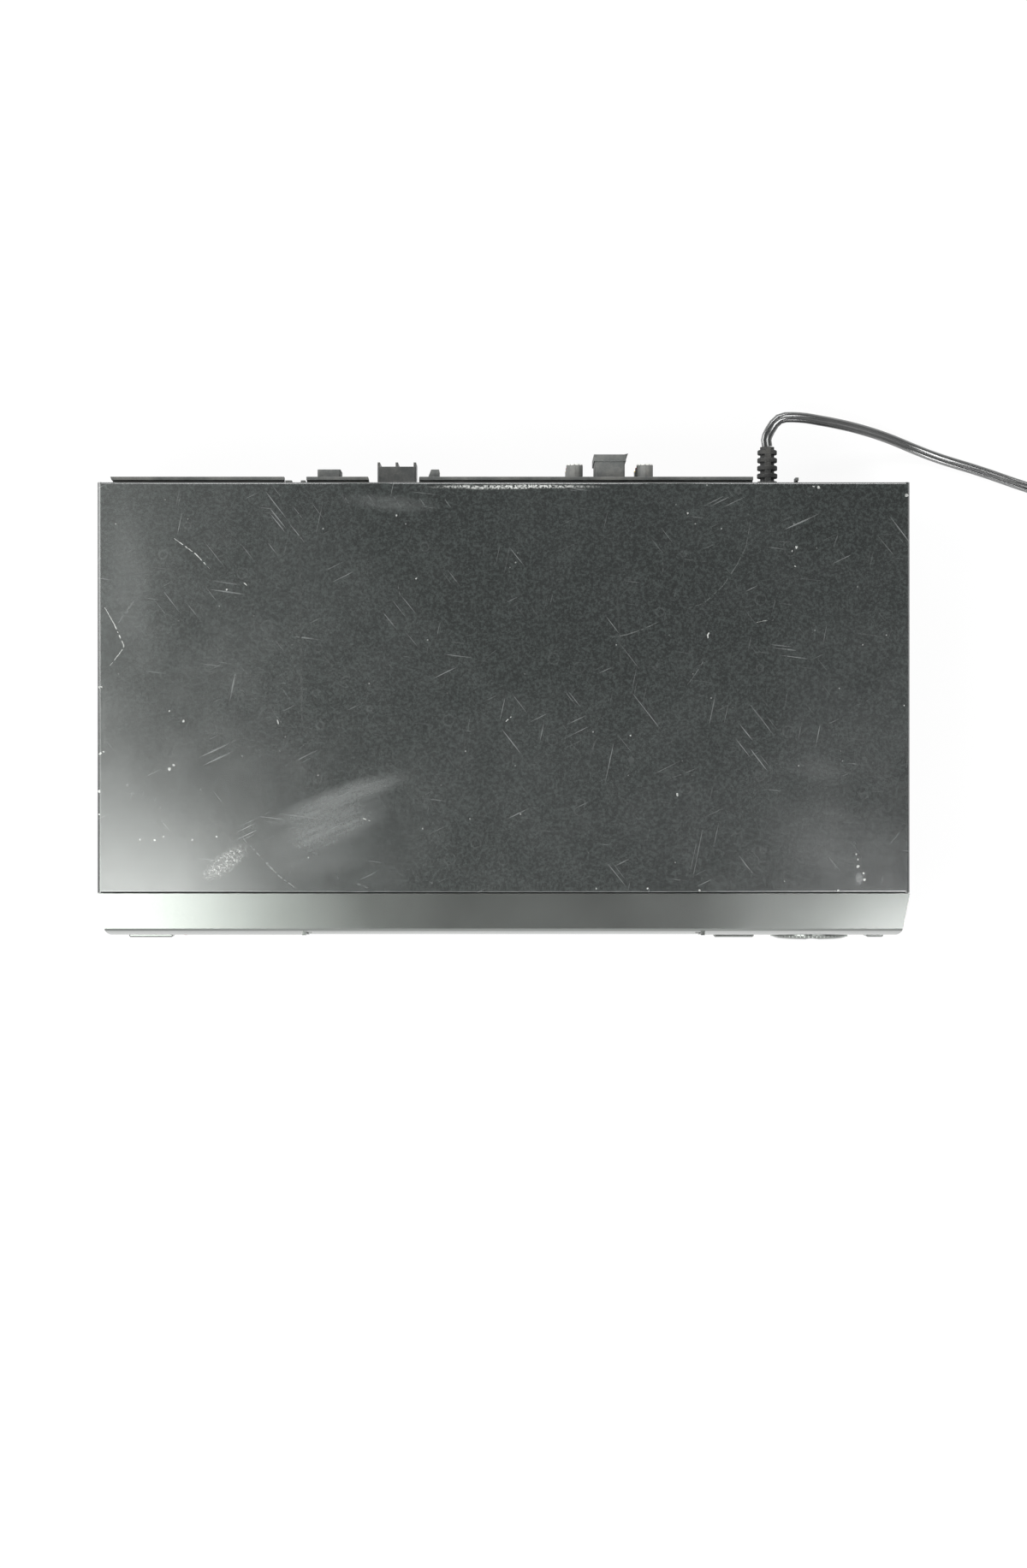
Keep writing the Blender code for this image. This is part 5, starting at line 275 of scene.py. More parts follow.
def coverPaint():
    material, tree, shader, where = startMaterial("coverPaint")
    flat = vectors(tree, "MULTIPLY", where, (1, 1, 0))[0]
    sway = addNode(tree, "TexNoise", {"Vector": flat, "Scale": 120.0, "Detail": 2.0}).outputs["Color"]
    swayed = vectors(tree, "SUBTRACT", sway, (0.5, 0.5, 0.5))[0]
    swayed = vectors(tree, "SCALE", swayed, scale=0.0016)[0]
    wobbly = vectors(tree, "ADD", flat, swayed)[0]
    wobbly = vectors(tree, "MULTIPLY", wobbly, (1, 1, 0))[0]
    # fine hair scratches in four directions
    hairs = []
    for turn, gain in ((12, 0.5), (-38, 0.6), (64, 0.6), (97, 0.45)):
        along = mapped(tree, flat, turn=(0, 0, math.radians(turn)))
        fine = noise(tree, mapped(tree, along, (900, 26, 1)), 1.0, 1.0)
        lanes = noise(tree, flat, 26.0 + turn / 9, 2.0, 0.7)
        hairs.append(times(tree, remap(tree, fine, 0.70, 0.76, 0.0, gain), remap(tree, lanes, 0.48, 0.66)))
    hair = strongest(tree, hairs)

    # small dried rings and specks
    cells = addNode(tree, "TexVoronoi", {"Vector": wobbly, "Scale": 78.0}, feature="F1")
    ring = sums(tree, "ABSOLUTE", sums(tree, "SUBTRACT", cells.outputs["Distance"], 0.21))
    some = split(tree, "Color", cells.outputs["Color"], 0)
    rings = times(tree, remap(tree, ring, 0.0, 0.035, 0.09, 0.0), remap(tree, some, 0.70, 0.85))
    specks = addNode(tree, "TexVoronoi", {"Vector": flat, "Scale": 420.0}, feature="F1")
    chosen = split(tree, "Color", specks.outputs["Color"], 1)
    speck = times(tree, remap(tree, specks.outputs["Distance"], 0.08, 0.22, 0.30, 0.0),
                  remap(tree, chosen, 0.986, 0.992))

    # rubbed hazes, streaky along their own length, and one painted pool of light on the front right corner
    hazes = []
    for centre, halves, turn, strength in coverWearAndPaintedLight["hazes"]:
        along = mapped(tree, flat, turn=(0, 0, -math.radians(turn)))
        streak = noise(tree, mapped(tree, along, (40, 420, 1)), 1.0, 4.0)
        hazes.append(times(tree, times(tree, patchMask(tree, wobbly, centre, halves, turn, 0.25), strength),
                           remap(tree, streak, 0.25, 0.75, 0.55, 1.0)))
    hazeAndSheen = strongest(tree, hazes)
    centre, halves, turn = coverWearAndPaintedLight["scuff"]
    scuffed = times(tree, patchMask(tree, wobbly, centre, halves, turn, 0.4),
                    remap(tree, noise(tree, flat, 620.0, 6.0, 0.85), 0.47, 0.62, 0.03, 0.46))
    centre, halves = coverWearAndPaintedLight["rearRub"]
    rubbed = times(tree, patchMask(tree, wobbly, centre, halves, 0, 0.3),
                   remap(tree, noise(tree, flat, 900.0, 4.0, 0.7), 0.42, 0.60, 0.0, 0.85))

    clouds = noise(tree, flat, 9.0, 4.0, 0.6)
    grain = noise(tree, where, 720.0, 4.0, 0.8)
    base = coverWearAndPaintedLight["base"]
    shade = blendColours(tree, remap(tree, clouds, 0.3, 0.7), [c * 0.90 for c in base],
                         [base[0] * 1.10, base[1] * 1.12, base[2] * 1.14])
    shade = blendColours(tree, remap(tree, grain, 0.42, 0.64, 0.0, 0.65), shade, [c * 5.0 for c in base])
    onTop = remap(tree, split(tree, "XYZ", where, "Z"), 0.0915, 0.0928)
    soft = times(tree, strongest(tree, [hazeAndSheen, hair, rings]), onTop)
    shade = blendColours(tree, soft, shade, coverWearAndPaintedLight["rubbed"])
    # lighter along the bends, hems and cut edges: worn paint, and a painted highlight line where the folded
    # edges catch the light
    edges = times(tree, edgeMask(tree, 0.0007, 0.03, 0.20),
                  remap(tree, noise(tree, where, 130.0, 6.0, 0.8), 0.40, 0.62, 0.12, 0.9))
    wearAndHighlight = strongest(tree, [times(tree, strongest(tree, [speck, scuffed, rubbed]), onTop), edges])
    shade = blendColours(tree, wearAndHighlight, shade, coverWearAndPaintedLight["bare"])
    satin = remap(tree, sums(tree, "ADD", clouds, times(tree, noise(tree, flat, 60.0, 4.0), 0.4)),
                  0.5, 0.95, 0.19, 0.235)
    roughness = sums(tree, "ADD", satin, times(tree, strongest(tree, [hazeAndSheen, wearAndHighlight]), 0.18), True)
    height = sums(tree, "SUBTRACT", times(tree, grain, 0.16), times(tree, wearAndHighlight, 0.6))
    wireShader(tree, shader, shade, roughness, (height, 0.06, 0.0003),
               {"IOR": 1.9, "Specular IOR Level": 0.85})
    return material


def zincSheet():
    # galvanised sheet: crystals of slightly different grey
    material, tree, shader, where = startMaterial("zincSheet")
    sway = addNode(tree, "TexNoise", {"Vector": where, "Scale": 60.0}).outputs["Color"]
    bent = vectors(tree, "ADD", where, vectors(tree, "SCALE", sway, scale=0.006)[0])[0]
    crystals = addNode(tree, "TexVoronoi", {"Vector": bent, "Scale": 130.0}, feature="F1")
    grey = split(tree, "Color", crystals.outputs["Color"], 0)
    shade = blendColours(tree, grey, (0.40, 0.41, 0.42), (0.52, 0.53, 0.53))
    fine = noise(tree, mapped(tree, where, (1, 14, 14)), 160.0, 3.0, 0.7)
    stained = remap(tree, noise(tree, where, 22.0, 5.0, 0.7), 0.52, 0.75, 0.0, 0.25)
    shade = blendColours(tree, stained, shade, (0.30, 0.29, 0.27))
    roughness = remap(tree, sums(tree, "ADD", grey, fine), 0.4, 1.6, 0.30, 0.50)
    wireShader(tree, shader, shade, roughness, (fine, 0.06, 0.0002), {"Metallic": 0.9})
    return material


def boardLaminate():
    # brown paper laminate with lighter and darker tracks under its lacquer
    material, tree, shader, where = startMaterial("boardLaminate")
    fibres = noise(tree, mapped(tree, where, (1, 9, 1)), 240.0, 4.0, 0.7)
    shade = blendColours(tree, remap(tree, fibres, 0.3, 0.7), (0.22, 0.135, 0.06), (0.34, 0.22, 0.11))
    tracks = addNode(tree, "TexBrick",
                     {"Vector": mapped(tree, where, (170, 170, 170), (0, 0, 0.01)), "Color1": (0, 0, 0, 1),
                      "Color2": (0.35, 0.35, 0.35, 1), "Mortar": (1, 1, 1, 1), "Mortar Size": 0.06,
                      "Mortar Smooth": 0.2, "Brick Width": 1.7, "Row Height": 0.5}).outputs["Color"]
    laid = split(tree, "Color", tracks, 0)
    present = remap(tree, noise(tree, where, 75.0, 1.0), 0.46, 0.50)
    shade = blendColours(tree, times(tree, times(tree, laid, present), 0.55), shade, (0.42, 0.36, 0.12))
    roughness = remap(tree, fibres, 0.2, 0.8, 0.38, 0.62)
    wireShader(tree, shader, shade, roughness, (times(tree, laid, present), 0.15, 0.0002), {})
    return material


finishes = {
    "cover_paint": coverPaint(),
    "silver_plastic": dressed("silverPlastic", (0.250, 0.262, 0.252), 0.205, 0.90, 0.05, 14.0, 1500.0, 0.006,
                              wear=(0.62, 0.62, 0.60), wearAt=0.0003, level=0.6, spread=0.02),
    "black_plastic": dressed("blackPlastic", (0.075, 0.080, 0.079), 0.50, 0.0, 0.18, 30.0, 1100.0, 0.30,
                             wear=(0.20, 0.21, 0.21), wearAt=0.0005, dust=0.22),
    "grey_plastic": dressed("greyPlastic", (0.15, 0.155, 0.15), 0.48, 0.0, 0.15, 60.0, 1200.0, 0.2,
                            wear=(0.3, 0.3, 0.3), wearAt=0.0004, dust=0.25),
    "smoked_window": dressed("smokedWindow", (0.014, 0.014, 0.018), 0.06, 0.0, 0.2, 12.0, 300.0, 0.008,
                             coat=0.4),
    "white_plastic": dressed("whitePlastic", (0.70, 0.70, 0.66), 0.42, 0.0, 0.06, 80.0, 900.0, 0.08),
    "brown_board": boardLaminate(),
    "zinc_steel": zincSheet(),
    "cast_alloy": dressed("castAlloy", (0.60, 0.60, 0.58), 0.38, 0.95, 0.10, 120.0, 900.0, 0.22),
    "polished_steel": dressed("polishedSteel", (0.70, 0.71, 0.71), 0.13, 1.0, 0.05, 60.0, 500.0, 0.02,
                              stretch=(1, 1, 30)),
    "copper_winding": dressed("copperWinding", (0.58, 0.27, 0.11), 0.36, 0.85, 0.2, 90.0, 420.0, 0.6,
                              stretch=(0.05, 0.05, 9)),
    "soft_rubber": dressed("softRubber", (0.030, 0.031, 0.031), 0.72, 0.0, 0.25, 70.0, 1300.0, 0.3,
                           wear=(0.11, 0.11, 0.11), dust=0.16),
    "cord_vinyl": dressed("cordVinyl", (0.036, 0.038, 0.038), 0.20, 0.0, 0.12, 45.0, 700.0, 0.006, dust=0.02,
                          level=0.95, ior=1.95, spread=0.03),
}
print("finishes made")

slotOf = {row["node"]: row["material_slot"] for row in frame["record"]["subparts"]}
bodyOf = {node: body for body, members in frame["record"]["behaviour"]["bodies"].items() for node in members}
for nodeName, slotName in slotOf.items():
    mesh = frame["nodes"][nodeName].data
    mesh.materials.clear()
    mesh.materials.append(finishes[slotName])


# lamps, world and floor

lamps = {
    "leftSoftbox": {"place": (-0.67, -0.50, 1.25), "size": (0.84, 0.80), "energy": 12.7,
                    "aim": (-0.67, -0.50, 0), "tint": (0.97, 1.0, 0.965)},
    "leftPanel": {"place": (-0.71, 0.27, 1.25), "size": (0.70, 0.74), "energy": 1.7,
                  "aim": (-0.71, 0.27, 0), "tint": (0.97, 1.0, 0.965)},
    "rightSoftbox": {"place": (0.65, -0.578, 1.25), "size": (0.70, 0.66), "energy": 11.6,
                     "aim": (0.65, -0.578, 0)},
    "rearSoftbox": {"place": (0.05, 1.35, 1.45), "size": (1.4, 0.5), "energy": 15.0, "aim": (0, 0, 0.05)},
    "sideSoftbox": {"place": (-1.45, 0.62, 1.05), "size": (1.1, 1.5), "energy": 17.0, "aim": (0, 0.35, 0.05)},
    "frontSoftbox": {"place": (0.0, -1.65, 0.85), "size": (1.6, 0.6), "energy": 6.0, "aim": (0, 0, 0.05)},
}
for name, lamp in lamps.items():
    light = bpy.data.lights.new(name, "AREA")
    light.shape = "RECTANGLE"
    light.size, light.size_y = lamp["size"]
    light.energy = lamp["energy"]
    light.color = lamp.get("tint", (1.0, 1.0, 1.0))
    holder = bpy.data.objects.new(name, light)
    holder.location = lamp["place"]
    holder.rotation_euler = (Vector(lamp["aim"]) - Vector(lamp["place"])).to_track_quat("-Z", "Y").to_euler()
    holder.visible_camera = False
    scene.collection.objects.link(holder)

surround = {"diffuse": 0.42, "horizon": 1.0, "middle": 0.34, "zenith": 0.088}


def seenDirectly(tree):
    path = addNode(tree, "LightPath")
    return strongest(tree, [path.outputs["Is Camera Ray"], path.outputs["Is Glossy Ray"],
                            path.outputs["Is Transmission Ray"]])


world = bpy.data.worlds.new("studio")
scene.world = world
world.use_nodes = True
sky = world.node_tree
sky.nodes.clear()
up = split(sky, "XYZ", addNode(sky, "TexCoord").outputs["Generated"], "Z")
# plain white where the backdrop shows, then darker quickly, so that the paint stays dark from a low angle
bright = strongest(sky, [remap(sky, up, 0.20, 0.34, surround["horizon"], 0.0),
                         remap(sky, up, 0.35, 0.92, surround["middle"], surround["zenith"])])
seen = addNode(sky, "Background", {"Color": (1, 1, 1, 1), "Strength": bright})
lit = addNode(sky, "Background", {"Color": (1, 1, 1, 1), "Strength": surround["diffuse"]})
both = addNode(sky, "MixShader", {0: seenDirectly(sky), 1: lit.outputs[0], 2: seen.outputs[0]})
addNode(sky, "OutputWorld", {"Surface": both.outputs[0]})

ground = bmesh.new()
bmesh.ops.create_grid(ground, x_segments=2, y_segments=2, size=4.0)
groundMesh = bpy.data.meshes.new("floor")
ground.to_mesh(groundMesh)
ground.free()
floor = bpy.data.objects.new("floor", groundMesh)
scene.collection.objects.link(floor)
paper, tree, shader, where = startMaterial("whitePaper")
shader.inputs["Base Color"].default_value = (0.90, 0.90, 0.90, 1)
shader.inputs["Roughness"].default_value = 0.9
glow = addNode(tree, "Emission", {"Color": (1, 1, 1, 1), "Strength": 1.0})
# the shadow shows near the object, and the paper runs out to plain white
out = vectors(tree, "LENGTH", where)["Value"]
share = times(tree, seenDirectly(tree), remap(tree, out, 0.45, 1.3, 0.89, 1.0))
mixed = addNode(tree, "MixShader", {0: share, 1: shader.outputs[0], 2: glow.outputs[0]})
tree.links.new(mixed.outputs[0], tree.nodes["Material Output"].inputs["Surface"])
groundMesh.materials.append(paper)
print("camera, lamps and floor placed")


# mesh helpers

def vertsIn(made):
    return [g for g in made if isinstance(g, bmesh.types.BMVert)]


def breakEdges(bm, edges, width, segments=2):
    bmesh.ops.bevel(bm, geom=edges, offset=width, offset_type="OFFSET", affect="EDGES", segments=segments,
                    profile=0.5, material=-1, clamp_overlap=True)


def addBlock(bm, low, high, edge=0.0, segments=2):
    made = bmesh.ops.create_cube(bm, size=1.0)["verts"]
    bmesh.ops.scale(bm, vec=[h - l for l, h in zip(low, high)], verts=made)
    bmesh.ops.translate(bm, vec=[(h + l) / 2 for l, h in zip(low, high)], verts=made)
    if edge:
        breakEdges(bm, list({e for v in made for e in v.link_edges}), edge, segments)


def pushFace(bm, corners, move):
    # a flat face carried along by move, leaving walls behind it
    face = bm.faces.new([bm.verts.new(corner) for corner in corners])
    far = vertsIn(bmesh.ops.extrude_face_region(bm, geom=[face])["geom"])
    bmesh.ops.translate(bm, vec=move, verts=far)
    return far


def addTurned(bm, profile, centre, axis=(0, 0, 1), steps=32):
    # profile: (radius, place along the axis) pairs, spun about the axis through centre
    along = Vector(axis)
    across = Vector((0, 0, 1)) if abs(along.z) < 0.5 else Vector((1, 0, 0))
    verts = [bm.verts.new(Vector(centre) + along * place + across * radius) for radius, place in profile]
    edges = [bm.edges.new(pair) for pair in zip(verts, verts[1:])]
    bmesh.ops.spin(bm, geom=verts + edges, cent=centre, axis=axis, angle=2 * math.pi, steps=steps,
                   use_merge=True)


def smoothEdges(bm, width, least=28, segments=2):
    sharp = [e for e in bm.edges if e.is_manifold and e.calc_face_angle(0.0) > math.radians(least)]
    breakEdges(bm, sharp, width, segments)


def evenNormals(piece):
    # flat faces keep their own normal, and the broken edges carry the turn
    weighted = piece.modifiers.new("evenNormals", "WEIGHTED_NORMAL")
    weighted.mode = "FACE_AREA"
    weighted.keep_sharp = True


def finishPiece(name, bm, slot, finish=None, nodes=(), body="casing", sharp=40):
    bmesh.ops.remove_doubles(bm, verts=bm.verts, dist=0.000004)
    bmesh.ops.recalc_face_normals(bm, faces=bm.faces)
    mesh = bpy.data.meshes.new(name)
    bm.to_mesh(mesh)
    bm.free()
    mesh.polygons.foreach_set("use_smooth", [True] * len(mesh.polygons))
    mesh.set_sharp_from_angle(angle=math.radians(sharp))
    piece = bpy.data.objects.new(name, mesh)
    scene.collection.objects.link(piece)
    mesh.materials.append(finish or finishes[slot])
    evenNormals(piece)
    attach(piece, body)
    if nodes:
        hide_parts(*nodes)
    return piece


def cutOut(piece, cutter):
    # takes a bmesh's solids out of a finished piece
    tool = bpy.data.objects.new("cutter", bpy.data.meshes.new("cutter"))
    bmesh.ops.recalc_face_normals(cutter, faces=cutter.faces)
    cutter.to_mesh(tool.data)
    cutter.free()
    scene.collection.objects.link(tool)
    cut = piece.modifiers.new("cut", "BOOLEAN")
    cut.object = tool
    cut.operation = "DIFFERENCE"
    cut.solver = "EXACT"
    bpy.context.view_layer.update()
    mesh = bpy.data.meshes.new_from_object(piece.evaluated_get(bpy.context.evaluated_depsgraph_get()))
    piece.modifiers.clear()
    old = piece.data
    piece.data = mesh
    bpy.data.meshes.remove(old)
    mesh.name = piece.name
    bpy.data.objects.remove(tool)
    evenNormals(piece)


def roundedCopy(nodeName, name, width, segments=2, cuts=((), ()), fall=None):
    # a CAD node's shape, merged, with its sharp edges broken; cuts part its long faces at these x and y,
    # and fall leans its top down towards the front: above this height, from this y, by this slope
    bm = bmesh.new()
    bm.from_mesh(frame["nodes"][nodeName].data)
    bmesh.ops.remove_doubles(bm, verts=bm.verts, dist=0.00001)
    bmesh.ops.dissolve_limit(bm, angle_limit=math.radians(1.0), verts=bm.verts, edges=bm.edges)
    for across, places in zip(((1, 0, 0), (0, 1, 0)), cuts):
        for place in places:
            bmesh.ops.bisect_plane(bm, geom=bm.verts[:] + bm.edges[:] + bm.faces[:],
                                   plane_co=Vector(across) * place, plane_no=across, dist=0.00001)
    if fall:
        for v in bm.verts:
            if v.co.z > fall[0]:
                v.co.z -= max(fall[1] - v.co.y, 0.0) * fall[2]
    bmesh.ops.triangulate(bm, faces=[f for f in bm.faces if len(f.verts) > 4])
    smoothEdges(bm, width, segments=segments)
    finishPiece(name, bm, slotOf[nodeName], nodes=[nodeName], body=bodyOf[nodeName], sharp=32)

cordFacts = {
    "width": 0.0054, "thick": 0.0031, "length": 1.5, "spacing": 0.0110, "gap": 0.0003, "lead": 0.030,
    "leadShares": (0.18, 0.4, 0.6, 0.82, 1.0), "pitch": 0.0060, "layers": 2, "wholeTurns": 7,
    "coilSteps": 24, "climb": 0.5, "plugHeight": 0.014, "fineSteps": 3, "drop": (0.18, 0.82),
    # when it turns on its edge, in points before the coil and how many; each lobe's half arc in degrees
    "turnBefore": 7, "turnOver": 6, "lobeArc": 134, "lobeSteps": 10, "rest": 0.0028, "clear": 0.0001,
    "settle": (0.012, 0.008),
    "route": [(0.1345, 0.1253, 0.0360), (0.1345, 0.1307, 0.0360), (0.1359, 0.1356, 0.0358),
              (0.1399, 0.1391, 0.0352), (0.1455, 0.1408, 0.0342), (0.1520, 0.1406, 0.0325),
              (0.1600, 0.1398, 0.0298), (0.1680, 0.1388, 0.0265), (0.1760, 0.1377, 0.0227),
              (0.1860, 0.1358, 0.0178), (0.1980, 0.1328, 0.0122), (0.2090, 0.1291, 0.0078),
              (0.2200, 0.1252, 0.0047), (0.2330, 0.1210, 0.0031), (0.2480, 0.1165, 0.0028),
              (0.2610, 0.1120, 0.0028), (0.2729, 0.1079, 0.0028), (0.2870, 0.1031, 0.0028),
              (0.3010, 0.0983, 0.0028), (0.3150, 0.0936, 0.0028), (0.3265, 0.0897, 0.0028)],
}


def roundedLine(points, steps):
    # a smooth line through the points, with this many steps between each two
    ends = [points[0] * 2 - points[1], *points, points[-1] * 2 - points[-2]]
    fine = []
    for a, b, c, d in zip(ends, ends[1:], ends[2:], ends[3:]):
        for k in range(steps):
            t = k / steps
            fine.append((b * 2 + (c - a) * t + (a * 2 - b * 5 + c * 4 - d) * t ** 2
                         + (b * 3 - a - c * 3 + d) * t ** 3) / 2)
    return [*fine, points[-1]]


def smoothRoute(route, spacing):
    fine = roundedLine([Vector(p) for p in route], 12)
    total = sum((b - a).length for a, b in zip(fine, fine[1:]))
    count = round(total / spacing)
    kept, run = [fine[0]], 0.0
    for a, b in zip(fine, fine[1:]):
        run += (b - a).length
        if run >= total / count * len(kept) and len(kept) < count:
            kept.append(b)
    return [*kept, fine[-1]], total


def cordRun():
    facts = cordFacts
    points, run = smoothRoute(facts["route"][1:], facts["spacing"])
    points.insert(0, Vector(facts["route"][0]))
    run += (points[1] - points[0]).length
    free = len(points)
    along = (points[-1] - points[-2]).normalized()
    heading = math.atan2(along.y, along.x)
    entry = heading + math.pi / 2
    turns = facts["wholeTurns"] + entry / (2 * math.pi)
    mean = (facts["length"] - run - facts["lead"]) / (2 * math.pi * turns)
    start = points[-1] + along * (facts["gap"] + facts["width"])
    spread = facts["pitch"] * turns / facts["layers"]
    outer = mean + spread / 2
    middle = Vector((start.x - outer * math.cos(entry), start.y - outer * math.sin(entry), 0))
    count = round(turns * facts["coilSteps"])
    for k in range(count + 1):
        turn = turns * k / count
        radius = outer - spread + facts["pitch"] * abs(turn - turns / 2)
        rise = min(max((turn - turns / 2) / facts["climb"] + 0.5, 0.0), 1.0)
        angle = entry - 2 * math.pi * turn
        points.append(middle + Vector((radius * math.cos(angle), radius * math.sin(angle),
                                       start.z + facts["pitch"] * rise)))
    last = points[-1]
    first, done = facts["drop"]
    for share in facts["leadShares"]:
        drop = min(max((share - first) / (done - first), 0.0), 1.0)
        points.append(Vector((last.x, last.y - facts["lead"] * share,
                              last.z + (facts["plugHeight"] / 2 - last.z) * drop)))
    return points, free


def cordTurn(index, free):
    # flat side up where it is seen, on its edge in the coil
    turned = (index - free + cordFacts["turnBefore"]) / cordFacts["turnOver"]
    return math.radians(90) * min(max(turned, 0.0), 1.0)


def linkCurve(name):
    line = bpy.data.curves.new(name, "CURVE")
    holder = bpy.data.objects.new(name, line)
    scene.collection.objects.link(holder)
    return line, holder


def addSpline(line, places):
    spline = line.splines.new("POLY")
    spline.points.add(len(places) - 1)
    for point, place in zip(spline.points, places):
        point.co = (*place, 1)
    return spline


def flatTwin(name, points, free):
    facts = cordFacts
    outline = []
    lobe = facts["thick"] / 2
    shift = facts["width"] / 2 - lobe
    arc, steps = facts["lobeArc"], facts["lobeSteps"]
    for side in (1, -1):
        for k in range(steps + 1):
            angle = math.radians(-arc + 2 * arc * k / steps)
            outline.append((side * (shift + lobe * math.cos(angle)), side * lobe * math.sin(angle), 0))
    profileLine, profile = linkCurve("twinProfile")
    addSpline(profileLine, outline).use_cyclic_u = True
    line, lineObject = linkCurve("cordLine")
    line.dimensions = "3D"
    line.bevel_mode = "OBJECT"
    line.bevel_object = profile
    line.use_fill_caps = True
    line.twist_mode = "Z_UP"
    spline = addSpline(line, roundedLine(points, facts["fineSteps"]))
    for index, point in enumerate(spline.points):
        point.tilt = cordTurn(index / facts["fineSteps"], free)
    bpy.context.view_layer.update()
    mesh = bpy.data.meshes.new_from_object(lineObject.evaluated_get(bpy.context.evaluated_depsgraph_get()))
    bpy.data.objects.remove(lineObject)
    bpy.data.objects.remove(profile)
    bm = bmesh.new()
    bm.from_mesh(mesh)
    bpy.data.meshes.remove(mesh)
    return finishPiece(name, bm, "cord_vinyl", nodes=["power_cord", "cord_coil"], sharp=50)


def settleCord(points, free):
    # where it reaches the floor it rests on its flat side, and turns up towards the coil
    facts = cordFacts
    high, over = facts["settle"]
    for index, point in enumerate(points[:free + 1]):
        lean = cordTurn(index, free)
        rests = facts["thick"] / 2 + (facts["width"] - facts["thick"]) / 2 * math.sin(lean) + facts["clear"]
        point.z += (rests - facts["rest"]) * min(max((high - point.z) / over, 0.0), 1.0)


cordPoints, freeCount = cordRun()
settleCord(cordPoints, freeCount)
powerFlex = flatTwin("powerFlex", cordPoints, freeCount)

plugFacts = {
    "width": 0.024, "height": 0.014, "length": 0.030, "nose": 0.010, "corner": 0.003, "pitch": 0.0127,
    "gap": 0.0003, "neck": 0.0033, "foot": 0.0004, "round": 0.0022,
    "blade": (0.0015, 0.0165, 0.0064), "bladeHole": (0.0015, 0.0040), "bladeRoot": 0.002,
    "grips": {"count": 4, "first": 0.008, "pitch": 0.0042, "long": 0.0018, "deep": 0.0006, "inset": 0.0007,
              "clear": 0.0035},
    "steps": {"count": 3, "first": 0.0028, "pitch": 0.0022, "long": 0.0011, "wide": 0.0040, "less": 0.0002,
              "high": 0.0036, "lower": 0.0003},
}
nickel = dressed("nickelPlate", (0.62, 0.60, 0.56), 0.22, 1.0, 0.08, 90.0, 900.0, 0.05)


def moldedPlug(end):
    facts = plugFacts
    x, height, middle, foot = end.x, facts["height"], facts["height"] / 2, facts["foot"]
    start = end.y - facts["gap"]
    shoulder = start - facts["nose"]
    front = shoulder - facts["length"]
    half, corner = facts["width"] / 2, facts["corner"]
    bm = bmesh.new()
    right = [(facts["neck"], start), (half * 0.45, shoulder + 0.002), (half - corner, shoulder - corner / 2),
             (half, shoulder - corner * 1.5), (half, front + corner / 2), (half - corner / 2, front)]
    outline = [(x + dx, y) for dx, y in right] + [(x - dx, y) for dx, y in reversed(right)]
    outline = [outline[-1], *outline[:-1]]
    pushFace(bm, [(px, py, foot) for px, py in outline], (0, 0, height - 2 * foot))
    smoothEdges(bm, facts["round"], 50, 4)
    count, first, pitch, long, deep, inset, clear = facts["grips"].values()
    for side in (-1, 1):
        for k in range(count):
            y, px = front + first + pitch * k, x + side * (half - inset)
            addBlock(bm, (px - deep, y, clear), (px + deep, y + long, height - clear), 0.0004)
    count, first, pitch, long, wide, less, high, lower = facts["steps"].values()
    for k in range(count):
        y = shoulder + first + pitch * k
        addBlock(bm, (x - wide + less * k, y, middle - high + lower * k),
                 (x + wide - less * k, y + long, middle + high - lower * k), 0.0005)
    plug = finishPiece("moldedPlug", bm, "cord_vinyl", nodes=["power_plug"])
    bm = bmesh.new()
    sheet, length, width = facts["blade"]
    for side in (-1, 1):
        bx = x + side * facts["pitch"] / 2
        addBlock(bm, (bx - sheet / 2, front - length, middle - width / 2),
                 (bx + sheet / 2, front + facts["bladeRoot"], middle + width / 2), 0.0004, 3)
    blades = finishPiece("plugBlades", bm, "polished_steel", nickel)
    drill = bmesh.new()
    hole, back = facts["bladeHole"]
    bmesh.ops.create_cone(drill, cap_ends=True, segments=16, radius1=hole, radius2=hole, depth=0.04,
                          matrix=Matrix.Translation((x, front - length + back, middle))
                          @ Matrix.Rotation(math.pi / 2, 4, "Y"))
    cutOut(blades, drill)
    return plug, blades


plugBody, plugBlades = moldedPlug(cordPoints[-1])

reliefFacts = {
    "x": 0.1345, "z": 0.0360, "panel": 0.1002, "inner": 0.0982, "tip": 0.1250, "ribs": 5, "root": 0.0048,
    # radius and place, from the panel's inner face and then from its outer face
    "inside": [(0, -0.0023), (0.0068, -0.0023), (0.0068, -0.0003), (0.0048, -0.0003)],
    "collar": [(0.0048, 0.0003), (0.0071, 0.0003), (0.0073, 0.0006), (0.0072, 0.0019), (0.0060, 0.0036),
               (0.0050, 0.0048)],
    "rib": 0.0053, "ribLess": 0.00008, "core": 0.0036,
    "spine": {"half": 0.0016, "high": 0.0019, "rises": (-0.0049, 0.0030), "sink": 0.001, "short": 0.0004},
}


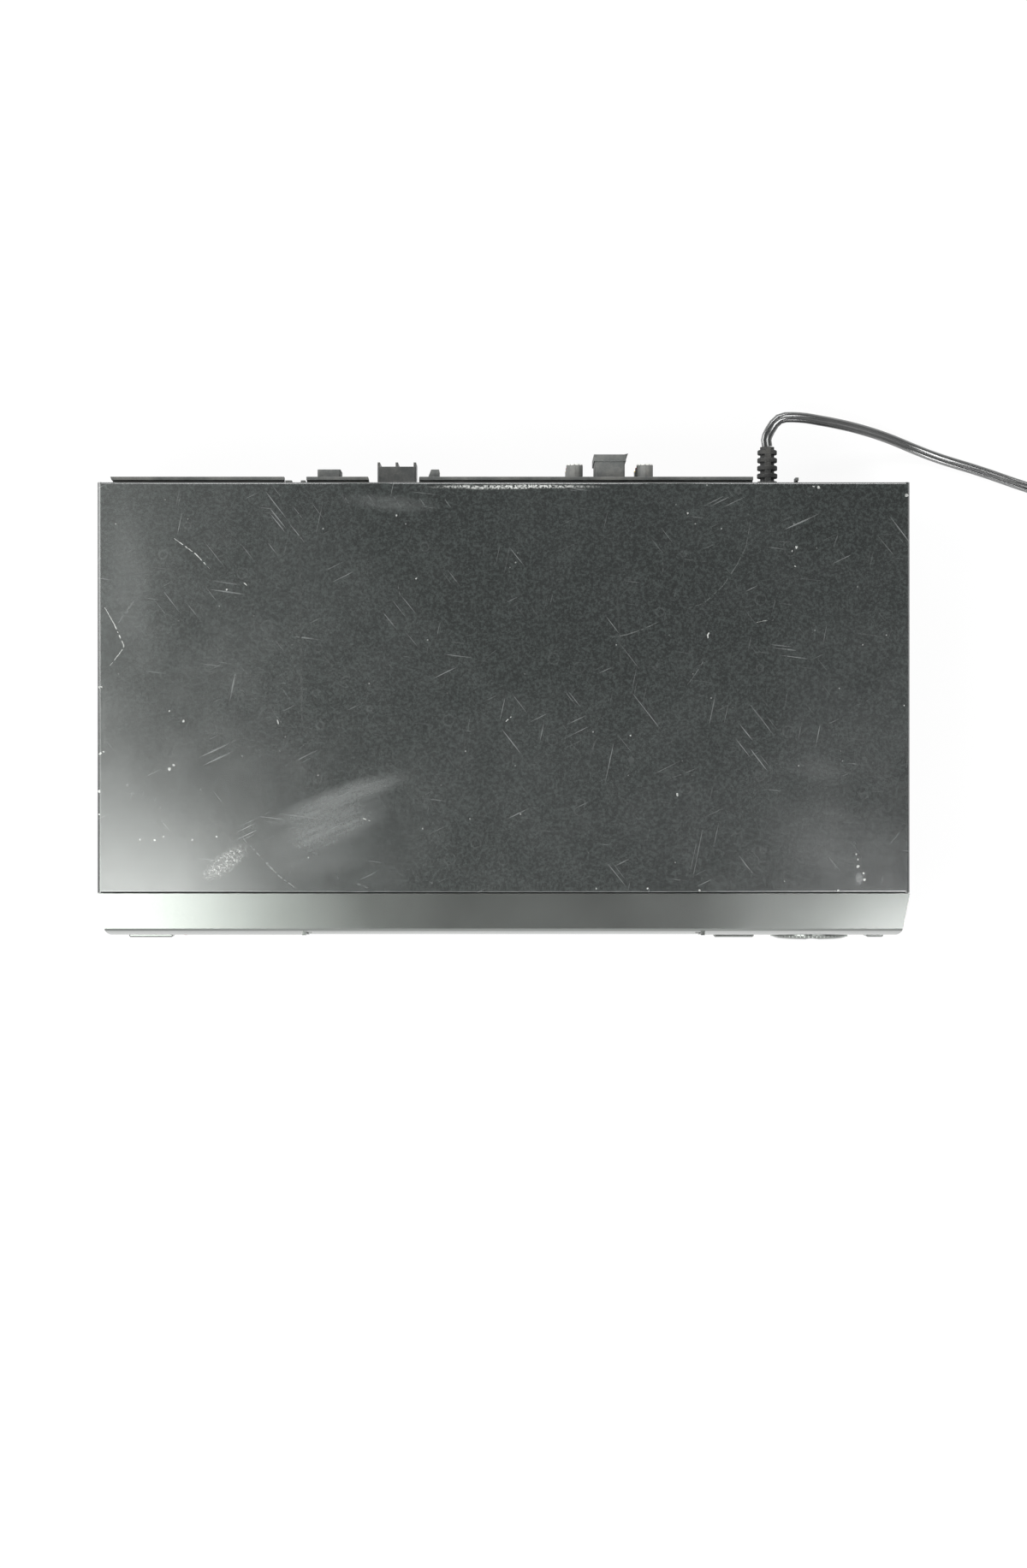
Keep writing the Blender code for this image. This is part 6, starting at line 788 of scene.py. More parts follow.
def ribbedRelief():
    facts = reliefFacts
    x, z, tip, core = facts["x"], facts["z"], facts["tip"], facts["core"]
    start = facts["panel"] + facts["root"]
    pitch = (tip - start) / facts["ribs"]
    profile = [(radius, facts["inner"] + y) for radius, y in facts["inside"]]
    profile += [(radius, facts["panel"] + y) for radius, y in facts["collar"]]
    for k in range(facts["ribs"]):
        y, rib = start + pitch * k, facts["rib"] - facts["ribLess"] * k
        profile += [(rib - 0.0003, y), (rib, y + 0.0004), (rib, y + pitch * 0.5),
                    (rib - 0.0004, y + pitch * 0.6), (core, y + pitch * 0.66), (core, y + pitch * 0.96)]
    bm = bmesh.new()
    addTurned(bm, [*profile, (core, tip), (0, tip)], (x, 0, z), (0, 1, 0), 40)
    spine = facts["spine"]
    for rise in spine["rises"]:
        low = z + rise
        addBlock(bm, (x - spine["half"], start - spine["sink"], low),
                 (x + spine["half"], tip - spine["short"], low + spine["high"]), 0.0005)
    finishPiece("ribbedRelief", bm, "soft_rubber", nodes=["strain_relief"], sharp=35)


ribbedRelief()
print("cord, plug and strain relief made")


# top cover: one folded sheet with a hem at the front and rear and slots in its sides

coverFacts = {
    "half": 0.200, "top": 0.094, "bottom": 0.0105, "bend": 0.0020, "sheet": 0.0010,
    "front": -0.1007, "rear": 0.1015, "hem": 0.0011, "drop": 0.0030, "flat": 0.00001,
    "sideSteps": 6, "topSteps": 24, "longSteps": 12, "slots": 13, "slotWidth": 0.0025, "slotHeight": 0.018,
    "slotPitch": 0.006, "slotEdge": 0.014, "slotTop": 0.018, "slotRound": 0.0008,
}


def coverSection():
    facts = coverFacts
    half, top, bend, low, steps = (facts[k] for k in ("half", "top", "bend", "bottom", "sideSteps"))
    side = [(-half, low)] + [(-half, low + (top - bend - low) * k / steps) for k in range(1, steps + 1)]
    side += [(-half + bend - bend * math.cos(a), top - bend + bend * math.sin(a))
             for a in (math.radians(15 * k) for k in range(1, 7))]
    across = facts["topSteps"]
    level = [(-half + bend + (half - bend) * 2 * k / across, top) for k in range(1, across)]
    return side + level + [(-x, z) for x, z in reversed(side)]


def stretchEdges(bm, edges, move):
    # a strip of faces off these edges; its new edges and corners
    made = bmesh.ops.extrude_edge_only(bm, edges=edges)["geom"]
    verts = vertsIn(made)
    bmesh.ops.translate(bm, vec=move, verts=verts)
    return [g for g in made if isinstance(g, bmesh.types.BMEdge)], set(verts)


def coverShell():
    facts = coverFacts
    half, top, hem, steps = facts["half"], facts["top"], facts["hem"], facts["longSteps"]
    flatFront, flatRear = facts["front"] + hem, facts["rear"] - hem
    bm = bmesh.new()
    row = [bm.verts.new((x, flatFront, z)) for x, z in coverSection()]
    edges = [bm.edges.new(pair) for pair in zip(row, row[1:])]
    current = edges
    for k in range(steps):
        made, _ = stretchEdges(bm, current, (0, (flatRear - flatFront) / steps, 0))
        reached = flatFront + (flatRear - flatFront) * (k + 0.5) / steps
        current = [e for e in made if all(v.co.y > reached for v in e.verts)]
    turns = [math.radians(turn) for turn in (0, 22, 45, 68, 90)]
    arc = [(hem * math.sin(a), hem * (math.cos(a) - 1)) for a in turns]
    moves = [(b[0] - a[0], b[1] - a[1]) for a, b in zip(arc, arc[1:])] + [(0, -facts["drop"] + hem)]
    for sign, lips in ((-1, edges), (1, current)):
        level = [e for e in lips if all(v.co.z > top - facts["flat"] for v in e.verts)]
        stretchEdges(bm, [e for e in lips if e not in level], (0, sign * hem, 0))
        for outward, rise in moves:
            made, fresh = stretchEdges(bm, level, (0, sign * outward, rise))
            level = [e for e in made if all(v in fresh for v in e.verts)]
    bmesh.ops.remove_doubles(bm, verts=bm.verts, dist=0.00001)
    bmesh.ops.recalc_face_normals(bm, faces=bm.faces)
    middle = [f for f in bm.faces if f.calc_center_median().z > top - facts["flat"]]
    if middle[0].normal.z < 0:
        bmesh.ops.reverse_faces(bm, faces=bm.faces)
    for v in bm.verts:
        if v.co.z > top - facts["flat"] and abs(v.co.x) < half - facts["bend"]:
            v.co.z = coverTop(v.co.x, v.co.y)
    bmesh.ops.solidify(bm, geom=bm.faces, thickness=facts["sheet"])
    piece = finishPiece("coverShell", bm, "cover_paint", nodes=["top_cover"])
    slots = bmesh.new()
    high = top - facts["slotTop"]
    for side in (-1, 1):
        for k in range(facts["slots"]):
            y = facts["rear"] - facts["slotEdge"] - facts["slotPitch"] * k
            addBlock(slots, (side * half - 0.003, y - facts["slotWidth"], high - facts["slotHeight"]),
                     (side * half + 0.003, y, high), facts["slotRound"])
    cutOut(piece, slots)


def coverTop(x, y):
    # the sheet sags by 0.03 to 0.15 mm in soft waves
    return coverFacts["top"] - 0.00006 * (1 + math.sin(x * 41 + 1) * math.cos(y * 37)) - 0.00003


# marks on the paint are strips and chips a little above it
strokeFacts = {"step": 0.0005, "smoothing": 6, "least": 3, "tip": 0.2, "above": 0.00002}
markFacts = {
    "hazeMarks": {"from": 0.0, "colour": (0.024, 0.028, 0.027), "strays": 110, "chips": 30},
    "faintMarks": {"from": 0.22, "colour": (0.034, 0.038, 0.038), "strays": 22, "chips": 30},
    "wornMarks": {"from": 0.42, "colour": (0.075, 0.081, 0.080), "strays": 4, "chips": 5},
    "bareMarks": {"from": 0.62, "colour": (0.42, 0.43, 0.415), "strays": 1, "chips": 1},
}


def addStroke(bm, points, half, whole):
    # a strip along a run of points, narrowing to its ends and broken where the tool lifted
    facts = strokeFacts
    run = []
    for start, end in zip(points, points[1:]):
        start, end = Vector((*start, 0)), Vector((*end, 0))
        steps = max(round((end - start).length / facts["step"]), 1)
        run += [start.lerp(end, k / steps) for k in range(steps)]
    run.append(Vector((*points[-1], 0)))
    for _ in range(facts["smoothing"]):
        run = [run[0], *[(a + b * 2 + c) / 4 for a, b, c in zip(run, run[1:], run[2:])], run[-1]]
    pieces = [[]]
    for index in range(len(run)):
        if dice.random() < whole:
            pieces[-1].append(index)
        else:
            pieces.append([])
    for kept in pieces:
        if len(kept) < facts["least"]:
            continue
        widths = {}
        for index in kept:
            share = index / (len(run) - 1)
            along = (run[min(index + 1, len(run) - 1)] - run[max(index - 1, 0)]).normalized()
            across = Vector((-along.y, along.x, 0))
            wide = half * (min(share, 1 - share) * 2 + 0.05) ** 0.35 * dice.uniform(0.35, 1.0)
            wide *= facts["tip"] if index in (kept[0], kept[-1]) else 1.0
            place = run[index] + across * dice.uniform(-0.2, 0.2) * half
            vert = bm.verts.new((place.x, place.y, coverTop(place.x, place.y) + facts["above"]))
            widths[vert] = across * wide
        chain = list(widths)
        _, fresh = stretchEdges(bm, [bm.edges.new(pair) for pair in zip(chain, chain[1:])], (0, 0, 0))
        for vert, across in widths.items():
            for edge in vert.link_edges:
                other = edge.other_vert(vert)
                if other in fresh and (other.co - vert.co).length < 0.000001:
                    other.co = vert.co - across
                    break
            vert.co += across


def addChip(bm, centre, radius):
    made = bmesh.ops.create_circle(bm, cap_ends=True, segments=9, radius=radius)["verts"]
    stretch, turn = dice.uniform(0.5, 1.0), dice.uniform(0, math.pi)
    for v in made:
        v.co *= dice.uniform(0.55, 1.1)
        v.co.x *= stretch
    bmesh.ops.rotate(bm, cent=(0, 0, 0), matrix=Matrix.Rotation(turn, 3, "Z"), verts=made)
    bmesh.ops.translate(bm, vec=(*centre, coverTop(*centre) + strokeFacts["above"]), verts=made)


def faceUp(bm):
    bmesh.ops.recalc_face_normals(bm, faces=bm.faces)
    down = [f for f in bm.faces if f.normal.z < 0]
    if down:
        bmesh.ops.reverse_faces(bm, faces=down)


def strayStroke(bm):
    x, y = dice.uniform(-0.195, 0.195), dice.uniform(-0.097, 0.097)
    turn, reach = dice.gauss(1.3, 0.8), dice.uniform(0.0012, 0.006)
    bend = dice.uniform(-0.4, 0.4)
    points = [(x, y), (x + math.cos(turn) * reach, y + math.sin(turn) * reach),
              (x + math.cos(turn) * reach + math.cos(turn + bend) * reach,
               y + math.sin(turn) * reach + math.sin(turn + bend) * reach)]
    if all(abs(px) < 0.197 and abs(py) < 0.098 for px, py in points):
        addStroke(bm, points, dice.uniform(0.00009, 0.00019), 0.96)


def paintMarks():
    limits = [facts["from"] for facts in markFacts.values()] + [2.0]
    for (name, facts), high in zip(markFacts.items(), limits[1:]):
        bm = bmesh.new()
        for points, half, strength in coverWearAndPaintedLight["lines"]:
            if facts["from"] <= strength < high:
                addStroke(bm, points, half, 1.0 if name == "hazeMarks" else min(0.8 + strength * 0.2, 0.97))
        if name == "bareMarks":
            for centre, size in coverWearAndPaintedLight["spots"]:
                addChip(bm, centre, size)
        # stray short scratches and specks all over
        for _ in range(facts["strays"]):
            strayStroke(bm)
        for _ in range(facts["chips"]):
            addChip(bm, (dice.uniform(-0.197, 0.197), dice.uniform(-0.098, 0.098)),
                    dice.uniform(0.00014, 0.00034))
        faceUp(bm)
        mesh = bpy.data.meshes.new(name)
        bm.to_mesh(mesh)
        bm.free()
        marks = bpy.data.objects.new(name, mesh)
        scene.collection.objects.link(marks)
        mesh.materials.append(dressed(name, facts["colour"], 0.22, 0.0, 0.25, 300.0, 1600.0, 0.04, level=0.85,
                                      ior=1.9, spread=0.03))
        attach(marks, "casing")


coverShell()
paintMarks()
print("cover made")

# front

roundedCopy("front_bezel", "bezelShell", 0.00055, cuts=((-0.105, -0.09, 0.09, 0.105), ()),
            fall=(0.0925, -0.101, 0.035))
roundedCopy("cassette_door", "doorShell", 0.0003)
roundedCopy("shuttle_ring", "ringShell", 0.00025)
roundedCopy("play_button", "playShell", 0.0003)
roundedCopy("display_window", "windowShell", 0.0003)

markInk = dressed("markInk", (0.045, 0.047, 0.05), 0.45, 0.0, 0.1, 200.0, 1500.0, 0.05)
trimGloss = dressed("trimGloss", (0.02, 0.021, 0.023), 0.18, 0.0, 0.1, 60.0, 900.0, 0.02, coat=0.3)
lensRed = dressed("lensRed", (0.36, 0.012, 0.010), 0.12, 0.0, 0.1, 90.0, 600.0, 0.01, coat=0.5)
lensGreen = dressed("lensGreen", (0.02, 0.16, 0.03), 0.12, 0.0, 0.1, 90.0, 600.0, 0.01, coat=0.5)

frontFacts = {
    "face": -0.1240, "playFace": -0.1244, "ink": 0.00012, "sunk": 0.0002, "small": 0.0019,
    "row": 0.0205, "centre": 0.1545, "pitch": 0.0155, "ringHeight": 0.0500,
    "eject": (0.1155, 0.0596, 0.0574), "channel": (0.1865, 0.0574, 0.0456),
    "power": (-0.1770, 0.0598, 0.0592),
    # the broken ring's outer and inner radius, first and last turn and step in degrees
    "powerRing": (0.0019, 0.0015, 35, 325, 15),
}


def addPlate(bm, outline, y, thick):
    # a flat shape in the face's plane, outline in (x, z), standing out towards the front
    pushFace(bm, [(x, y, z) for x, z in outline], (0, -thick, 0))


def roundPoints(x, z, radius, turns):
    angles = [math.radians(turn) for turn in turns]
    return [(x + radius * math.cos(a), z + radius * math.sin(a)) for a in angles]


def arrow(x, z, size, turn):
    # a triangle pointing along turn degrees
    return roundPoints(x, z, size, [turn + a for a in (0, 125, 235)])


def bar(x, z, wide, high):
    return [(x - wide, z - high), (x + wide, z - high), (x + wide, z + high), (x - wide, z + high)]


def brokenRing():
    x, _, z = frontFacts["power"]
    outer, inner, first, last, step = frontFacts["powerRing"]
    return [(x + r * math.sin(a), z + r * math.cos(a))
            for r, turns in ((outer, range(first, last + 1, step)), (inner, range(last, first - 1, -step)))
            for a in (math.radians(t) for t in turns)]


def buttonSigns():
    size, row, centre, pitch = (frontFacts[k] for k in ("small", "row", "centre", "pitch"))
    eject, channel, power = (frontFacts[k] for k in ("eject", "channel", "power"))
    return {
        "rewind": [arrow(centre - 2 * pitch + d * size, row, size, 180) for d in (-0.6, 0.9)],
        "stop": [bar(centre - pitch, row, size * 0.75, size * 0.75)],
        "pause": [bar(centre + d * size * 0.6, row, size * 0.25, size * 0.85) for d in (-1, 1)],
        "forward": [arrow(centre + pitch + d * size, row, size, 0) for d in (-0.9, 0.6)],
        "record": [roundPoints(centre + 2 * pitch, row, size * 0.8, range(0, 360, 18))],
        "eject": [arrow(eject[0], eject[1], size, 90), bar(eject[0], eject[2], size, size * 0.16)],
        "channel_up": [arrow(channel[0], channel[1], size * 0.9, 90)],
        "channel_down": [arrow(channel[0], channel[2], size * 0.9, 270)],
        "power": [bar(power[0], power[1], size * 0.13, size * 0.6), brokenRing()],
        "play": [arrow(centre, frontFacts["ringHeight"], size * 2.1, 0)],
    }


for buttonName, shapes in buttonSigns().items():
    title = buttonName.replace("_u", "U").replace("_d", "D")
    if buttonName != "play":
        roundedCopy(buttonName + "_button", title + "Cap", 0.0005, segments=3)
    face = frontFacts["playFace" if buttonName == "play" else "face"]
    bm = bmesh.new()
    for outline in shapes:
        addPlate(bm, outline, face + frontFacts["sunk"], frontFacts["ink"] + frontFacts["sunk"])
    finishPiece(title + "Sign", bm, "black_plastic", markInk, body=buttonName)

gripFacts = {"ribs": 60, "radius": 0.0193, "low": -0.0004, "high": 0.00016, "half": 0.0003,
             "front": -0.12415, "back": -0.12235, "edge": 0.00012}


def ringGrip():
    # fine ribs round the shuttle ring's rim
    facts = gripFacts
    bm = bmesh.new()
    for k in range(facts["ribs"]):
        start = set(bm.verts)
        addBlock(bm, (facts["radius"] + facts["low"], facts["front"], -facts["half"]),
                 (facts["radius"] + facts["high"], facts["back"], facts["half"]), facts["edge"])
        bmesh.ops.rotate(bm, cent=(0, 0, 0), matrix=Matrix.Rotation(2 * math.pi * k / facts["ribs"], 3, "Y"),
                         verts=[v for v in bm.verts if v not in start])
    bmesh.ops.translate(bm, vec=(frontFacts["centre"], 0, frontFacts["ringHeight"]), verts=bm.verts)
    finishPiece("ringGrip", bm, "silver_plastic", body="ring")


ringGrip()

trimFacts = {
    # two inlaid strips: low corner, high corner, edge
    "strips": [((-0.1935, -0.12272, 0.0500), (0.0980, -0.1221, 0.0511), 0.0002),
               ((-0.1935, -0.12266, 0.0134), (0.1935, -0.1221, 0.0140), 0.00015)],
    "lens": [(0, -0.12315), (0.0006, -0.1231), (0.0011, -0.1229), (0.0014, -0.1225), (0.0014, -0.1222),
             (0, -0.1222)],
    "lenses": {"powerLens": (-0.1600, 0.0590, lensRed), "recordLens": (0.1200, 0.0330, lensRed),
               "tapeLens": (0.0860, 0.0330, lensGreen)},
}


def frontTrim():
    bm = bmesh.new()
    for low, high, edge in trimFacts["strips"]:
        addBlock(bm, low, high, edge)
    finishPiece("frontTrim", bm, "black_plastic", trimGloss)
    for name, (x, z, finish) in trimFacts["lenses"].items():
        bm = bmesh.new()
        addTurned(bm, trimFacts["lens"], (x, 0, z), (0, 1, 0), 20)
        finishPiece(name, bm, "smoked_window", finish, sharp=60)


frontTrim()

jackColours = {"yellow": (0.72, 0.50, 0.03), "white": (0.72, 0.72, 0.69), "red": (0.50, 0.03, 0.025)}
jackFinishes = {name: dressed(name + "Insert", colour, 0.38, 0.0, 0.08, 120.0, 1200.0, 0.1, dust=0.12)
                for name, colour in jackColours.items()}
gilt = dressed("giltContact", (0.74, 0.55, 0.24), 0.24, 1.0, 0.08, 90.0, 900.0, 0.05)

# coloured ring, plated sleeve and the insulated centre contact: radius and place from the mouth, steps
jackFacts = {
    "Ring": ([(0.0030, -0.0004), (0.0041, -0.0004), (0.00405, 0.0001), (0.0038, 0.0003), (0.0032, 0.0003),
              (0.0030, 0.0001)], 28),
    "Sleeve": ([(0.0023, -0.0004), (0.0030, -0.0004), (0.0030, 0.0001), (0.0028, 0.0002),
                (0.0023, 0.0001)], 28),
    "Contact": ([(0.0009, -0.0050), (0.0016, -0.0050), (0.0016, -0.0012), (0.0013, -0.0008),
                 (0.0009, -0.0010)], 20),
}
rearRows = [(0.074, "white"), (0.0575, "red"), (0.041, "yellow")]
jackPlaces = {
    "front": {"mouth": 0.1222, "facing": -1, "slot": "black_plastic",
              "jacks": [("frontVideo", -0.183, 0.026, "yellow"), ("frontLeft", -0.169, 0.026, "white"),
                        ("frontRight", -0.155, 0.026, "red")]},
    "rear": {"mouth": 0.1120, "facing": 1, "slot": "grey_plastic",
             "jacks": [(side + "Jack" + str(row), x, *rearRows[row])
                       for side, x in (("in", 0.0353), ("out", 0.0703)) for row in range(3)]},
}


def phonoJacks(end):
    facts = jackPlaces[end]
    for name, x, z, colour in facts["jacks"]:
        looks = {"Ring": (facts["slot"], jackFinishes[colour]), "Sleeve": ("polished_steel", nickel),
                 "Contact": ("polished_steel", gilt)}
        for part, (profile, steps) in jackFacts.items():
            bm = bmesh.new()
            addTurned(bm, [(radius, facts["mouth"] + y) for radius, y in [*profile, profile[0]]], (x, 0, z),
                      (0, facts["facing"], 0), steps)
            finishPiece(name + part, bm, *looks[part])


phonoJacks("front")
print("front made")

# rear

roundedCopy("rear_panel", "rearShell", 0.00025)
roundedCopy("av_input_jacks", "inputShell", 0.00025)
roundedCopy("av_output_jacks", "outputShell", 0.00025)
roundedCopy("channel_knob", "knobShell", 0.0003)
phonoJacks("rear")

aerialFacts = {
    "x": 0.0528, "heights": (0.0705, 0.0535), "foot": [(0.0012, 0.1020), (0.0047, 0.1020)],
    "turns": 16, "thread": (0.0044, 0.0048), "start": 0.1030, "pitch": 0.0006,
    "tip": [(0.0044, 0.1128), (0.0041, 0.1134), (0.0034, 0.1134), (0.0032, 0.1130), (0.0012, 0.1130),
            (0.0012, 0.1020)],
    "nut": {"radius": 0.0062, "depth": 0.0018, "y": 0.1032, "edge": 0.0002},
}


def aerialSockets():
    # threaded barrels with a hexagon nut at the foot
    facts, nut = aerialFacts, aerialFacts["nut"]
    profile = facts["foot"][:]
    for k in range(facts["turns"]):
        y = facts["start"] + facts["pitch"] * k
        profile += [(facts["thread"][0], y), (facts["thread"][1], y + facts["pitch"] / 2)]
    bm = bmesh.new()
    for z in facts["heights"]:
        addTurned(bm, profile + facts["tip"], (facts["x"], 0, z), (0, 1, 0), 30)
        made = bmesh.ops.create_cone(
            bm, cap_ends=True, segments=6, radius1=nut["radius"], radius2=nut["radius"], depth=nut["depth"],
            matrix=Matrix.Translation((facts["x"], nut["y"], z)) @ Matrix.Rotation(math.pi / 2, 4, "X"))
        breakEdges(bm, list({e for v in made["verts"] for e in v.link_edges}), nut["edge"], 1)
    finishPiece("aerialSockets", bm, "polished_steel", nickel, sharp=30)


aerialSockets()

screwBlack = dressed("screwBlack", (0.05, 0.05, 0.052), 0.34, 0.7, 0.2, 200.0, 1200.0, 0.1,
                     wear=(0.4, 0.4, 0.4), wearAt=0.0002)
screwFacts = {
    # the head's profile: share of its radius and height; the cross recess: half width, share of the radius
    "head": [(0, 0.0012), (0.45, 0.00112), (0.8, 0.0008), (1, 0.0002), (1, -0.0004), (0, -0.0004)],
    "recess": (0.0003, 0.6, 0.00128, 0.0004),
    "rear": [(-0.150, 0.0165), (0.010, 0.0165), (0.172, 0.0165), (0.172, 0.0760), (-0.1035, 0.0760),
             (0.0528, 0.0865)],
    "rearFace": 0.1004, "rearRadius": 0.0028,
    "under": [(-0.120, -0.060), (0.120, -0.060), (-0.120, 0.060), (0.120, 0.060), (0.0, 0.0885),
              (0.0, -0.0885)],
    "underFace": 0.0090, "underRadius": 0.0026,
    "side": (-0.078, 0.086), "sideFace": 0.1987, "sideHeight": 0.0180, "sideRadius": 0.0030,
}


def addScrew(bm, place, facing, radius):
    # domed head with a cross recess; facing is the way out of the surface
    start = set(bm.verts)
    addTurned(bm, [(radius * share, high) for share, high in screwFacts["head"]], (0, 0, 0), steps=20)
    half, share, high, deep = screwFacts["recess"]
    reach = radius * share
    cross = [(half, half), (half, reach), (-half, reach), (-half, half), (-reach, half), (-reach, -half),
             (-half, -half), (-half, -reach), (half, -reach), (half, -half), (reach, -half), (reach, half)]
    pushFace(bm, [(x, y, high) for x, y in cross], (0, 0, -deep))
    made = [v for v in bm.verts if v not in start]
    turn = Vector((0, 0, 1)).rotation_difference(Vector(facing)).to_matrix()
    bmesh.ops.rotate(bm, cent=(0, 0, 0), matrix=turn @ Matrix.Rotation(dice.uniform(0, 1.5), 3, "Z"),
                     verts=made)
    bmesh.ops.translate(bm, vec=place, verts=made)


def addScrews():
    facts = screwFacts
    bm = bmesh.new()
    for x, z in facts["rear"]:
        addScrew(bm, (x, facts["rearFace"], z), (0, 1, 0), facts["rearRadius"])
    for x, y in facts["under"]:
        addScrew(bm, (x, y, facts["underFace"]), (0, 0, -1), facts["underRadius"])
    finishPiece("casingScrews", bm, "black_plastic", screwBlack)
    bm = bmesh.new()
    for side in (-1, 1):
        for y in facts["side"]:
            addScrew(bm, (side * facts["sideFace"], y, facts["sideHeight"]), (side, 0, 0),
                     facts["sideRadius"])
    finishPiece("sideScrews", bm, "black_plastic", screwBlack)


addScrews()

# underside

roundedCopy("bottom_chassis", "chassisTray", 0.00025, cuts=((-0.1323, 0.1323), (-0.0458, 0.0523)))

footFacts = {
    "places": {"foot_front_left": (-0.166, -0.071), "foot_front_right": (0.166, -0.071),
               "foot_rear_left": (-0.166, 0.0715), "foot_rear_right": (0.166, 0.0715)},
    "profile": [(0, 0.0044), (0.0036, 0.0044), (0.0040, 0.0040), (0.0042, 0.0006), (0.0048, 0.0001),
                (0.0062, 0.0), (0.0066, 0.0004), (0.0070, 0.0004), (0.0074, 0.0), (0.0092, 0.0001),
                (0.0100, 0.0007), (0.0106, 0.0024), (0.0108, 0.0062), (0.0106, 0.0078), (0.0101, 0.0085),
                (0, 0.0085)],
}


def camel(nodeName):
    words = nodeName.split("_")
    return words[0] + "".join(w.title() for w in words[1:])


for nodeName, place in footFacts["places"].items():
    bm = bmesh.new()
    addTurned(bm, footFacts["profile"], (*place, 0), steps=36)
    finishPiece(camel(nodeName), bm, "soft_rubber", nodes=[nodeName])
print("rear and underside made")

# inside: the carried-over nodes with broken edges

insideFacts = {"width": 0.00018, "widths": {"tuner_module": 0.00005},
               "cuts": {"deck_plate": ((-0.06, 0.0, 0.06), (-0.05, 0.0, 0.04))}}
for nodeName in ("deck_plate", "side_bracket_left", "side_bracket_right", "holder_slider", "cassette_holder",
                 "tuner_module", "channel_switch", "lower_drum", "upper_drum", "supply_reel_table",
                 "takeup_reel_table", "capstan_flywheel", "loading_motor", "idler_arm", "pinch_arm",
                 "full_erase_head", "audio_head", "supply_guide_sled", "takeup_guide_sled", "idler_wheel",
                 "pinch_roller", "capstan_bearing", "front_av_jacks", "display_tube"):
    roundedCopy(nodeName, camel(nodeName), insideFacts["widths"].get(nodeName, insideFacts["width"]),
                cuts=insideFacts["cuts"].get(nodeName, ((), ())))
print("inside made")

# circuit boards, wound parts and gears

chipBlack = dressed("chipBlack", (0.018, 0.018, 0.020), 0.42, 0.0, 0.15, 150.0, 1400.0, 0.12)
sleeveBlue = dressed("sleeveBlue", (0.012, 0.016, 0.050), 0.30, 0.0, 0.15, 160.0, 900.0, 0.03)
canTop = dressed("canTop", (0.62, 0.62, 0.63), 0.32, 0.95, 0.08, 200.0, 1500.0, 0.08)
resistorTan = dressed("resistorTan", (0.45, 0.30, 0.15), 0.38, 0.0, 0.2, 300.0, 1800.0, 0.05)
finAluminium = dressed("finAluminium", (0.50, 0.51, 0.52), 0.36, 0.95, 0.08, 90.0, 700.0, 0.1,
                       stretch=(1, 1, 20))
fuseGlass = dressed("fuseGlass", (0.42, 0.46, 0.46), 0.08, 0.2, 0.1, 200.0, 900.0, 0.02, coat=0.6)
coreSteel = dressed("coreSteel", (0.16, 0.155, 0.15), 0.45, 0.7, 0.2, 120.0, 900.0, 0.5, stretch=(1, 40, 1),
                    wear=(0.30, 0.14, 0.07), wearAt=0.0005)
windingTape = dressed("windingTape", (0.50, 0.34, 0.05), 0.34, 0.0, 0.12, 90.0, 700.0, 0.08,
                      stretch=(1, 1, 12))

boardFacts = {
    "low": 0.0143, "high": 0.0159, "edge": 0.0002,
    "main": [(-0.194, -0.095), (-0.113, -0.095), (-0.113, 0.0811), (0.100, 0.0811), (0.100, 0.0976),
             (-0.194, 0.0976)],
    "power": [(0.114, -0.0200), (0.194, -0.0200), (0.194, 0.0976), (0.114, 0.0976)],
    "chips": [(-0.1697, -0.0642), (-0.1357, -0.0526), (-0.1697, -0.0141), (-0.1373, 0.0109),
              (-0.1681, 0.0475)],
    "chipSize": (0.0243, 0.0130, 0.0189), "legPitch": 0.0020,
    "mainCans": [(-0.1843, -0.0411), (-0.1519, -0.0334), (-0.1227, -0.0218), (-0.1819, 0.0129),
                 (-0.1535, 0.0283), (-0.1243, 0.0398), (-0.1438, 0.0668)],
    "powerCans": [(0.1252, 0.0482), (0.1380, 0.0482), (0.1508, 0.0529), (0.1860, 0.0811)],
    "canRadius": 0.0040, "canTop": 0.0281,
    "reservoir": ((0.1748, 0.0529), 0.0125, 0.0479),
    "shield": ((-0.1859, 0.0701), (-0.1495, 0.0895), 0.0289),
    # heat sink: corner, width, sheet, top and fins; fuse: corner, length, height, radius, end cap's length
    "sink": ((0.1268, 0.0623), 0.032, 0.002, 0.0499, 9),
    "fuse": ((0.154, 0.0823), 0.0125, 0.0179, 0.0024, 0.0035),
    # connectors: corner and pins
    "connectors": [(-0.188, -0.082, 6), (-0.120, 0.058, 5), (-0.186, 0.030, 4)], "pinPitch": 0.0025,
    "resistor": [(0, 0.0032), (0.0008, 0.0031), (0.0011, 0.0027), (0.0011, 0.0017), (0.0009, 0.0013)],
    "mainResistors": ((-0.187, -0.090), (-0.119, 0.078), (0.0113, 0.0052)),
    "powerResistors": ((0.121, -0.014), (0.188, 0.092), (0.0113, 0.0058)),
    # the transformer, reservoir, heat sink and fuse, kept free of resistors: middle, half width, half depth
    "powerTall": [((0.156, 0.012), 0.027, 0.023), ((0.1748, 0.0529), 0.013, 0.013),
                  ((0.143, 0.066), 0.017, 0.006), ((0.154, 0.0885), 0.005, 0.008)],
}


def addSlab(bm, outline, low, high, edge):
    top = pushFace(bm, [(x, y, low) for x, y in outline], (0, 0, high - low))
    rim = list({e for v in top for e in v.link_edges if abs(e.verts[0].co.z - e.verts[1].co.z) > edge})
    breakEdges(bm, rim, edge)


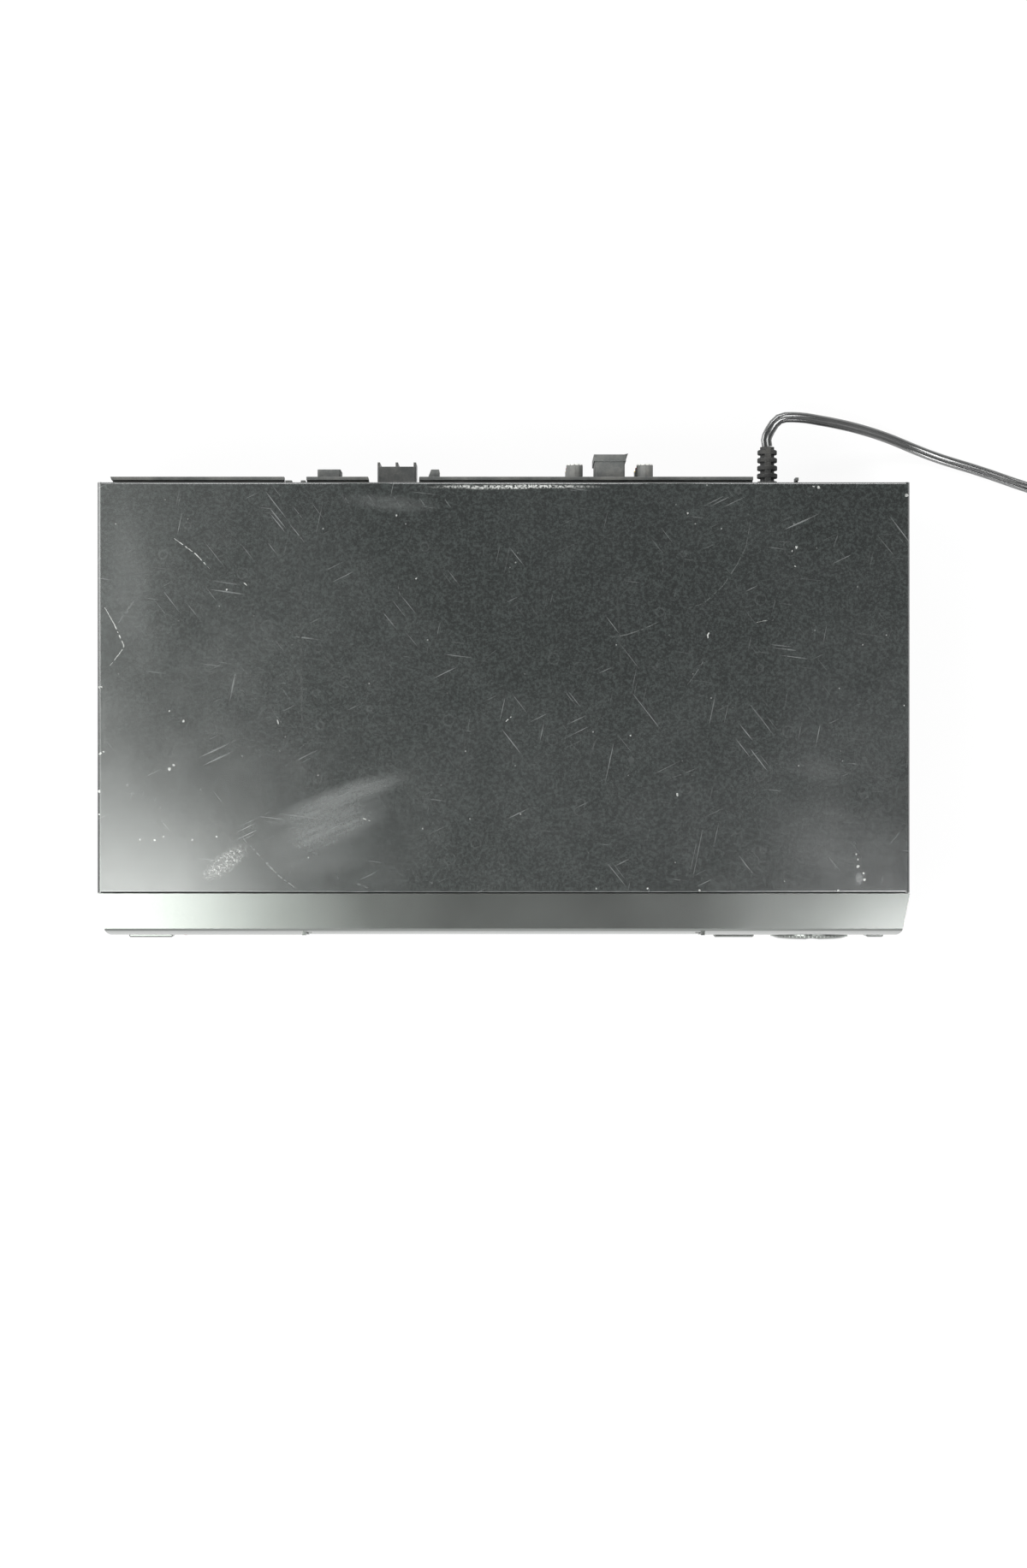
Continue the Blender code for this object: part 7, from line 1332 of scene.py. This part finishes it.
def makeChips(name, places, size, low):
    # packages with bent legs along both long sides
    pitch = boardFacts["legPitch"]
    wide, deep, high = size
    bm = bmesh.new()
    legs = bmesh.new()
    for x, y in places:
        addBlock(bm, (x - wide / 2, y - deep / 2 + 0.0016, low + 0.0009),
                 (x + wide / 2, y + deep / 2 - 0.0016, high), 0.0003)
        count = int((wide - 0.002) / pitch)
        for k in range(count + 1):
            px = x - count * pitch / 2 + k * pitch
            for side in (-1, 1):
                near, far = sorted((y + side * (deep / 2 - 0.0018), y + side * (deep / 2 - 0.0004)))
                addBlock(legs, (px - 0.0003, near, low + 0.0017), (px + 0.0003, far, low + 0.0020))
                near, far = sorted((y + side * (deep / 2 - 0.0007), y + side * (deep / 2 - 0.0004)))
                addBlock(legs, (px - 0.00029, near, low), (px + 0.00029, far + 0.0001, low + 0.0019))
    finishPiece(name, bm, "black_plastic", chipBlack)
    finishPiece(name + "Legs", legs, "polished_steel", nickel)


def makeCans(name, cans):
    # sleeved capacitors: bead at the foot, rolled shoulder, plain metal top
    sleeves, tops = bmesh.new(), bmesh.new()
    low = boardFacts["high"]
    for place, radius, high in cans:
        profile = [(0, low), (radius * 0.9, low), (radius, low + 0.0006), (radius, low + 0.0016),
                   (radius * 0.93, low + 0.0021), (radius, low + 0.0026), (radius, high - 0.0007),
                   (radius * 0.95, high - 0.0002), (radius * 0.82, high), (radius * 0.80, high - 0.0003),
                   (0, high - 0.0003)]
        addTurned(sleeves, profile, (*place, 0), steps=24)
        profile = [(0, high - 0.00034), (radius * 0.80, high - 0.00034), (radius * 0.79, high - 0.0001),
                   (0, high - 0.00008)]
        addTurned(tops, profile, (*place, 0), steps=24)
    finishPiece(name, sleeves, "black_plastic", sleeveBlue)
    finishPiece(name + "Tops", tops, "polished_steel", canTop)


def makeResistors(name, start, end, pitch, keepOff):
    # small axial parts in rows, left out where something taller stands
    bodies, wires = bmesh.new(), bmesh.new()
    (x0, y0), (x1, y1), low = start, end, boardFacts["high"]
    half, reach = 0.00025, 0.0044
    profile = [(radius, -place) for radius, place in boardFacts["resistor"]] + boardFacts["resistor"][::-1]
    for i in range(int((x1 - x0) / pitch[0]) + 1):
        for j in range(int((y1 - y0) / pitch[1]) + 1):
            x, y = x0 + i * pitch[0], y0 + j * pitch[1]
            near = any(abs(x - cx) < w + 0.0045 and abs(y - cy) < d + 0.0020 for (cx, cy), w, d in keepOff)
            if near or dice.random() < 0.22:
                continue
            addTurned(bodies, profile, (x, y, low + 0.0012), (1, 0, 0), 10)
            addBlock(wires, (x - reach, y - half, low + 0.0010), (x + reach, y + half, low + 0.0014))
            for px in (x - reach, x + reach):
                addBlock(wires, (px - half, y - half, low - 0.0002), (px + half, y + half, low + 0.0014))
    finishPiece(name, bodies, "brown_board", resistorTan)
    finishPiece(name + "Wires", wires, "polished_steel", nickel)


def laminate(name, outline, node):
    bm = bmesh.new()
    addSlab(bm, outline, boardFacts["low"], boardFacts["high"], boardFacts["edge"])
    finishPiece(name, bm, "brown_board", nodes=[node])


def mainBoard():
    facts, deck = boardFacts, boardFacts["high"]
    laminate("mainLaminate", facts["main"], "main_board")
    makeChips("mainChips", facts["chips"], facts["chipSize"], deck)
    makeCans("mainCans", [(place, facts["canRadius"], facts["canTop"]) for place in facts["mainCans"]])
    (x0, y0), (x1, y1), high = facts["shield"]
    bm = bmesh.new()
    addBlock(bm, (x0, y0, deck), (x1, y1, high), 0.0006, 3)
    for k in range(6):
        x = x0 + 0.004 + (x1 - x0 - 0.008) * k / 5
        addBlock(bm, (x - 0.0012, y0 + 0.004, high - 0.0002), (x + 0.0012, y1 - 0.004, high), 0.00008)
    finishPiece("mainShield", bm, "zinc_steel")
    keepOff = [(place, facts["chipSize"][0] / 2, facts["chipSize"][1] / 2) for place in facts["chips"]]
    keepOff += [(place, facts["canRadius"], facts["canRadius"]) for place in facts["mainCans"]]
    keepOff.append((((x0 + x1) / 2, (y0 + y1) / 2), (x1 - x0) / 2, (y1 - y0) / 2))
    makeResistors("mainResistors", *facts["mainResistors"], keepOff)
    bm = bmesh.new()
    for x, first, pins in facts["connectors"]:
        for k in range(pins):
            y = first + facts["pinPitch"] * k
            addBlock(bm, (x - 0.0026, y, deck), (x + 0.0026, y + 0.0024, deck + 0.0058), 0.0003)
            addBlock(bm, (x - 0.0004, y + 0.0008, deck + 0.0050),
                     (x + 0.0004, y + 0.0016, deck + 0.0086), 0.0001)
    finishPiece("mainConnectors", bm, "white_plastic")


def powerBoard():
    facts, deck = boardFacts, boardFacts["high"]
    laminate("powerLaminate", facts["power"], "power_supply_board")
    cans = [(place, facts["canRadius"], facts["canTop"]) for place in facts["powerCans"]]
    makeCans("powerCans", [facts["reservoir"], *cans])
    (x, y), wide, sheet, high, fins = facts["sink"]
    bm = bmesh.new()
    addBlock(bm, (x, y, deck), (x + wide, y + sheet, high), 0.0003)
    for k in range(fins):
        px = x + 0.0012 + (wide - 0.0024) * k / (fins - 1)
        addBlock(bm, (px - 0.0006, y + sheet / 2, deck), (px + 0.0006, y + sheet * 4, high - 0.0006), 0.0003)
    finishPiece("heatSink", bm, "polished_steel", finAluminium)
    (x, y), long, z, radius, cap = facts["fuse"]
    bm = bmesh.new()
    near, far, inner = y + 0.003, y + long - 0.003, radius * 0.86
    addTurned(bm, [(0, near), (inner, near), (inner, far), (0, far)], (x, 0, z), (0, 1, 0), 20)
    finishPiece("fuseTube", bm, "smoked_window", fuseGlass)
    bm = bmesh.new()
    for low in (y, y + long - cap):
        addTurned(bm, [(0, low), (radius * 0.9, low), (radius, low + 0.0002), (radius, low + 0.0033),
                       (radius * 0.9, low + cap), (0, low + cap)], (x, 0, z), (0, 1, 0), 20)
        for px in (x - 0.0030, x + 0.0024):
            addBlock(bm, (px, low + 0.0006, deck), (px + 0.0006, low + 0.0028, z + 0.0010), 0.0001)
    finishPiece("fuseCaps", bm, "polished_steel", nickel)
    keepOff = facts["powerTall"] + [(p, facts["canRadius"], facts["canRadius"]) for p in facts["powerCans"]]
    makeResistors("powerResistors", *facts["powerResistors"], keepOff)


transformerFacts = {
    "x": 0.156, "y": 0.012, "low": 0.0162, "high": 0.0502,
    "sheets": 26, "depth": 0.019, "filled": 0.92, "outer": (0.02288, 0.0230), "window": 0.0165,
    "overlap": 0.0168, "yoke": 0.0068,
    "rounds": 22, "windingFrom": 0.0240, "windingHigh": 0.0184, "winding": (0.0154, 0.0176, 0.00042),
    "tape": (0.0156, 0.0182, 0.0262, 0.0398), "flange": (0.0160, 0.0192),
    "flanges": ((0.0231, 0.0238), (0.0428, 0.0435)),
    "pins": 5, "pinPitch": 0.005, "pin": (0.0012, 0.0186, 0.0009, 0.0203, 0.0236),
}


def transformer():
    # laminated core round a taped winding on a white bobbin
    facts = transformerFacts
    x, y, low, high = (facts[k] for k in ("x", "y", "low", "high"))
    window, overlap, yoke = facts["window"], facts["overlap"], facts["yoke"]
    bm = bmesh.new()
    sheet = facts["depth"] / facts["sheets"]
    for k in range(facts["sheets"]):
        near = y - facts["depth"] / 2 + sheet * k
        far = near + sheet * facts["filled"]
        out = facts["outer"][k % 2]
        addBlock(bm, (x - out, near, low), (x - window, far, high))
        addBlock(bm, (x + window, near, low), (x + out, far, high))
        addBlock(bm, (x - overlap, near, low), (x + overlap, far, low + yoke))
        addBlock(bm, (x - overlap, near, high - yoke), (x + overlap, far, high))
    finishPiece("transformerCore", bm, "copper_winding", coreSteel, ["power_transformer"])
    bm = bmesh.new()
    wide, deep, thick = facts["winding"]
    for k in range(facts["rounds"]):
        z = facts["windingFrom"] + facts["windingHigh"] * k / (facts["rounds"] - 1)
        addBlock(bm, (x - wide, y - deep, z - thick), (x + wide, y + deep, z + thick), 0.00035)
    finishPiece("transformerWinding", bm, "copper_winding", sharp=50)
    bm = bmesh.new()
    wide, deep, low, high = facts["tape"]
    addBlock(bm, (x - wide, y - deep, low), (x + wide, y + deep, high), 0.0012, 3)
    finishPiece("windingTapeWrap", bm, "copper_winding", windingTape)
    bm = bmesh.new()
    wide, deep = facts["flange"]
    for low, high in facts["flanges"]:
        addBlock(bm, (x - wide, y - deep, low), (x + wide, y + deep, high), 0.0002)
    wide, out, deep, low, high = facts["pin"]
    for side in (-1, 1):
        for k in range(facts["pins"]):
            px, py = x - 0.010 + facts["pinPitch"] * k, y + side * out
            addBlock(bm, (px - wide, py - deep, low), (px + wide, py + deep, high), 0.0002)
    finishPiece("transformerBobbin", bm, "white_plastic")


frontBoardFacts = {
    "outline": [(-0.1926, 0.0124), (0.1926, 0.0124), (0.1926, 0.0865), (0.106, 0.0865), (0.106, 0.052),
                (-0.106, 0.052), (-0.106, 0.0865), (-0.1926, 0.0865)],
    "face": -0.1084, "thick": 0.0016,
    "switches": [(-0.177, 0.059), (0.1155, 0.059), (0.1865, 0.0574), (0.1865, 0.0456), (0.1545, 0.050),
                 *[(0.1545 + 0.0155 * k, 0.0205) for k in (-2, -1, 0, 1, 2)]],
    "stem": [(0, -0.1136), (0.0013, -0.1136), (0.0015, -0.1134), (0.0015, -0.1124), (0, -0.1124)],
    # chips: x, z and width
    "chips": [(-0.1545, 0.050, 0.0195), (0.0, 0.0322, 0.039)], "chipHigh": 0.01326, "legPitch": 0.0018,
}


def frontBoard():
    facts = frontBoardFacts
    bm = bmesh.new()
    addPlate(bm, facts["outline"], facts["face"], facts["thick"])
    finishPiece("frontLaminate", bm, "brown_board", nodes=["front_board"])
    bm, plates = bmesh.new(), bmesh.new()
    for x, z in facts["switches"]:
        addBlock(bm, (x - 0.003, -0.1126, z - 0.003), (x + 0.003, -0.1099, z + 0.003), 0.0002)
        addTurned(bm, facts["stem"], (x, 0, z), (0, 1, 0), 16)
        for px, far in ((x - 0.0029, x - 0.0018), (x + 0.0018, x + 0.0029)):
            addBlock(plates, (px, -0.1128, z - 0.0029), (far, -0.1125, z + 0.0029), 0.0001)
    finishPiece("frontSwitches", bm, "black_plastic", chipBlack)
    finishPiece("frontSwitchPlates", plates, "polished_steel", nickel)
    bm, legs = bmesh.new(), bmesh.new()
    high, pitch = facts["chipHigh"], facts["legPitch"]
    for x, z, wide in facts["chips"]:
        addBlock(bm, (x - wide / 2, -0.1078, z - high / 2 + 0.0014),
                 (x + wide / 2, -0.1054, z + high / 2 - 0.0014), 0.0003)
        count = int((wide - 0.002) / pitch)
        for k in range(count + 1):
            px = x - count * pitch / 2 + pitch * k
            for side in (-1, 1):
                low, top = sorted((z + side * (high / 2 - 0.0016), z + side * (high / 2 - 0.0002)))
                addBlock(legs, (px - 0.0003, -0.1069, low), (px + 0.0003, -0.1066, top))
                low, top = sorted((z + side * (high / 2 - 0.0005), z + side * (high / 2 - 0.0002)))
                addBlock(legs, (px - 0.00029, -0.1084, low - 0.00005),
                         (px + 0.00029, -0.10665, top + 0.00005))
    finishPiece("frontChips", bm, "black_plastic", chipBlack)
    finishPiece("frontChipsLegs", legs, "polished_steel", nickel)


statorFacts = {
    "x": 0.062, "y": 0.008, "half": 0.025, "corner": 0.0042, "stands": 0.02,
    "stand": [(0, 0.0101), (0.0030, 0.0101), (0.0030, 0.0140), (0.0026, 0.0144), (0, 0.0144)],
    "coils": 6, "coilRing": 0.015, "wires": 7, "wirePitch": 0.0003,
    "outside": [(0.0039, 0.0177), (0.0038, 0.0173), (0.0039, 0.0169), (0.0038, 0.0165), (0.0039, 0.0159),
                (0.0016, 0.0159)],
}


def capstanStator():
    # board on four stands, with six coils wound in rings
    facts = statorFacts
    x, y, half, corner, stands = (facts[k] for k in ("x", "y", "half", "corner", "stands"))
    outline = [(x - half + corner, y - half), (x + half - corner, y - half), (x + half, y - half + corner),
               (x + half, y + half - corner), (x + half - corner, y + half), (x - half + corner, y + half),
               (x - half, y + half - corner), (x - half, y - half + corner)]
    bm = bmesh.new()
    addSlab(bm, outline, boardFacts["low"], boardFacts["high"], boardFacts["edge"])
    for sx in (-1, 1):
        for sy in (-1, 1):
            addTurned(bm, facts["stand"], (x + sx * stands, y + sy * stands, 0), steps=18)
    finishPiece("statorBoard", bm, "brown_board", nodes=["capstan_motor"])
    bm = bmesh.new()
    profile = [(0.0016, 0.0159)]
    for j in range(facts["wires"]):
        profile += [(0.0019 + facts["wirePitch"] * j, 0.0178), (0.00205 + facts["wirePitch"] * j, 0.0181)]
    profile += facts["outside"]
    for k in range(facts["coils"]):
        angle, out = 2 * math.pi * k / facts["coils"], facts["coilRing"]
        addTurned(bm, profile, (x + out * math.cos(angle), y + out * math.sin(angle), 0), steps=24)
    finishPiece("statorCoils", bm, "copper_winding", sharp=60)


mainBoard()
powerBoard()
transformer()
frontBoard()
capstanStator()
roundedCopy("drive_gear", "driveGear", 0.00012)
roundedCopy("motor_pinion", "motorPinion", 0.00012)
print("boards and gears made")
